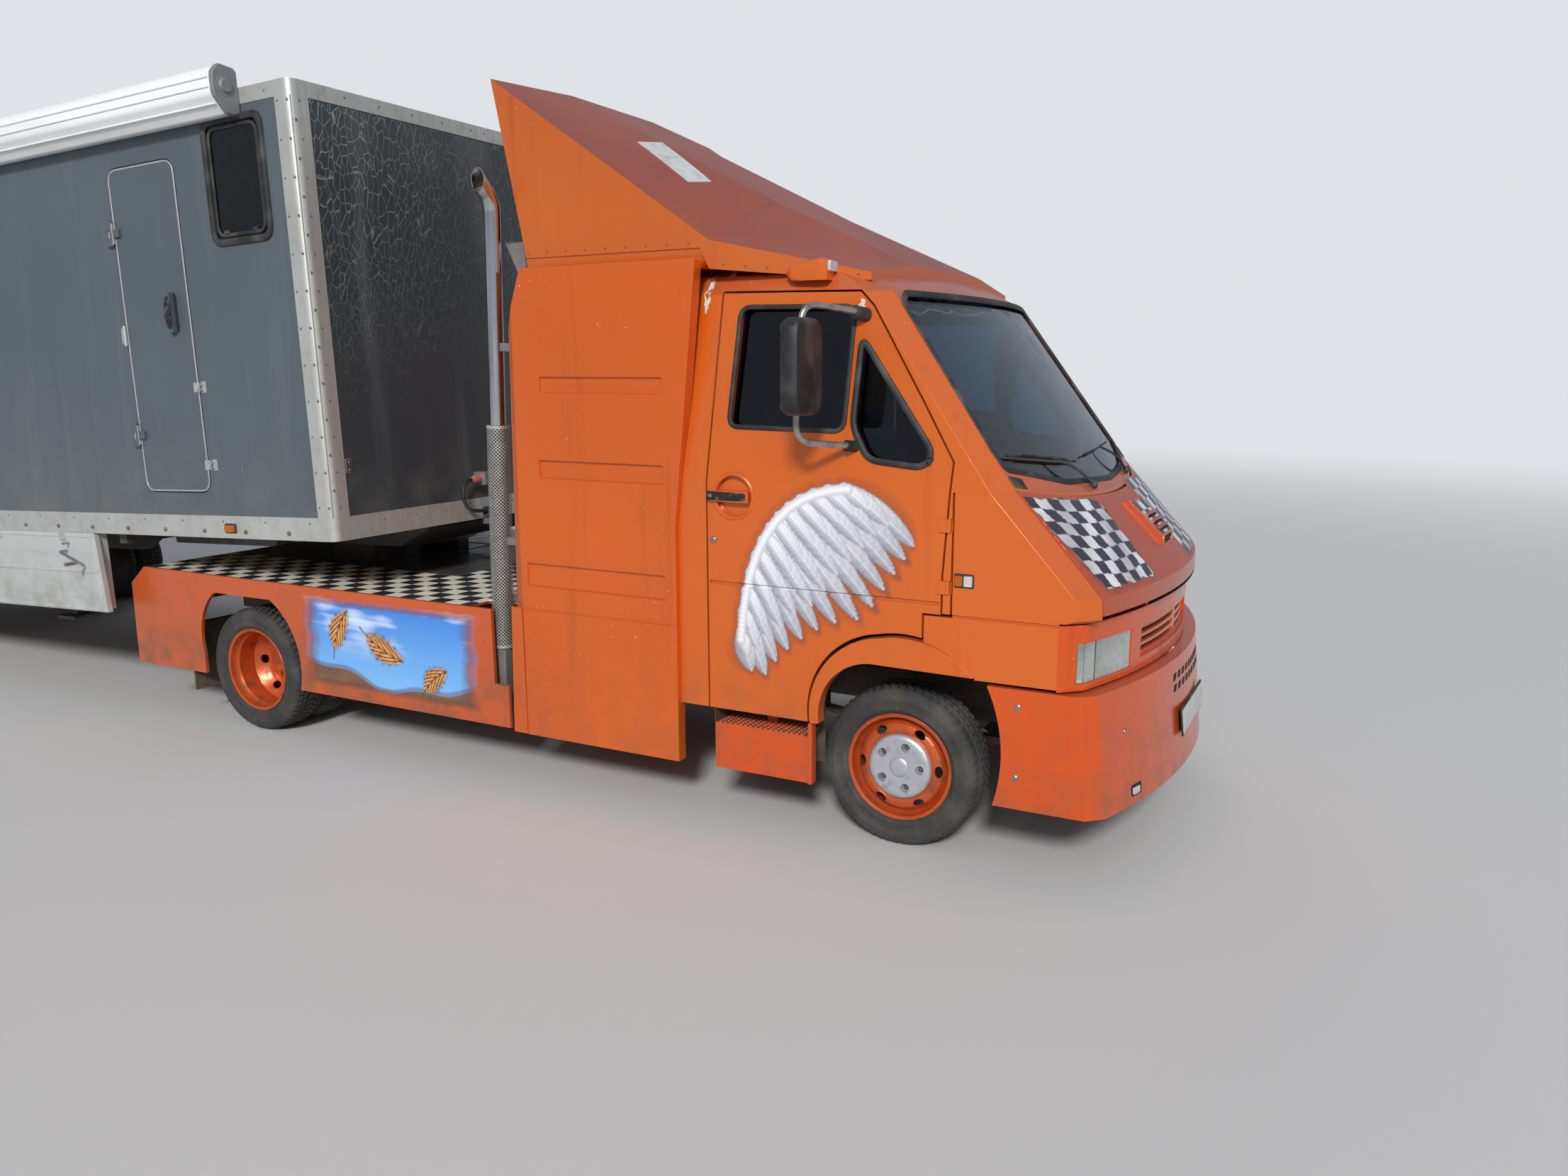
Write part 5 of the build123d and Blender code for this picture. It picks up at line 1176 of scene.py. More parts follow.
for side, mark in both_sides:
    sheet_points = xyz(art_x, side * on_door, art_z)
    painted_sheet(
        "airbrush_wing_" + mark, sheet_points, shape_colour, shape_cover, art_orange, "door_" + mark[0],
        side > 0,
    )

# Bonnet flags
# Two waving chequered flags, airbrushed in blue-black and white over the faded orange lid. Grey folds
# run across them, their edges are sprayed soft, and the scoop between them carries the same squares.


def off_surface(surface, y, z, out):
    """Points out metres off a front skin that is given as x = surface(y, z), along its normal."""
    step = 0.001
    x = surface(y, z)
    lean = (surface(y, z + step) - surface(y, z - step)) / (2 * step)
    bend = (surface(y + step, z) - surface(y - step, z)) / (2 * step)
    normal = xyz(1.0, -bend, -lean)
    normal = normal / np.linalg.norm(normal, axis=-1, keepdims=True)
    return xyz(x, y, z) + normal * np.asarray(out)[..., None]


def on_front(line, out):
    """A line or outline in y and z, laid out metres off the cab's front."""
    return off_surface(cab_front, line[:, 0], line[:, 1], out)


ink = tone(26, 28, 44)
chalk = tone(226, 223, 226)
shadow_brown = tone(66, 44, 46)


def chequer(s, t, across, down):
    """1 on the light squares and 0 on the dark ones."""
    return np.mod(np.floor(s * across) + np.floor(t * down), 2)


def flag_paint(s, t, turn):
    """Colour and cover of a flag whose squares wave: s runs across it from 0 to 1 and t down it."""
    s_wave = s + 0.022 * np.sin(2 * math.pi * (1.1 * t + turn)) + 0.010 * np.sin(2 * math.pi * 2.3 * t)
    t_wave = t + 0.024 * np.sin(2 * math.pi * (0.9 * s + turn + 0.2))
    light = chequer(s_wave, t_wave, 7.0, 7.0)
    fold = 0.80 + 0.20 * np.sin(2 * math.pi * (1.5 * s + 0.9 * t + turn))
    fine = 0.95 + 0.05 * np.sin(2 * math.pi * (6.0 * s - 3.0 * t))
    colour = mix(ink, chalk * (fold * fine)[..., None], light)
    ragged = 0.014 * np.sin(41 * s + 3) * np.sin(37 * t) + 0.010 * np.sin(17 * (s + t) + 5 * turn)
    edge = np.minimum(np.minimum(s, 1 - s), np.minimum(t, 1 - t)) + ragged
    flag = np.clip(edge / 0.014, 0, 1)
    spray = 0.55 * np.clip(1 + edge / 0.06, 0, 1) ** 1.5 * np.clip(t * 1.4, 0, 1)
    return blend(shadow_brown, colour, flag), np.maximum(flag, spray * (1 - flag))


bonnet_art = art_paint("bonnet_art", rgb(196, 88, 48), rgb(176, 80, 54), fade_start=0.1, coat=0.3)
share = np.linspace(-0.07, 1.07, 97)
s_grid, t_grid = np.meshgrid(share, share)
# Flags: name, then (y, z) of the corners: upper left, upper right, lower right, lower left
flag_table = [
    ("flag_right", (-0.925, 1.452), (-0.365, 1.394), (-0.452, 1.124), (-0.855, 1.126), 0.10),
    ("flag_left", (0.215, 1.432), (0.870, 1.385), (0.815, 1.136), (0.160, 1.118), 0.55),
]
for name, upper_left, upper_right, lower_right, lower_left, turn in flag_table:
    top = np.array(upper_left) + s_grid[..., None] * (np.array(upper_right) - upper_left)
    foot = np.array(lower_left) + s_grid[..., None] * (np.array(lower_right) - lower_left)
    place = top + t_grid[..., None] * (foot - top)
    y = np.clip(place[..., 0], -0.912, 0.912)
    z = np.clip(place[..., 1], 1.108, 1.462)
    colour, cover = flag_paint(s_grid, t_grid, turn)
    out = np.where(cover > 0.01, 0.0014, -0.0006)
    painted_sheet(
        name, off_surface(cab_front, y, z, out), colour, cover, bonnet_art, "bonnet_lid",
        False,
    )

# Bonnet scoop
# A riveted sheet-steel scoop. Three louvres are cut in the front of its top, and a rolled orange lip
# lines its mouth. The louvre slots and the mouth are thin near-black plates: painted shade in the openings.
scoop_top = np.array((0.700, 1.372))
scoop_brow = np.array((0.842, 1.236))
scoop_out = np.array((0.136, 0.142)) / math.hypot(0.136, 0.142)
y_grid, t_grid = np.meshgrid(np.linspace(-0.110, 0.110, 60), np.linspace(0.02, 0.99, 52))
spine = scoop_top + t_grid[..., None] * (scoop_brow - scoop_top) + 0.0012 * scoop_out
scoop_points = xyz(spine[..., 0], y_grid, spine[..., 1])
light = chequer((y_grid + 0.11) / 0.22 + 0.03 * np.sin(7 * t_grid), t_grid, 3.2, 2.9)
shade = 0.84 + 0.14 * np.sin(40 * y_grid + 5 * t_grid)
scoop_colour = mix(ink, chalk * shade[..., None], light)
scoop_cover = np.clip((0.110 - np.abs(y_grid)) / 0.006, 0, 1) * np.clip(t_grid / 0.10 - 0.6, 0, 1)
painted_sheet(
    "scoop_squares", scoop_points, scoop_colour, scoop_cover, bonnet_art, "bonnet_lid",
    False,
)


def thick(front, back):
    """A closed sheet between two grids of the same size: both faces and the rim round them."""
    rows, columns = front.shape[:2]
    count = rows * columns
    points = np.concatenate((front.reshape(-1, 3), back.reshape(-1, 3)))
    face = skin(front)[1]
    index = np.arange(count).reshape(rows, columns)
    rim = np.concatenate((index[0, :-1], index[:-1, -1], index[-1, :0:-1], index[:0:-1, 0]))
    after = np.roll(rim, -1)
    band = np.stack((rim, rim + count, after + count, after), axis=-1)
    return points, np.concatenate((face, face[:, ::-1] + count, band))


def four_sided(corners, rows=2, columns=2):
    """A grid of points between four corners: upper left, upper right, lower right, lower left."""
    upper_left, upper_right, lower_right, lower_left = np.asarray(corners, dtype=float)
    top = np.linspace(upper_left, upper_right, columns)
    foot = np.linspace(lower_left, lower_right, columns)
    return np.linspace(top, foot, rows)


# Near-black: painted shade in the scoop's louvres and mouth, the bonnet gap and the bumper slots; the black
# trim of the fog lamp bezels and the trailer door's cup.
black_hollow = mottled("black_hollow", rgb(12, 12, 13), rgb(30, 28, 27), 30.0, rough=0.85)
# Thin near-black plates in the louvre cuts: painted shade.
slots = []
hoods = []
for t in (0.52, 0.70, 0.88):
    mouth = scoop_top + (t + 0.045) * (scoop_brow - scoop_top) + 0.0015 * scoop_out
    brow = scoop_top + (t - 0.045) * (scoop_brow - scoop_top) + 0.0015 * scoop_out
    corners = [(x, y, z) for (x, z), y in ((brow, -0.086), (brow, 0.086), (mouth, 0.086), (mouth, -0.086))]
    flat = four_sided(corners)
    slots.append(thick(flat + (0.001 * scoop_out[0], 0, 0.001 * scoop_out[1]), flat - (0.002, 0, 0.002)))
    width = np.linspace(-0.092, 0.092, 24)
    lift = 0.006 * np.clip((0.092 - np.abs(width)) / 0.03, 0, 1)
    hood = xyz(brow[0] + lift * 0.7, width, brow[1] + lift * 0.7)
    hoods.append(bar(hood, 0.009, (0, 0, 1), flat=0.75))
piece("scoop_louvre_slots", slots, black_hollow, "bonnet_lid", "bonnet_paint")
piece("scoop_louvre_hoods", hoods, bonnet_orange, "bonnet_lid", "bonnet_paint")
# A near-black plate just inside the scoop's mouth: painted shade.
mouth_line = faced(oblong(0.098, 0.023, 0.020), (0.8425, 0, 1.209), (1, 0, 0))
piece(
    "scoop_mouth", [slab(mouth_line - (0.0035, 0, 0), (1, 0, 0), 0.004)], black_hollow, "bonnet_lid",
    "bonnet_paint",
)
scoop_lip = bar(filled_in(mouth_line), 0.0065, (1, 0, 0), closed=True)
piece("scoop_lip", [scoop_lip], cab_orange, "bonnet_lid", "bonnet_paint")

# Cowl louvres, gaps and fillers
# A moulded black air grille sits at each end of the cowl under the windscreen, and an open gap lies
# below the bonnet's edge, drawn as a thin near-black strip of painted shade. Knocks in the paint have
# been stopped with white filler.


def front_slab(outline, thickness, surface=cab_front):
    """A rounded plate that follows a front skin; its outline is given in y and z."""
    outline = np.asarray(outline, dtype=float)
    points = off_surface(surface, outline[:, 0], outline[:, 1], 0.0)
    heart = outline.mean(axis=0)
    probe = off_surface(surface, heart[:1], heart[1:], np.array([0.0, 1.0]))
    return slab(points, probe[1] - probe[0], thickness)


grille_black = grained_plastic("grille_black", rgb(26, 26, 27), 0.55, grain=0.0002, dust=0.5)
base = np.array([(-0.918, 1.484), (-0.845, 1.470), (-0.842, 1.506), (-0.915, 1.524)])
shells = [front_slab(rounded(base, 0.006), 0.003)]
for t in np.linspace(0.12, 0.88, 6):
    low = base[0] + t * (base[3] - base[0])
    end = base[1] + t * (base[2] - base[1])
    line = low + np.linspace(0.06, 0.94, 8)[:, None] * (end - low)
    shells.append(bar(on_front(line, 0.0035), 0.0022, (1, 0, 0.7), sides=6))
pairs(("cowl_louvre_", shells, grille_black, "truck", "cabin_plastic"))

# A thin near-black strip under the bonnet's edge: painted shade of the gap.
gap_y = np.linspace(-0.44, 0.44, 40)
gap_front = np.stack([off_surface(cab_front, gap_y, z, np.full(40, 0.0012)) for z in (1.028, 1.012)])
gap_back = gap_front - (0.004, 0, 0)
piece("bonnet_gap", [thick(gap_front, gap_back)], black_hollow, "truck", "cab_paint")

filler_white, tree, shader = new_finish("filler_white", rough=0.85)
crumbs = cloud(tree, 160.0, 4.0)
laid(shader, tint(tree, crumbs, rgb(176, 168, 152), rgb(222, 216, 204)), height=crumbs, depth=0.002)


def blot(x, z, wide, high, seed, thickness=0.0025):
    """A ragged flat lump on the right side of the cab."""
    angle = np.linspace(0, 2 * math.pi, 40, endpoint=False)
    reach = 1 + 0.22 * np.sin(3 * angle + seed) + 0.14 * np.sin(7 * angle + 2 * seed)
    reach = reach + 0.08 * np.sin(11 * angle)
    flat_x = x + wide * reach * np.cos(angle)
    flat_z = z + high * reach * np.sin(angle)
    outline = xyz(flat_x, -cab_side(flat_z) - 0.0005, flat_z)
    return slab(outline, (0, -1, 0.1), thickness)


lumps = [
    blot(-0.826, 2.170, 0.013, 0.042, 1.0), blot(-0.822, 2.236, 0.010, 0.030, 2.5),
    blot(-0.150, 2.128, 0.016, 0.028, 4.0),
]
piece("paint_filler", lumps, filler_white, "truck", "cab_paint")

# Headlamps
# Oblong lamps: a bright pressed bowl behind a fluted clear glass, and a ribbed indicator glass at the
# outer end of each. They are clipped into the front panel.
clear_glass, tree, shader = new_finish("clear_glass", rough=0.06)
shader.inputs["Transmission Weight"].default_value = 1.0
film = times(tree, between(tree, cloud(tree, 40.0, 4.0), 0.4, 0.8), 0.35)
laid(
    shader, tint(tree, film, rgb(236, 240, 238), rgb(176, 170, 158)),
    rough=number(tree, film, 0.05, 0.35),
)
bright_bowl = mottled(
    "bright_bowl", rgb(244, 245, 244), rgb(214, 214, 212), 25.0, metal=0.35, rough=0.25,
)
lamp_in = 0.602
lamp_split = 0.862
lamp_out = 0.950
lamp_low = 0.794
lamp_middle = 0.866
lamp_high = 0.938
flute_pitch = 0.0116
rib_pitch = 0.0120
for side, mark in both_sides:
    y, z = np.meshgrid(side * np.linspace(lamp_in, lamp_out, 175), np.linspace(lamp_low, lamp_high, 73))
    flutes = 0.0011 * np.abs(np.sin(math.pi * (np.abs(y) - lamp_in) / flute_pitch))
    ribs = 0.0014 * np.abs(np.sin(math.pi * (z - lamp_low) / rib_pitch))
    relief = np.where(np.abs(y) < lamp_split, flutes, ribs) - 0.004
    relief = np.where(np.abs(np.abs(y) - lamp_split) < 0.003, -0.001, relief)
    lens = off_surface(cab_front, y, z, relief)
    inner = off_surface(cab_front, y, z, -0.0075)
    piece(
        "headlamp_glass_" + mark, [thick(lens, inner)], clear_glass, "truck", "lamp_glass",
        ("headlamps",) if side < 0 else (),
    )
    y, z = np.meshgrid(side * np.linspace(lamp_in, lamp_out, 60), np.linspace(lamp_low, lamp_high, 30))
    split = np.abs(y) - lamp_split
    across = np.where(split < 0, (np.abs(y) - 0.732) / 0.130, (np.abs(y) - 0.906) / 0.044)
    down = (z - lamp_middle) / 0.072
    round_off = (1 - np.clip(np.abs(across), 0, 1) ** 3) * (1 - np.abs(down) ** 3)
    depth = np.where(split < 0, 0.052, 0.022) * round_off
    bowl = off_surface(cab_front, y, z, -0.010 - depth)
    piece("headlamp_bowl_" + mark, [thick(bowl, bowl - (0.002, 0, 0))], bright_bowl, "truck", "lamp_glass")
    bulb = turned([(0.0, -0.012), (0.008, -0.009), (0.012, 0.0), (0.010, 0.009), (0.0, 0.014)], 20)
    seat = off_surface(cab_front, np.array([side * 0.735]), np.array([lamp_middle]), -0.040)[0]
    piece(
        "headlamp_bulb_" + mark, [(bulb[0][:, [1, 0, 2]] + seat, bulb[1])], bright_bowl, "truck",
        "lamp_glass",
    )

# Side repeaters
# A small oblong indicator is screwed to each wing in a black bezel. Its moulded lens is clear in front
# and amber behind.
amber = (rgb(226, 122, 28), rgb(190, 92, 18))
amber_glass = mottled("amber_glass", *amber, 60.0, 2.0, rough=0.12, clear=0.4)
pearl = (rgb(226, 226, 222), rgb(196, 196, 192))
pearl_glass = mottled("pearl_glass", *pearl, 60.0, 2.0, rough=0.12, clear=0.25)
bezel = plate((0.300, -1.0, 1.141), 0.038, 0.026, 0.006, 0.006, outwards)
rear = plate((0.281, -1.005, 1.141), 0.015, 0.020, 0.004, 0.008, outwards)
fore = plate((0.317, -1.005, 1.141), 0.016, 0.020, 0.004, 0.008, outwards)
pairs(
    ("repeater_bezel_", [bezel], seal_rubber, "truck", "flap_rubber"),
    ("repeater_amber_", [rear], amber_glass, "truck", "lamp_glass"),
    ("repeater_clear_", [fore], pearl_glass, "truck", "lamp_glass"),
)

# Bumper fittings
# The steel bumper carries two rows of slanting air slots, bolts, a fog lamp at each end and a wire loop.
# The slots are thin near-black plates on the skin: painted shade in the openings.
# A blank registration plate sits in a black frame at its middle.
bumper_rings = np.array([(0.300, 0.838, 1.000), (0.757, 0.790, 0.955)])


def bumper_front(y, z):
    """How far forward the bumper's skin lies at each height."""
    corner = np.interp(z, bumper_rings[:, 0], bumper_rings[:, 1])
    middle = np.interp(z, bumper_rings[:, 0], bumper_rings[:, 2])
    return bowed(y, corner, middle, 0.940, 0.055 / 0.060)


def forward(shell, place):
    """A shell made about the Y axis, turned so that what faced right looks forward."""
    return shell[0][:, [1, 0, 2]] * (-1, 1, 1) + place, shell[1]


# Thin near-black plates on the bumper's skin: painted shade in the air slots.
slot_shells = []
for row_z in (0.685, 0.640):
    for y in np.linspace(-0.27, 0.27, 9):
        low = row_z - 0.014
        high = row_z + 0.014
        corners = [(y - 0.024, low), (y + 0.012, low), (y + 0.0276, high), (y - 0.012, high)]
        slot_shells.append(front_slab(rounded(corners, 0.004), 0.0012, bumper_front))
piece("bumper_slots", slot_shells, black_hollow, "truck", "cab_paint")
plate_white = mottled(
    "plate_white", rgb(196, 197, 194), rgb(128, 122, 112), 18.0, 5.0, span=(0.45, 0.8), share=0.5,
    rough=0.4,
)
front_outline = faced(oblong(0.262, 0.058, 0.010), (0.9835, 0, 0.495), (1, 0, 0))
front_outline[:, 0] -= (front_outline[:, 2] - 0.495) * 0.0985
piece("plate_frame", [slab(front_outline, (1, 0, 0.1), 0.007)], grille_black, "truck", "mirror_plastic")
heart = front_outline.mean(axis=0)
inner_plate = (front_outline - heart) * (1, 0.965, 0.86) + heart
piece(
    "blank_plate", [slab(inner_plate + (0.0065, 0, 0), (1, 0, 0.1), 0.002)], plate_white, "truck",
    "coupling_steel",
)
bolt = turned([(0.0, -0.006), (0.007, -0.0055), (0.010, -0.002), (0.0125, -0.001), (0.013, 0.001)], 16)
bolts = [moved(bolt, (0.516, -1.0, z)) for z in (0.690, 0.420)]
bolts += [mirrored(shell) for shell in bolts]
for y in (-0.777, 0.777):
    seat = off_surface(bumper_front, np.array([y]), np.array([0.589]), 0.0)[0]
    bolts.append(forward(bolt, seat))
piece("bumper_bolts", bolts, bright_steel, "truck", "coupling_steel")
angle = np.linspace(0, 2 * math.pi, 30, endpoint=False)
loop_line = xyz(
    0.915 + 0.018 * np.sin(angle), -0.215 + 0.016 * np.cos(angle), 0.778 + 0.024 * np.sin(angle),
)
piece(
    "bumper_wire_loop", [bar(loop_line, 0.003, (1, 0, 0), closed=True, sides=8)], bright_steel, "truck",
    "coupling_steel",
)
for side, mark in both_sides:
    flat = oblong(0.040, 0.022, 0.008) * (side, 1) + (side * 0.715, 0.352)
    piece(
        "fog_lamp_bezel_" + mark, [front_slab(flat, 0.003, bumper_front)], black_hollow, "truck",
        "mirror_plastic",
    )
    glass_flat = oblong(0.026, 0.013, 0.005) * (side, 1) + (side * 0.720, 0.350)
    piece(
        "fog_lamp_glass_" + mark, [front_slab(glass_flat, 0.007, bumper_front)], pearl_glass, "truck",
        "lamp_glass",
    )

# Roof marker lamps
# On each side of the roof a pressed steel housing, screwed down and sprayed with the cab, slopes down
# behind a clear moulded lens.


def capped(rings):
    """A tube of rings closed at both ends by fans to the middles of its first and last rings."""
    first = np.broadcast_to(rings[:1].mean(axis=1, keepdims=True), rings[:1].shape)
    last = np.broadcast_to(rings[-1:].mean(axis=1, keepdims=True), rings[-1:].shape)
    return skin(np.concatenate((first, rings, last)), close_columns=True)


for side, mark in both_sides:
    along = np.linspace(0, 1, 22)[:, None]
    turn = np.linspace(0, 2 * math.pi, 32, endpoint=False)[None, :]
    high = np.interp(along, [0, 0.12, 0.8, 1.0], [0.006, 0.030, 0.054, 0.048])
    wide = np.interp(along, [0, 0.15, 0.8, 1.0], [0.024, 0.040, 0.046, 0.042])
    round_y, round_z = squarish(turn, 0.45)
    rings = xyz(
        -0.470 + 0.180 * along, side * 0.905 + round_y * wide,
        2.262 + np.maximum(round_z * high, -0.030),
    )
    piece("roof_marker_" + mark, [capped(rings)], cab_orange, "truck", "cab_paint")
    lens = plate((-0.2915, side * 0.905, 2.284), 0.033, 0.020, 0.010, 0.012, (1, 0, 0))
    piece("roof_marker_lens_" + mark, [lens], pearl_glass, "truck", "lamp_glass")

# Windscreen seal and wipers
# A thick black rubber seal holds the glass all round. Two black pressed arms on the cowl carry the
# wiper blades, parked low on the glass.
screen_outline = [
    (-0.905, 1.600), (-0.900, 1.545), (-0.500, 1.470), (0.0, 1.448), (0.500, 1.470), (0.900, 1.545),
    (0.905, 1.600), (0.835, 2.150), (0.780, 2.186), (-0.780, 2.186), (-0.835, 2.150),
]
screen_flat = filled_in(rounded(screen_outline, 0.02, 5))
screen_line = on_front(screen_flat, -0.001)
piece(
    "windscreen_seal", [bar(screen_line, 0.015, (1, 0, 0.6), closed=True, flat=0.45)], seal_rubber,
    "truck", "flap_rubber",
)
for name, pivot, elbow, low, high in (
    ("wiper_right", (-0.300, 1.440), (-0.540, 1.560), (-0.845, 1.590), (-0.300, 1.535)),
    ("wiper_left", (0.380, 1.446), (0.150, 1.560), (-0.150, 1.552), (0.420, 1.572)),
):
    lift = 0.012 + 0.018 * np.sin(math.pi * np.linspace(0, 1, 14))
    arm_line = on_front(np.linspace(pivot, elbow, 14), lift)
    arm = bar(arm_line, np.linspace(0.011, 0.006, 14), (1, 0, 0.6), flat=0.5)
    line = np.linspace(low, high, 30)
    blade = bar(on_front(line, 0.003), 0.0045, (1, 0, 0.6), flat=1.2, sides=8)
    spine = bar(on_front(line[5:25], 0.013), 0.0038, (1, 0, 0.6), sides=8)
    boss = on_front(np.array([pivot]), 0.010)[0]
    knob = turned([(0.0, -0.016), (0.013, -0.014), (0.017, -0.006), (0.018, 0.010)], 20)
    cap = forward(knob, boss)
    piece(name, [arm, blade, spine, cap], grille_black, "truck", "mirror_plastic")

# Door mirrors
# A moulded black head with a raised rib sits on a bent tube of bare steel. The tube is clamped to two
# black brackets on the door, and the head holds a tall glass that faces back.
mirror_black = grained_plastic("mirror_black", rgb(24, 24, 25), 0.5, grain=0.0005, dust=0.4)
mirror_silver = mottled(
    "mirror_silver", rgb(206, 210, 214), rgb(186, 190, 192), 8.0, metal=1.0, rough=0.05,
)
tube_steel = mottled(
    "tube_steel", rgb(176, 172, 168), rgb(110, 98, 88), 22.0, 4.0, span=(0.45, 0.75), share=0.6,
    metal=0.85, rough=0.32,
)


def bent(corners, radius):
    """A path through corners, each turned by a quadratic curve that starts a radius before it."""
    corners = np.asarray(corners, dtype=float)
    middle = corners[1:-1]
    before = corners[:-2] - middle
    after = corners[2:] - middle
    start = middle + radius * before / np.linalg.norm(before, axis=1, keepdims=True)
    end = middle + radius * after / np.linalg.norm(after, axis=1, keepdims=True)
    t = np.linspace(0, 1, 9)[None, :, None]
    curve = swept(t, start[:, None], middle[:, None], end[:, None])
    return np.concatenate((corners[:1], curve.reshape(-1, 3), corners[-1:]))


tube_path = bent(
    [
        (-0.125, -0.935, 2.105), (-0.265, -1.205, 2.135), (-0.290, -1.205, 1.640),
        (-0.150, -0.992, 1.618),
    ],
    0.075,
)
tube_shell = bar(tube_path, 0.0125, (0.3, 0, 0.1), sides=16)
along = np.array([-0.0375, -0.034, -0.026, 0.018, 0.031, 0.0365, 0.0375])[:, None]
half_wide = np.array([0.098, 0.104, 0.109, 0.110, 0.102, 0.085, 0.060])[:, None]
half_high = np.array([0.160, 0.167, 0.172, 0.172, 0.165, 0.148, 0.120])[:, None]
turn = np.linspace(0, 2 * math.pi, 48, endpoint=False)[None, :]
head_y, head_z = squarish(turn, 0.36)
mirror_y = -1.235
mirror_z = 1.910
head_rings = xyz(along - 0.2475, head_y * half_wide + mirror_y, head_z * half_high + mirror_z)
glass_shell = plate((-0.2852, mirror_y, mirror_z), 0.092, 0.154, 0.020, 0.0015, (-1, 0, 0))
rib_line = filled_in(faced(oblong(0.075, 0.150, 0.03), (-0.2155, mirror_y, mirror_z), (1, 0, 0)))
rib = bar(rib_line, 0.0045, (1, 0, 0), closed=True, sides=8)
fittings = [
    bar(ends, radius, (0, 0, 1), sides=sides)
    for ends, radius, sides in (
        ([(-0.272, -1.205, 1.865), (-0.262, -1.225, 1.865)], 0.020, 12),
        ([(-0.272, -1.205, 1.985), (-0.262, -1.225, 1.985)], 0.020, 12),
        ([(-0.130, -0.930, 2.100), (-0.160, -0.985, 2.110)], 0.026, 14),
        ([(-0.148, -0.980, 1.616), (-0.170, -1.020, 1.620)], 0.022, 14),
    )
]
head = [capped(head_rings), rib] + fittings
pairs(
    ("mirror_head_", head, mirror_black, "door_", "mirror_plastic", "mirror_"),
    ("mirror_tube_", [tube_shell], tube_steel, "door_", "coupling_steel"),
    ("mirror_glass_", [glass_shell], mirror_silver, "door_", "mirror_plastic"),
)

# Load deck
# Steel plates welded over the chassis behind the cab. A chequer of cream and blue-black squares is
# painted along both sides and behind the sleeper, and the plates in the middle are dark and greasy.
square = 0.095
chequer_x = -2.66
chequer_y = 0.475
deck_paint, tree, shader = new_finish("deck_paint", rough=0.45)
shader.inputs["Coat Weight"].default_value = 0.2
place = node(tree, "SeparateXYZ", {0: place_of(tree)})
flat_place = node(tree, "CombineXYZ", {0: place.outputs["X"], 1: place.outputs["Y"], 2: 0.02})
squares = node(tree, "TexChecker", {0: flat_place.outputs[0], "Scale": 1 / square}).outputs["Fac"]
scuffed = between(tree, cloud(tree, 14.0, 6.0), 0.42, 0.8)
cream = tint(tree, times(tree, scuffed, 0.40), rgb(240, 234, 214), rgb(138, 130, 114))
blue_black = tint(tree, times(tree, scuffed, 0.5), rgb(30, 32, 42), rgb(84, 80, 76))
painted = tint(tree, squares, blue_black, cream)
plate_steel = tint(tree, cloud(tree, 6.0, 6.0), rgb(40, 42, 46), rgb(84, 82, 80))
away = maths(tree, "ABSOLUTE", place.outputs["Y"])
is_side = maths(tree, "GREATER_THAN", away, chequer_y)
is_front = maths(tree, "GREATER_THAN", place.outputs["X"], axle_x + chequer_x)
chequered = maths(tree, "MAXIMUM", is_side, is_front)
on_top = between(tree, height_of(tree), 0.822, 0.826)
topped = tint(tree, chequered, plate_steel, painted)
laid(
    shader, tint(tree, on_top, rgb(150, 76, 40), topped), rough=number(tree, scuffed, 0.35, 0.7),
    height=cloud(tree, 30.0, 4.0), depth=0.0015,
)
dress(["deck"], deck_paint, edge=0.003)

seam_z = 0.8305
seam_lines = [[(x, -0.47, seam_z), (x, 0.47, seam_z)] for x in (chequer_x, -3.25, -3.84)]
seam_lines += [[(chequer_x, y, seam_z), (-4.38, y, seam_z)] for y in (-chequer_y, chequer_y)]
seams = [bar(line, 0.004, (0, 0, 1), flat=0.5, sides=8) for line in seam_lines]
weld_steel = old_steel("weld_steel", rgb(70, 70, 72), 0.5, dust=0.6, rust=0.4)
piece("deck_seams", seams, weld_steel, "truck", "deck_panel")

# Airbrushed skirt panels
# On each deck skirt a soft-edged picture, lacquered over the orange: blue sky with clouds, brown hills
# and three striped autumn leaves that drift by. It is this model's own design.
skirt_y = 1.050
panel_x = np.linspace(-3.17, -1.99, 206)
panel_z = np.linspace(0.315, 0.812, 88)
art_x, art_z = np.meshgrid(panel_x, panel_z)
across = (art_x + 2.58) / 0.53
up = (art_z - 0.562) / 0.205


def billow(x, z, seed):
    """Soft waves of four sizes added up, for clouds and earth."""
    total = 0 * x
    for order, size in enumerate((7.0, 13.0, 27.0, 51.0)):
        turn = 1.3 * order + seed
        wave = size * 1.4 * (x * np.cos(turn) + z * np.sin(turn)) + 5 * seed + np.sin(size * z)
        total = total + np.sin(wave) / (1 + order)
    return total / 2.1


picture = mix(tone(52, 128, 214), tone(120, 184, 236), np.clip(0.5 - 0.5 * up, 0, 1))
clouds = np.clip((billow(art_x * 0.8, art_z * 2.2, 0.7) - 0.05) * 1.8, 0, 1) * np.clip(0.4 + up, 0, 1)
picture = blend(picture, tone(222, 234, 246), 0.75 * clouds)
hill = 0.400 + 0.030 * np.sin(6.0 * art_x + 1.0) + 0.016 * np.sin(15.0 * art_x)
hill = hill + 0.05 * np.clip(-across - 0.2, 0, 1)
soil = tone(120, 84, 58) * (0.8 + 0.35 * billow(art_x * 2, art_z * 5, 2.0))[..., None]
picture = blend(picture, soil, np.clip((hill - art_z) / 0.018, 0, 1))
picture = blend(picture, tone(70, 44, 34), 0.6 * np.clip(1 - np.abs(art_z - hill) / 0.012, 0, 1))
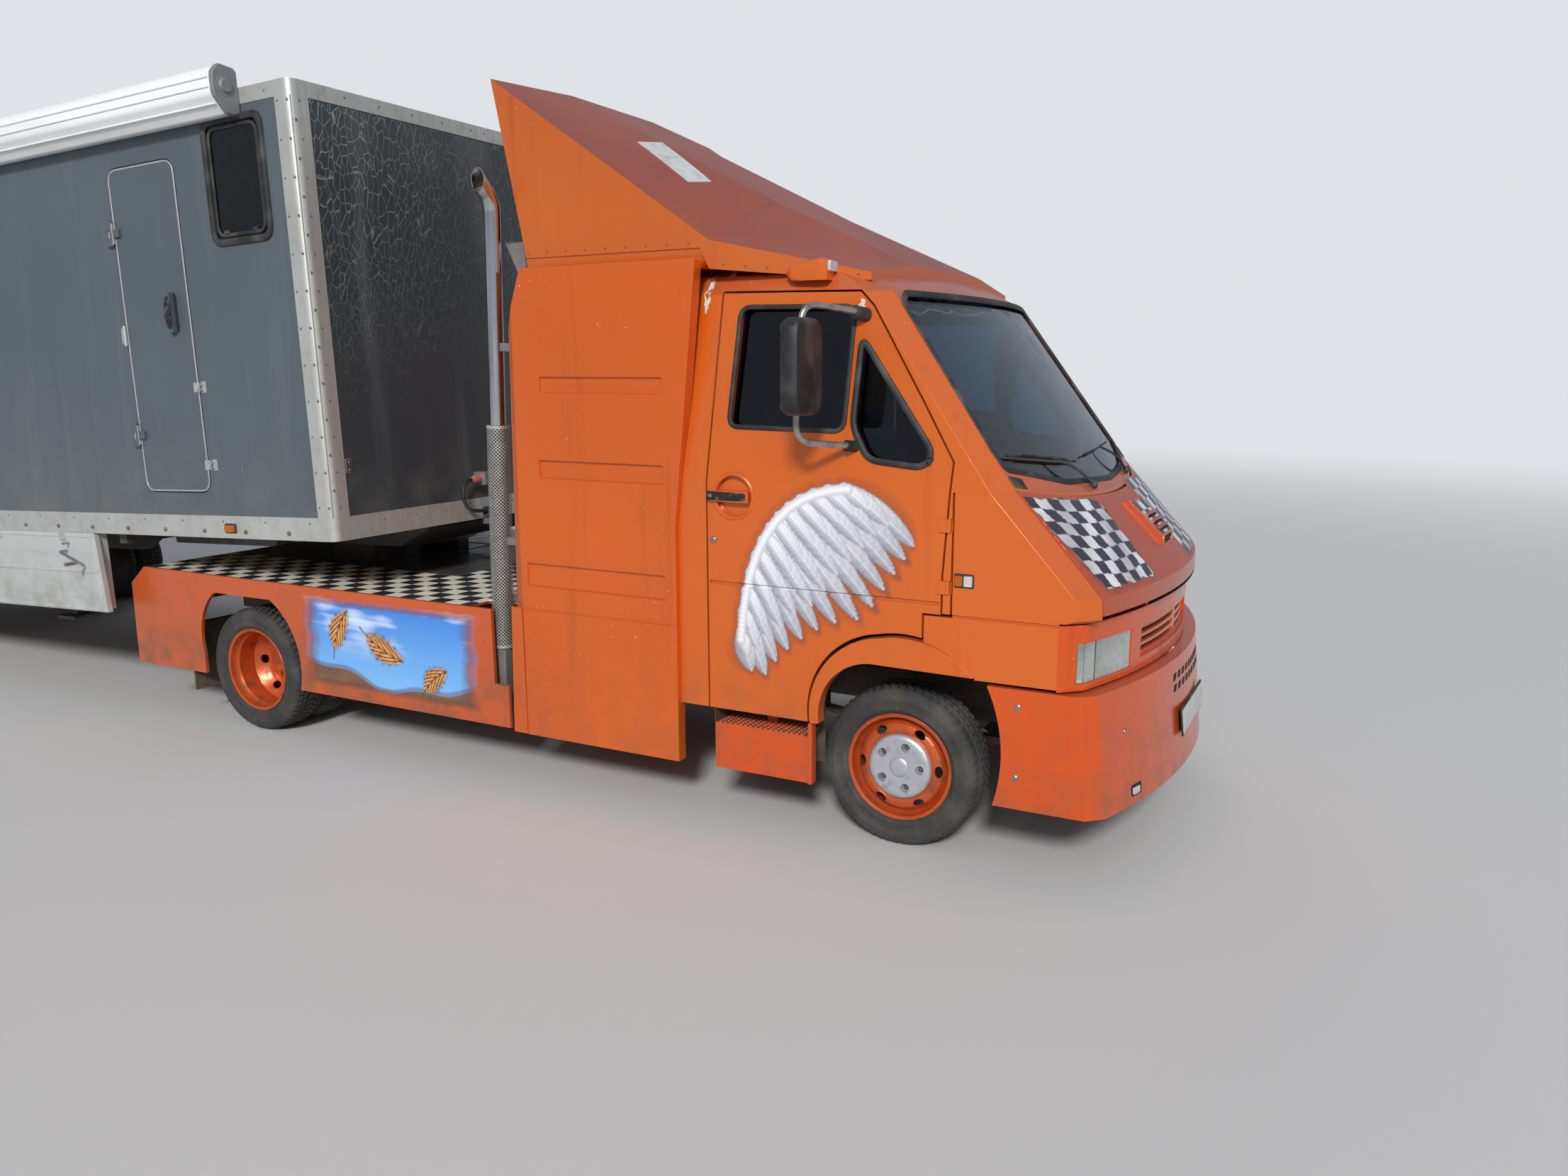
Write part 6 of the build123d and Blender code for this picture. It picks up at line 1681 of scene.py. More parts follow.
# Leaves: middle, length, half width, lean in degrees, bend
leaf_table = [
    ((-2.90, 0.640), 0.235, 0.058, 62.0, 0.28), ((-2.60, 0.560), 0.265, 0.062, -24.0, -0.24),
    ((-2.28, 0.455), 0.190, 0.055, 38.0, 0.30),
]
for middle, length, half, lean, curve in leaf_table:
    turn = math.radians(lean)
    along = ((art_x - middle[0]) * math.cos(turn) + (art_z - middle[1]) * math.sin(turn)) / length + 0.5
    off = -(art_x - middle[0]) * math.sin(turn) + (art_z - middle[1]) * math.cos(turn)
    off = off - curve * length * (along - along**2 - 0.15)
    inside = np.clip(along, 0, 1)
    width = half * np.sin(math.pi * inside**0.8) ** 0.8 * (1 + 0.12 * np.sin(38 * inside))
    leaf = np.clip((width - np.abs(off)) / 0.006, 0, 1) * (along > 0) * (along < 1)
    stalk = np.clip((0.005 - np.abs(off)) / 0.003, 0, 1) * (along > -0.22) * (along < 0.9)
    bands = np.clip(2.5 * np.sin(2 * math.pi * (5.5 * inside + 3.2 * np.abs(off) / half)), 0, 1)
    leaf_colour = mix(tone(222, 158, 84), tone(96, 52, 28), bands)
    leaf_colour = leaf_colour * (1.15 - 0.5 * np.abs(off)[..., None] / half)
    cast = np.clip((width + 0.012 - np.abs(off)) / 0.012, 0, 1) * (along > 0) * (along < 1)
    picture = blend(picture, tone(40, 30, 30), 0.4 * cast * (1 - leaf))
    picture = blend(picture, leaf_colour, leaf)
    picture = blend(picture, tone(84, 48, 28), stalk)
frame_edge = np.minimum(1.06 - np.abs(across), 1.10 - np.abs(up))
frame_edge = frame_edge + 0.035 * billow(art_x * 3, art_z * 3, 1.5)
halo = np.clip(1 - np.abs(frame_edge - 0.07) / 0.12, 0, 1)
picture = blend(picture, tone(96, 60, 46), 0.75 * halo)
panel_cover = np.clip((frame_edge + 0.02) / 0.14, 0, 1) ** 0.8
panel_cover = panel_cover * fade_in(art_x, -3.168, -1.992, 0.02) * fade_in(art_z, 0.318, 0.810, 0.012)
skirt_art = art_paint("skirt_art", rgb(216, 98, 42), brick, shade_low=0.8)
art_y = skirt_y + np.where(panel_cover > 0.005, 0.0006, -0.001)
for side, mark in both_sides:
    sheet = xyz(art_x, side * art_y, art_z)
    name = "airbrush_leaves_" + mark
    painted_sheet(
        name, sheet, np.clip(picture, 0, 1), panel_cover, skirt_art, "truck", side > 0,
    )

# Rivets, seams and steps of the cab and deck
# Pop rivets fasten the skirts and the deflector's lower edge, a folded seam crosses the sleeper's foot,
# and each step has a plate pressed with grip rings.


def upright(shell, rise=0.0):
    """A shell made about the Y axis, stood up about the Z axis and raised."""
    return shell[0][:, [0, 2, 1]] + (0, 0, rise), shell[1]


rivet = turned([(0.0, -0.0030), (0.0022, -0.0028), (0.0045, -0.0012), (0.0052, 0.0), (0.0052, 0.001)], 12)
skirt_rivets = [(-1.968, -skirt_y, z) for z in (0.805, 0.678, 0.581, 0.414)]
skirt_rivets += [(-3.18, -skirt_y, z) for z in (0.36, 0.56, 0.76)]
deflector_side_x = [-1.960, -0.800, -0.150]
deflector_side_y = [0.900, 0.955, 0.850]
lower_x = np.arange(-1.735, -0.86, 0.105)
low_x = np.arange(-0.74, -0.18, 0.09)
low_z = np.interp(low_x, [-0.800, -0.150], [2.310, 2.250])
edge_x = np.concatenate((lower_x, low_x))
edge_z = np.concatenate((0 * lower_x + 2.392, low_z))
edge_rivets = xyz(edge_x, -np.interp(edge_x, deflector_side_x, deflector_side_y) - 0.0004, edge_z)
rivet_grey = old_steel("rivet_grey", rgb(120, 96, 84), 0.5, dust=0.3, rust=0.4)
# Near-black dusty steel for the step wells: its darkness is painted shade in the recess behind each step.
underbody_black = old_steel("underbody_black", rgb(34, 32, 31), 0.8, dust=0.5, rust=0.2)
for side, mark in both_sides:
    for stem, places, slot in (
        ("skirt_rivets_", skirt_rivets, "deck_panel"), ("deflector_rivets_", edge_rivets, "cab_paint"),
    ):
        shell = copies(rivet, np.array(places))
        piece(stem + mark, [shell if side < 0 else mirrored(shell)], rivet_grey, "truck", slot)
    inwards = np.array((0, -side * 0.003, 0))
    flange_x = np.linspace(-1.752, -0.800, 12)
    flange_y = side * (np.interp(flange_x, deflector_side_x, deflector_side_y) - 0.006)
    outer = np.stack([xyz(flange_x, flange_y, z) for z in (2.380, 2.352, 2.318)])
    outer[2, :, 1] -= side * 0.010
    flange = thick(outer, outer + inwards)
    piece("deflector_flange_" + mark, [flange], deflector_orange, "truck", "cab_paint")
    seam_y = side * 1.0302
    seam = bar([(-1.812, seam_y, 0.848), (-0.934, seam_y, 0.852)], 0.0035, (0, 1, 0), sides=8)
    piece("sleeper_seam_" + mark, [seam], sleeper_orange, "truck", "cab_paint")
    fold_y = side * 1.0325
    corners = [
        (-1.812, fold_y, 0.845), (-1.752, fold_y, 0.845), (-1.748, fold_y, 0.262), (-1.826, fold_y, 0.262),
    ]
    corner = four_sided(corners, 3, 3)
    piece(
        "sleeper_corner_plate_" + mark, [thick(corner, corner + inwards)], sleeper_orange, "truck",
        "cab_paint", rounding=0.001,
    )
    # The step well's back and rear walls are near-black plates: painted shade in the recess above the step.
    near_y = side * 0.847
    far_y = side * 0.985
    corners = [(-0.790, near_y, 0.7), (-0.330, near_y, 0.7), (-0.330, near_y, 0.3), (-0.790, near_y, 0.3)]
    well_back = four_sided(corners)
    corners = [(-0.775, near_y, 0.7), (-0.775, far_y, 0.7), (-0.775, far_y, 0.446), (-0.775, near_y, 0.446)]
    well_rear = four_sided(corners)
    well = [thick(well_back, well_back + inwards), thick(well_rear, well_rear - (0.003, 0, 0))]
    piece("step_well_" + mark, well, underbody_black, "truck", "frame_paint")
    ring = upright(turned([(0.004, 0.0), (0.0045, 0.0028), (0.0075, 0.0030), (0.0085, 0.0)], 12))
    ring_x, ring_y = np.meshgrid(np.linspace(-0.752, -0.370, 17), np.linspace(0.866, 0.980, 6))
    grips = xyz(ring_x.ravel(), side * ring_y.ravel(), 0.4502)
    corners = [(-0.768, 0.852), (-0.354, 0.852), (-0.354, 0.993), (-0.768, 0.993)]
    tread_flat = four_sided([(x, side * y, 0.4508) for x, y in corners])
    piece(
        "step_grip_" + mark, [copies(ring, grips), thick(tread_flat, tread_flat - (0, 0, 0.002))],
        skirt_orange, "truck", "cab_paint",
    )

# Deflector plate
# A blank white plate is fixed to the deflector's right slope. It is thin sheet and follows the slope's
# curve.
plate_corners = np.array([(-1.415, -0.530), (-1.390, -0.372), (-1.046, -0.520), (-1.088, -0.640)])
plate_flat = four_sided(plate_corners, 8, 6)
plate_x = plate_flat[..., 0]
side_z = np.interp(plate_x, deflector_side_x, [3.153, 2.400, 2.262])
side_y = np.interp(plate_x, deflector_side_x, deflector_side_y)
middle_z = np.interp(plate_x, deflector_side_x, [3.185, 2.610, 2.318])
middle_y = np.interp(plate_x, deflector_side_x, [0.330, 0.400, 0.430])
fall = (np.abs(plate_flat[..., 1]) - middle_y) / (side_y - middle_y)
plate_z = middle_z + (side_z - middle_z) * fall + 0.004
plate_sheet = np.concatenate((plate_flat, plate_z[..., None]), axis=-1)
piece(
    "deflector_plate", [thick(plate_sheet, plate_sheet - (0.001, -0.001, 0.004))], plate_white, "truck",
    "cab_paint",
)

# Perforated guards and exhaust stacks
# Two chromed pipes rise behind the sleeper, each with a slash-cut mouth turned outwards. Perforated
# guards stand round their lower halves over grey boxes, and the pipes inside them are sleeved in
# near-black: painted shade of the pipe behind the holes. The same perforated steel fills the gap at the
# deflector's lower rear corner on each side.
stack_x = -1.933
stack_y = 0.955
stack_z = 0.636
lean = math.radians(1.34)


def stack_place(shell, side):
    """Puts a shell made upright about the origin, on the right side, at its pipe."""
    x, y, z = shell[0].T
    placed = xyz(x * math.cos(lean) + z * math.sin(lean), y, z * math.cos(lean) - x * math.sin(lean))
    return placed * (1, -side, 1) + (stack_x, side * stack_y, stack_z), shell[1]


def lattice(columns, rows, web=0.30):
    """Diamonds with holes on the unit square: their points across and up, and their faces.

    Each diamond is four strips between its outline and the same outline drawn in by 1 - web."""
    column, row = np.meshgrid(np.arange(columns), np.arange(2 * rows))
    middle_u = (column + 0.5 * (row % 2)).ravel()
    middle_v = (row * 0.5).ravel()
    corner_u = np.array([0.5, 0.0, -0.5, 0.0])
    corner_v = np.array([0.0, 0.5, 0.0, -0.5])
    outer_u = middle_u[:, None] + corner_u
    outer_v = middle_v[:, None] + corner_v
    inner_u = middle_u[:, None] + corner_u * (1 - web)
    inner_v = middle_v[:, None] + corner_v * (1 - web)
    u = np.concatenate((outer_u, inner_u), axis=1) / columns
    v = np.concatenate((outer_v, inner_v), axis=1) / rows
    one = np.array([(0, 1, 5, 4), (1, 2, 6, 5), (2, 3, 7, 6), (3, 0, 4, 7)])
    faces = one[None] + (np.arange(len(middle_u)) * 8)[:, None, None]
    return u.ravel(), v.ravel(), faces.reshape(-1, 4)


infill = np.array([(-1.868, 2.445), (-1.765, 2.445), (-1.755, 2.325), (-1.800, 2.305)])
u, v, faces = lattice(9, 9)
u = np.clip(u, 0, 1)[:, None]
v = np.clip(v, 0, 1)[:, None]
infill_foot = infill[3] + u * (infill[2] - infill[3])
infill_top = infill[0] + u * (infill[1] - infill[0])
infill_flat = infill_foot + v * (infill_top - infill_foot)
infill_shell = (faced(infill_flat, (0, -0.902, 0), outwards), faces)
u, v, faces = lattice(20, 66)
angle = u * 2 * math.pi
guard = 0.051
guard_points = xyz(guard * np.cos(angle), guard * np.sin(angle), np.clip(v, 0, 1) * 1.015 + 0.002)
guard_shell = (guard_points, faces)
band_line = [(0.0502, -0.007), (0.0522, -0.007), (0.0522, 0.007), (0.0502, 0.007), (0.0502, -0.007)]
bands = [upright(turned(band_line, 40), z) for z in (0.008, 1.012)]
# A near-black sleeve round each pipe inside its guard: painted shade of the pipe behind the holes.
shade_sleeve = upright(turned([(0.0352, 0.002), (0.0390, 0.006), (0.0390, 1.008), (0.0352, 1.012)], 40))
rise = np.linspace(0.002, 1.925, 12)
slash = math.radians(45)
bend_turn = np.linspace(0, slash, 14)[1:]
bend_y = -0.110 * (1 - np.cos(bend_turn))
bend_z = 1.925 + 0.110 * np.sin(bend_turn)
tail = np.linspace(0.01, 0.074, 5)
tail_y = bend_y[-1] - tail * math.sin(slash)
tail_z = bend_z[-1] + tail * math.cos(slash)
line_y = np.concatenate((0 * rise, bend_y, tail_y))
line_z = np.concatenate((rise, bend_z, tail_z))
heading = np.concatenate((0 * rise, bend_turn, np.full(5, slash)))


def pipe(radius):
    """Rings along the pipe's line, each square to its heading; the last is sheared to a flat mouth."""
    turn = np.linspace(0, 2 * math.pi, 48, endpoint=False)[None, :]
    across = radius * np.sin(turn)
    y = line_y[:, None] + across * np.cos(heading)[:, None]
    z = line_z[:, None] + across * np.sin(heading)[:, None]
    mouth_y = line_y[-1] + 0 * turn
    slide = (y[-1:] - mouth_y) / math.sin(slash)
    y = np.concatenate((y[:-1], mouth_y + 0 * y[-1:]))
    z = np.concatenate((z[:-1], z[-1:] + slide * math.cos(slash)))
    return xyz(radius * np.cos(turn), y, z)


pipe_rings = np.concatenate((pipe(0.035), pipe(0.0325)[::-1]))
pipe_shell = skin(pipe_rings, close_rows=True, close_columns=True)
mouth_lip = bar(pipe(0.0338)[-1], 0.0022, (0, 1, 0), closed=True, sides=8)
stack_chrome, tree, shader = new_finish("stack_chrome", metal=1.0, rough=0.12)
run = cloud(tree, 1.0, 5.0, stretched(tree, (30.0, 30.0, 2.0)))
heat = between(tree, height_of(tree), 2.2, 2.75)
tarnish = tint(tree, between(tree, run, 0.4, 0.8), rgb(214, 216, 218), rgb(142, 138, 134))
laid(
    shader, tint(tree, times(tree, heat, 0.35), tarnish, rgb(150, 128, 100)),
    rough=number(tree, between(tree, run, 0.35, 0.8), 0.08, 0.42),
)
guard_steel = mottled(
    "guard_steel", rgb(206, 203, 198), rgb(138, 132, 124), 24.0, 5.0, metal=0.5, rough=0.45,
)
# Near-black: painted shade on the sleeves inside the guards, and soot on the discs across the pipe mouths.
soot = mottled("soot", rgb(14, 13, 12), rgb(34, 31, 29), 40.0, rough=0.95)
box_steel = old_steel("box_steel", rgb(118, 118, 120), 0.5, dust=0.6, rust=0.3)
box_outline = oblong(0.043, 0.043, 0.010)
box_rings = [
    faced(box_outline * share, (0, 0, z), (0, 0, 1))
    for z, share in ((-0.250, 0.5), (-0.170, 0.96), (-0.004, 1.0))
]
arm_rings = [faced(oblong(0.018, 0.024, 0.005), (0, y, 0.035), (0, 1, 0)) for y in (0.030, 0.083)]
box_shells = [capped(np.stack(box_rings)), capped(np.stack(arm_rings))]
for z in (0.500, 1.360):
    rings = [faced(oblong(0.012, 0.018, 0.004), (x, 0, z), (1, 0, 0)) for x in (0.034, 0.178)]
    box_shells.append(capped(np.stack(rings)))
soot_mouth = slab(pipe(0.0324)[-3], (0, 0.7, -0.7), 0.002)
for side, mark in both_sides:
    groups = (
        (
            "stack_pipe_", [pipe_shell, mouth_lip], stack_chrome, "stack_chrome",
            ("exhaust_stacks",) if side < 0 else (),
        ),
        ("stack_guard_", [guard_shell] + bands, guard_steel, "coupling_steel", ()),
        ("stack_box_", box_shells, box_steel, "coupling_steel", ()),
        ("stack_wrap_", [shade_sleeve], soot, "stack_chrome", ()),
        ("stack_soot_", [soot_mouth], soot, "stack_chrome", ()),
    )
    for stem, shells, finish, slot, hides in groups:
        piece(stem + mark, [stack_place(shell, side) for shell in shells], finish, "truck", slot, hides)
    mesh_shell = infill_shell if side < 0 else mirrored(infill_shell)
    piece("deflector_mesh_" + mark, [mesh_shell], guard_steel, "truck", "coupling_steel")

# Trailer walls
# Sandwich panels faced in steel sheet, sprayed dark grey: chalky streaks, scratches and dust on the
# sides, and a fine network of cracks in the paint of the front wall, thickest at its upper corner.


def grey_sheet(name, colour, streaky, cracked):
    """Sprayed sheet: rain streaks, dusty foot and scratches; with cracks, a network that fades down."""
    finish, tree, shader = new_finish(name, rough=0.5)
    shader.inputs["Coat Weight"].default_value = 0.12
    broad = cloud(tree, 0.9, 3.0)
    deeper = (colour[0] * 0.72, colour[1] * 0.72, colour[2] * 0.74, 1.0)
    paint = tint(tree, broad, colour, deeper)
    fall = cloud(tree, 1.0, 6.0, stretched(tree, (5.0, 5.0, 0.5)))
    streaked = tint(tree, times(tree, between(tree, fall, 0.5, 0.8), streaky), paint, rgb(128, 134, 134))
    fine = cloud(tree, 1.0, 3.0, stretched(tree, (90.0, 90.0, 2.6)))
    scratch_field = between(tree, cloud(tree, 1.4, 2.0), 0.5, 0.7)
    scratches = times(tree, between(tree, fine, 0.72, 0.76), times(tree, scratch_field, 0.7))
    scratched = tint(tree, scratches, streaked, rgb(186, 190, 188))
    foot = times(
        tree, between(tree, height_of(tree), 1.65, 1.05),
        between(tree, cloud(tree, 5.0, 5.0), 0.35, 0.8),
    )
    dusty = tint(tree, times(tree, foot, 0.4), scratched, rgb(122, 118, 108))
    rough = number(tree, foot, 0.36, 0.7)
    height = cloud(tree, 1.6, 1.0)
    if cracked:
        place = node(tree, "SeparateXYZ", {0: place_of(tree)})
        waver = cloud(tree, 6.0, 3.0)
        y = maths(tree, "ADD", times(tree, place.outputs["Y"], 30.0), times(tree, waver, 3.0))
        z = maths(tree, "ADD", times(tree, place.outputs["Z"], 14.0), times(tree, waver, 2.0))
        where = node(tree, "CombineXYZ", {1: y, 2: z}).outputs[0]
        broad_cell, fine_cell = [
            node(tree, "TexVoronoi", {0: where, "Scale": size}, feature="DISTANCE_TO_EDGE").outputs[0]
            for size in (1.0, 2.3)
        ]
        high = between(tree, place.outputs["Z"], 1.5, 3.0)
        near = between(tree, place.outputs["Y"], 0.5, -1.1)
        strength = maths(tree, "MAXIMUM", times(tree, high, near), times(tree, high, 0.35))
        lines = times(tree, between(tree, broad_cell, 0.035, 0.010), strength)
        thin = times(
            tree, between(tree, fine_cell, 0.03, 0.008),
            times(tree, strength, between(tree, broad, 0.4, 0.6)),
        )
        both = maths(tree, "MAXIMUM", lines, times(tree, thin, 0.7))
        dusty = tint(tree, times(tree, both, 0.8), dusty, rgb(142, 150, 144))
        height = maths(tree, "SUBTRACT", height, times(tree, both, 0.15))
    laid(shader, dusty, rough=rough, height=height, depth=0.004)
    return finish


side_grey = grey_sheet("side_grey", rgb(84, 93, 98), 0.22, False)
dress(["trailer_side_walls", "trailer_rear_wall", "trailer_door"], side_grey, edge=0.002)
# The front wall has the side walls' grey made darker: painted shade on the forward-facing wall, under its
# real cracks and dust.
front_grey = grey_sheet("front_grey", rgb(58, 64, 67), 0.25, True)
dress(["trailer_front_wall"], front_grey, edge=0.001)
roof_white, tree, shader = new_finish("roof_white", rough=0.6)
grime = between(tree, cloud(tree, 3.5, 8.0, roughness=0.65), 0.3, 0.85)
laid(
    shader, tint(tree, times(tree, grime, 0.6), rgb(186, 187, 182), rgb(128, 125, 116)),
    height=cloud(tree, 3.0, 3.0), depth=0.004,
)
dress(["trailer_roof"], roof_white, edge=0.002)
floor_ply, tree, shader = new_finish("floor_ply", rough=0.7)
grain = cloud(tree, 1.0, 5.0, stretched(tree, (3.0, 46.0, 46.0)), distortion=0.8)
laid(shader, tint(tree, grain, rgb(150, 120, 84), rgb(104, 78, 52)), height=grain, depth=0.0008)
dress(["trailer_floor"], floor_ply, edge=0.002)

# Trailer frame profiles and their rivets
# Extruded aluminium corner posts and rails, gone dull and streaked, are held by dark blind rivets
# along the posts and by bolts along the bottom rail.
dull_aluminium, tree, shader = new_finish("dull_aluminium", metal=0.55, rough=0.45)
drawn = cloud(tree, 1.0, 4.0, stretched(tree, (3.0, 60.0, 3.0)))
stain = between(tree, cloud(tree, 14.0, 8.0, roughness=0.7), 0.45, 0.85)
metal_tone = tint(tree, drawn, rgb(214, 214, 208), rgb(176, 176, 168))
laid(
    shader, tint(tree, times(tree, stain, 0.45), metal_tone, rgb(112, 108, 98)),
    rough=number(tree, stain, 0.36, 0.65), height=cloud(tree, 20.0, 4.0), depth=0.0008,
)
dress(["trailer_profiles"], dull_aluminium, edge=0.003)

nose_x = -2.713
nose_z = 1.102
pitch = math.radians(2.4)


def on_trailer(points):
    """From the trailer's own axes, along u, across v and up w from its nose, to the lorry's."""
    u, v, w = np.moveaxis(np.asarray(points, dtype=float), -1, 0)
    x = nose_x + u * math.cos(pitch) - w * math.sin(pitch)
    z = nose_z + u * math.sin(pitch) + w * math.cos(pitch)
    return xyz(x, v, z)


def trailer_piece(name, shells, finish, slot, body="trailer", hides=(), **settings):
    """A piece whose shells are given in the trailer's own axes."""
    placed = [(on_trailer(points), faces) for points, faces in shells]
    return piece(name, placed, finish, body, slot, hides, **settings)


trailer_rear = -7.2
wall_v = 1.2


def side_plate(u, w, half_long, half_high, radius, thickness, side, base=1.197):
    """A rounded plate on a side wall of the trailer."""
    return plate((u, side * base, w), half_long, half_high, radius, thickness, (0, side, 0))


post_rise = np.arange(0.16, 2.02, 0.165)
rail_run = np.arange(-0.16, -7.1, -0.31)
blind = turned([(0.0, -0.0030), (0.003, -0.0026), (0.005, -0.001), (0.006, 0.0), (0.006, 0.001)], 12)
hex_bolt = turned(
    [(0.0, -0.007), (0.008, -0.007), (0.010, -0.005), (0.010, -0.0015), (0.013, -0.001), (0.013, 0.001)],
    6,
)
rivet_dark = old_steel("rivet_dark", rgb(112, 110, 106), 0.5, dust=0.4, rust=0.4)
posts = [(u, -wall_v, w) for u in (-0.022, -0.082, -7.118, -7.178) for w in post_rise]
rails = [(u, -wall_v, w) for w in (0.084, 2.030) for u in rail_run]
bolts = [(u, -wall_v, 0.034) for u in rail_run - 0.15]
front = forward(blind, (0, 0, 0))
post_front = [(0.0, -1.150, w) for w in post_rise] + [(0.0, -1.178, w + 0.08) for w in post_rise[:-1]]
cross = [(0.0, -v, w) for w in (0.075, 2.035) for v in np.arange(0.05, 1.1, 0.21)]
heads = [
    copies(blind, np.array(posts + rails)), copies(hex_bolt, np.array(bolts)),
    copies(front, np.array(post_front + cross)),
]
for side, mark in both_sides:
    placed = heads if side < 0 else [mirrored(head) for head in heads]
    trailer_piece("trailer_rivets_" + mark, placed, rivet_dark, "trailer_aluminium")

# Roof end plates
# At each end a folded aluminium plate laps from the roof sheet over the top rail and the hollow corner
# posts. It is bedded in sealant and screwed down.
roof_w = 2.065
for end, inward, mark in ((0.0, -1, "front"), (trailer_rear, 1, "rear")):
    rim = [
        (0.003, 1.156), (0.045, 1.198), (0.108, 1.198), (0.108, -1.198), (0.045, -1.198),
        (0.003, -1.156),
    ]
    corners = [(end + inward * inset, inward * v) for inset, v in rim]
    outline = faced(rounded(corners, 0.004), (0, 0, roof_w), (0, 0, 1))
    sheet = slab(outline, (0, 0, 1), 0.002)
    trailer_piece("roof_end_plate_" + mark, [sheet], dull_aluminium, "trailer_aluminium")

# Wall joints, lamps and small plates
# Narrow cover strips close the joints between the wall panels. Amber marker lamps sit in the bottom
# rail, and a little steel plate is screwed to the front wall.
marker_u = (-0.727, -2.9, -5.1, -7.05)
lamp_w = 0.050
rail_v = 1.1995
for side, mark in both_sides:
    joint_v = side * 1.1972
    strips = [
        bar([(u, joint_v, 0.115), (u, joint_v, 1.99)], 0.006, (0, 1, 0), flat=0.35, sides=8)
        for u in (-2.02, -3.26, -6.35)
    ]
    trailer_piece("wall_joints_" + mark, strips, side_grey, "trailer_sheet")
    lamps = [side_plate(u, lamp_w, 0.034, 0.018, 0.008, 0.016, side, rail_v) for u in marker_u]
    trailer_piece("side_markers_" + mark, lamps, amber_glass, "trailer_aluminium")
    bases = [side_plate(u, lamp_w, 0.042, 0.024, 0.008, 0.006, side, rail_v) for u in marker_u]
    trailer_piece("side_marker_bases_" + mark, bases, grille_black, "trailer_aluminium")
little = plate((-0.0025, -1.075, 0.348), 0.020, 0.034, 0.006, 0.004, (1, 0, 0))
screws = copies(front, np.array([(0.002, -1.075, 0.330), (0.002, -1.075, 0.366)]))
trailer_piece("front_wall_plate", [little, screws], bright_steel, "trailer_sheet")

# Tail lamps
# On the rear rail, at each side, a black backing carries a red, an amber and a red glass in a row,
# with a blank white plate for the number between them.
red = (rgb(196, 22, 20), rgb(140, 14, 14))
red_glass = mottled("red_glass", *red, 60.0, 2.0, rough=0.12, clear=0.3)


def rear_plate(v, half_long, half_high, radius, thickness, base=trailer_rear):
    """A rounded plate on the trailer's rear rail."""
    return plate((base, v, 0.056), half_long, half_high, radius, thickness, (-1, 0, 0))


glass_u = trailer_rear - 0.005
for side, mark in both_sides:
    backing = rear_plate(side * 0.990, 0.150, 0.046, 0.010, 0.008)
    trailer_piece("tail_lamp_backing_" + mark, [backing], grille_black, "trailer_aluminium")
    reds = [rear_plate(side * v, 0.042, 0.036, 0.008, 0.026, glass_u) for v in (0.898, 1.082)]
    trailer_piece("tail_lamp_red_" + mark, reds, red_glass, "trailer_aluminium")
    signal = rear_plate(side * 0.990, 0.042, 0.036, 0.008, 0.026, glass_u)
    trailer_piece("tail_lamp_amber_" + mark, [signal], amber_glass, "trailer_aluminium")
number_plate = rear_plate(0.0, 0.260, 0.050, 0.006, 0.004)
trailer_piece("rear_number_plate", [number_plate], plate_white, "trailer_aluminium")
back_rivet = (front[0] * (-1, 1, 1), front[1])
back_rows = [(trailer_rear, side * v, w) for side in (-1, 1) for w in post_rise for v in (1.150, 1.178)]
trailer_piece("rear_rivets", [copies(back_rivet, np.array(back_rows))], rivet_dark, "trailer_aluminium")

# Trailer windows
# Smoked acrylic panes hung from a hinge rail along their top edge, in thick black frames with rounded
# corners, each held shut by two small catches along its foot.
# Windows: side, rear end, length, sill, height
pane_v = 1.199
window_table = [
    (-1, -0.600, 0.390, 1.405, 0.540), (-1, -4.300, 0.900, 1.150, 0.500),
    (1, -2.400, 1.000, 1.150, 0.550), (1, -5.200, 1.000, 1.150, 0.550),
]
for order, (side, start, length, sill, height) in enumerate(window_table):
    middle = np.array((start + length / 2, sill + height / 2))
    line = filled_in(oblong(length / 2, height / 2, 0.055) + middle, 0.04)
    heart = (middle[0], side * pane_v, middle[1])
    outer = faced(line, (0, heart[1], 0), outwards)
    inner = (outer - heart) * (1 - 0.064 / length, 1, 1 - 0.064 / height) + heart
    shells = [
        bar(outer, 0.017, (0, 1, 0), closed=True, flat=0.75),
        bar(inner, 0.009, (0, 1, 0), closed=True, flat=0.7),
    ]
    catch_u = (start + length * 0.25, start + length * 0.75)
    shells += [side_plate(u, sill + 0.045, 0.016, 0.008, 0.004, 0.012, side, 1.196) for u in catch_u]
    ends = [(u, side * 1.203, sill + height + 0.004) for u in (start + 0.03, start + length - 0.03)]
    hinge = bar(ends, 0.009, (0, 1, 0), sides=10)
    trailer_piece("window_frame_%d" % (order + 1), shells + [hinge], seal_rubber, "flap_rubber")

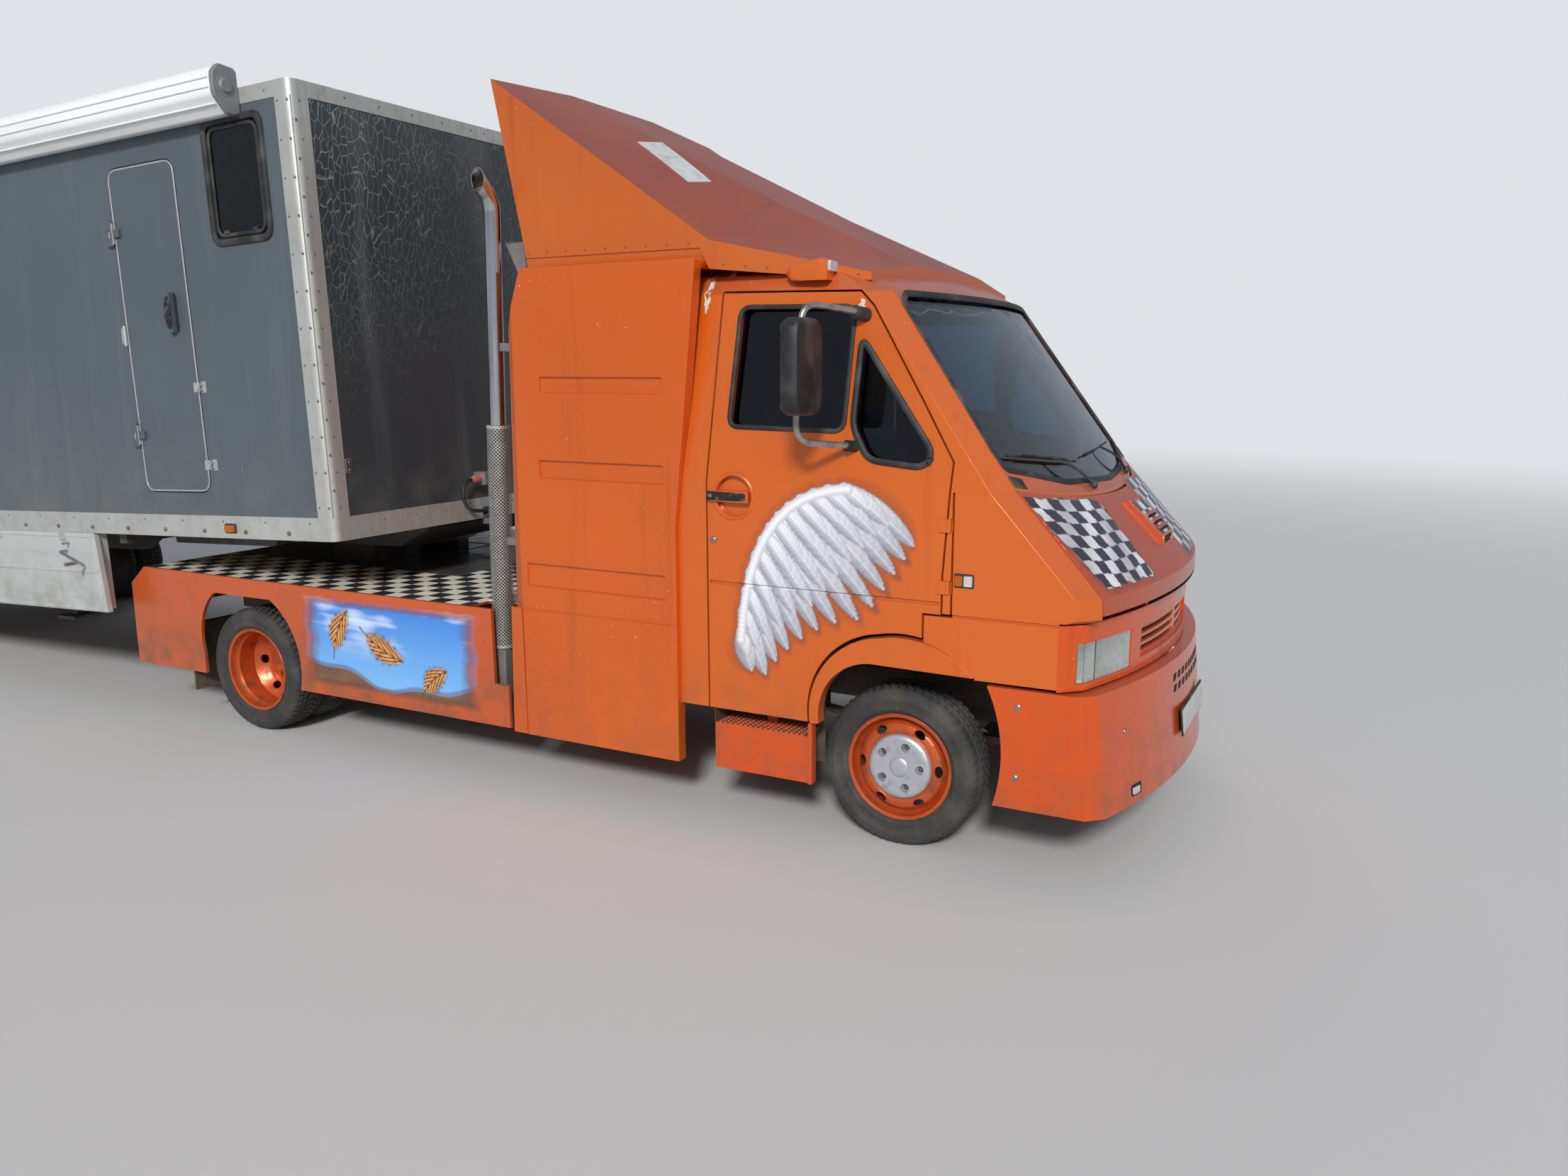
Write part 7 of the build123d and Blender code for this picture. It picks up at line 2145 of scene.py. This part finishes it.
# Trailer door furniture
# A bright edge strip runs round the door. It hangs on three light-alloy hinges at its rear edge, and
# has a black pull in a dished cup and two steel hasps.
door_heart = (-1.0975, -1.1985, 1.028)
door_edge = faced(filled_in(oblong(0.2525, 0.796, 0.064), 0.06), door_heart, outwards)
door_shrink = (door_edge - door_heart) * (0.982, 1, 0.9945) + door_heart
edge_strip = bar(door_shrink, 0.0048, (0, 1, 0), closed=True, flat=0.5, sides=8)
light_alloy = mottled(
    "light_alloy", rgb(206, 208, 206), rgb(150, 150, 144), 30.0, 4.0, metal=0.5, rough=0.45,
)
trailer_piece("trailer_door_edge", [edge_strip], light_alloy, "trailer_aluminium", "trailer_entry")
hinges = []
for w in (0.520, 1.020, 1.520):
    pin = [(-1.352, -1.2085, w - 0.050), (-1.352, -1.2085, w + 0.050)]
    hinges.append(bar(pin, 0.009, (1, 0, 0), sides=14))
    hinges.append(side_plate(-1.372, w, 0.019, 0.040, 0.004, 0.006, -1, 1.1975))
trailer_piece("trailer_door_hinges", hinges, light_alloy, "trailer_aluminium")
pull_u = -0.968
cup = [side_plate(pull_u, 1.110, 0.034, 0.098, 0.030, 0.003, -1, 1.1990)]
trailer_piece("trailer_door_cup", cup, black_hollow, "trailer_sheet", "trailer_entry")
pull_w = np.linspace(-0.098, 0.098, 22)
pull_v = -1.2030 - 0.030 * np.cos(math.pi * pull_w / 0.22) ** 0.6
pull_line = xyz(pull_u, pull_v, 1.110 + pull_w)
pull_width = 0.012 + 0.009 * np.cos(math.pi * pull_w / 0.2)
trailer_piece(
    "trailer_door_pull", [bar(pull_line, pull_width, (0, 1, 0), flat=0.5)], handle_black,
    "trailer_sheet", "trailer_entry",
)
arch = np.linspace(0, math.pi, 14)
hasps = []
staples = []
for u, w in ((-0.828, 0.746), (-0.812, 0.364)):
    hasps.append(side_plate(u - 0.030, w, 0.022, 0.024, 0.003, 0.005, -1, 1.1985))
    knuckle = [(u - 0.022, -1.206, w - 0.018), (u - 0.022, -1.206, w + 0.018)]
    hasps.append(bar(knuckle, 0.005, (1, 0, 0), sides=10))
    staples.append(side_plate(u + 0.022, w, 0.016, 0.028, 0.003, 0.005, -1, 1.1972))
    hoop = xyz(u + 0.018, -1.203 - 0.024 * np.sin(arch), w + 0.014 * np.cos(arch))
    staples.append(bar(hoop, 0.0035, (1, 0, 0), sides=8))
trailer_piece("trailer_door_hasps", hasps, light_alloy, "trailer_aluminium", "trailer_entry")
trailer_piece("trailer_door_staples", staples, light_alloy, "trailer_aluminium")

# Awning
# A rolled awning in a white extruded casing with two drip grooves, under the roof's edge on the right.
# Grey end caps close the casing, and the roller's boss shows in the front one.
awning_paint, tree, shader = new_finish("awning_paint", rough=0.35)
algae = between(tree, cloud(tree, 1.0, 6.0, stretched(tree, (0.7, 9.0, 9.0))), 0.45, 0.85)
laid(
    shader, tint(tree, times(tree, algae, 0.5), rgb(234, 236, 235), rgb(168, 168, 156)),
    rough=number(tree, algae, 0.3, 0.6), height=cloud(tree, 8.0, 2.0), depth=0.001,
)
dress(["awning"], awning_paint, edge=0.012)
cap_grey = grained_plastic("cap_grey", rgb(118, 120, 122), 0.5, grain=0.0004, dust=0.5)
casing = [
    (-1.200, 1.945), (-1.200, 2.145), (-1.292, 2.155), (-1.330, 2.112), (-1.330, 2.018),
    (-1.262, 1.935),
]
casing_line = filled_in(rounded(casing, 0.02), 0.03)
boss = turned(
    [(0.0, -0.014), (0.026, -0.014), (0.030, -0.010), (0.034, -0.004), (0.046, -0.003), (0.048, 0.0)],
    32,
)
front_boss = forward(boss, (0, 0, 0))
for name, u, out in (("awning_cap_front", -0.347, 1), ("awning_cap_rear", -6.198, -1)):
    cap = slab(faced(casing_line, (u, 0, 0), (1, 0, 0)), (out, 0, 0), 0.022)
    boss_shell = (front_boss[0] * (out, 1, 1) + (u + out * 0.020, -1.268, 2.060), front_boss[1])
    trailer_piece(name, [cap, boss_shell], cap_grey, "awning_white")
lips = [
    bar([(-6.19, v, w), (-0.36, v, w)], 0.0045, (0, 1, 0), sides=8)
    for v, w in ((-1.3275, 2.094), (-1.3275, 2.052), (-1.300, 1.985))
]
trailer_piece("awning_drip_edges", lips, awning_paint, "awning_white")

# Trailer skirts
# Folded light-grey sheet lockers along both sides, with a stiffening fold, hinged along the top. A steel
# crank hangs on the right one.
skirt_sheet, tree, shader = new_finish("skirt_sheet", metal=0.15, rough=0.5)
splash = times(
    tree, between(tree, height_of(tree), 1.0, 0.55),
    between(tree, cloud(tree, 9.0, 8.0, roughness=0.65), 0.3, 0.75),
)
scuff = between(tree, cloud(tree, 1.0, 5.0, stretched(tree, (1.5, 30.0, 12.0))), 0.55, 0.8)
clean = tint(tree, times(tree, scuff, 0.5), rgb(184, 187, 184), rgb(140, 142, 138))
laid(
    shader, tint(tree, times(tree, splash, 0.6), clean, rgb(126, 119, 106)),
    height=cloud(tree, 2.5, 2.0), depth=0.006,
)
dress(["trailer_skirts"], skirt_sheet, edge=0.003)
skirt_v = 1.1965
# Folds stop at the wheel opening, and the lower one turns up along the slanted rear edge
fold_lines = [
    [(-6.940, -0.020), (-1.872, -0.020)], [(-6.940, -0.215), (-5.450, -0.215)],
    [(-4.700, -0.215), (-1.872, -0.215)], [(-6.940, -0.290), (-6.400, -0.427), (-5.500, -0.427)],
    [(-4.650, -0.427), (-1.872, -0.427)],
]
upright_folds = [[(u, -0.008), (u, -0.434)] for u in (-1.885, -3.150, -4.420, -5.690)]
for side, mark in both_sides:
    folds = []
    for lines, radius in ((fold_lines, 0.010), (upright_folds, 0.008)):
        for line in lines:
            run = [(u, side * skirt_v, w) for u, w in line]
            folds.append(bar(run, radius, (0, 1, 0), flat=0.5, sides=8))
    trailer_piece("skirt_folds_" + mark, folds, skirt_sheet, "skirt_white")
    strap = [side_plate(u, -0.028, 0.030, 0.022, 0.004, 0.005, side) for u in np.arange(-2.15, -6.9, -0.62)]
    trailer_piece("skirt_hinges_" + mark, strap, light_alloy, "skirt_white")
crank_path = bent(
    [
        (-2.130, -1.197, -0.105), (-2.130, -1.240, -0.105), (-1.960, -1.240, -0.160),
        (-1.960, -1.300, -0.160),
    ],
    0.018,
)
stop = bar([(-2.10, -1.235, -0.060), (-2.10, -1.197, -0.060)], 0.007, (1, 0, 0), sides=10)
grip_line = bar([(-1.960, -1.262, -0.160), (-1.960, -1.318, -0.160)], 0.011, (1, 0, 0), sides=12)
trailer_piece(
    "skirt_crank", [bar(crank_path, 0.008, (0, 0.2, 1), sides=12), stop, grip_line], bright_steel,
    "skirt_white",
)

# Trailer lead
# The trailer's electric lead: a grey socket block and a round socket on a steel plate at the nose, a
# red plug, and a black cable that hangs in a loop.
red_plug = grained_plastic("red_plug", rgb(176, 92, 84), 0.5, grain=0.0003, dust=0.3)
grey_block = grained_plastic("grey_block", rgb(96, 98, 100), 0.5, grain=0.0003, dust=0.4)
plug_body = turned(
    [
        (0.0, -0.300), (0.012, -0.300), (0.015, -0.294), (0.021, -0.282), (0.021, -0.240),
        (0.024, -0.238), (0.024, -0.226), (0.0, -0.226),
    ],
    24,
)
trailer_piece(
    "lead_plug", [moved(plug_body, (0.038, 0, 0.218))], red_plug, "plug_plastic",
    hides=("trailer_plug",),
)
block_flat = oblong(0.036, 0.033, 0.008)
block_rings = [
    xyz(u, block_flat[:, 1] * share - 0.2025, block_flat[:, 0] * share + 0.218)
    for u, share in ((-0.003, 1.0), (0.066, 1.0), (0.075, 0.9))
]
back_plate = plate((0.045, -0.196, 0.041), 0.045, 0.071, 0.006, 0.005, outwards)
cup = turned(
    [
        (0.0, -0.206), (0.014, -0.206), (0.015, -0.222), (0.026, -0.222), (0.028, -0.218),
        (0.028, -0.198),
    ],
    28,
)
block_shells = [capped(np.stack(block_rings)), back_plate]
trailer_piece("lead_block", block_shells, grey_block, "plug_plastic")
trailer_piece("lead_socket", [moved(cup, (0.050, 0, 0.040))], grille_black, "plug_plastic")
lead_path = bent(
    [(0.038, -0.290, 0.218), (0.038, -0.372, 0.215), (0.042, -0.372, 0.060), (0.050, -0.215, 0.044)],
    0.075,
)
trailer_piece("lead_cable", [bar(lead_path, 0.0095, (1, 0, 0), sides=12)], grille_black, "plug_plastic")
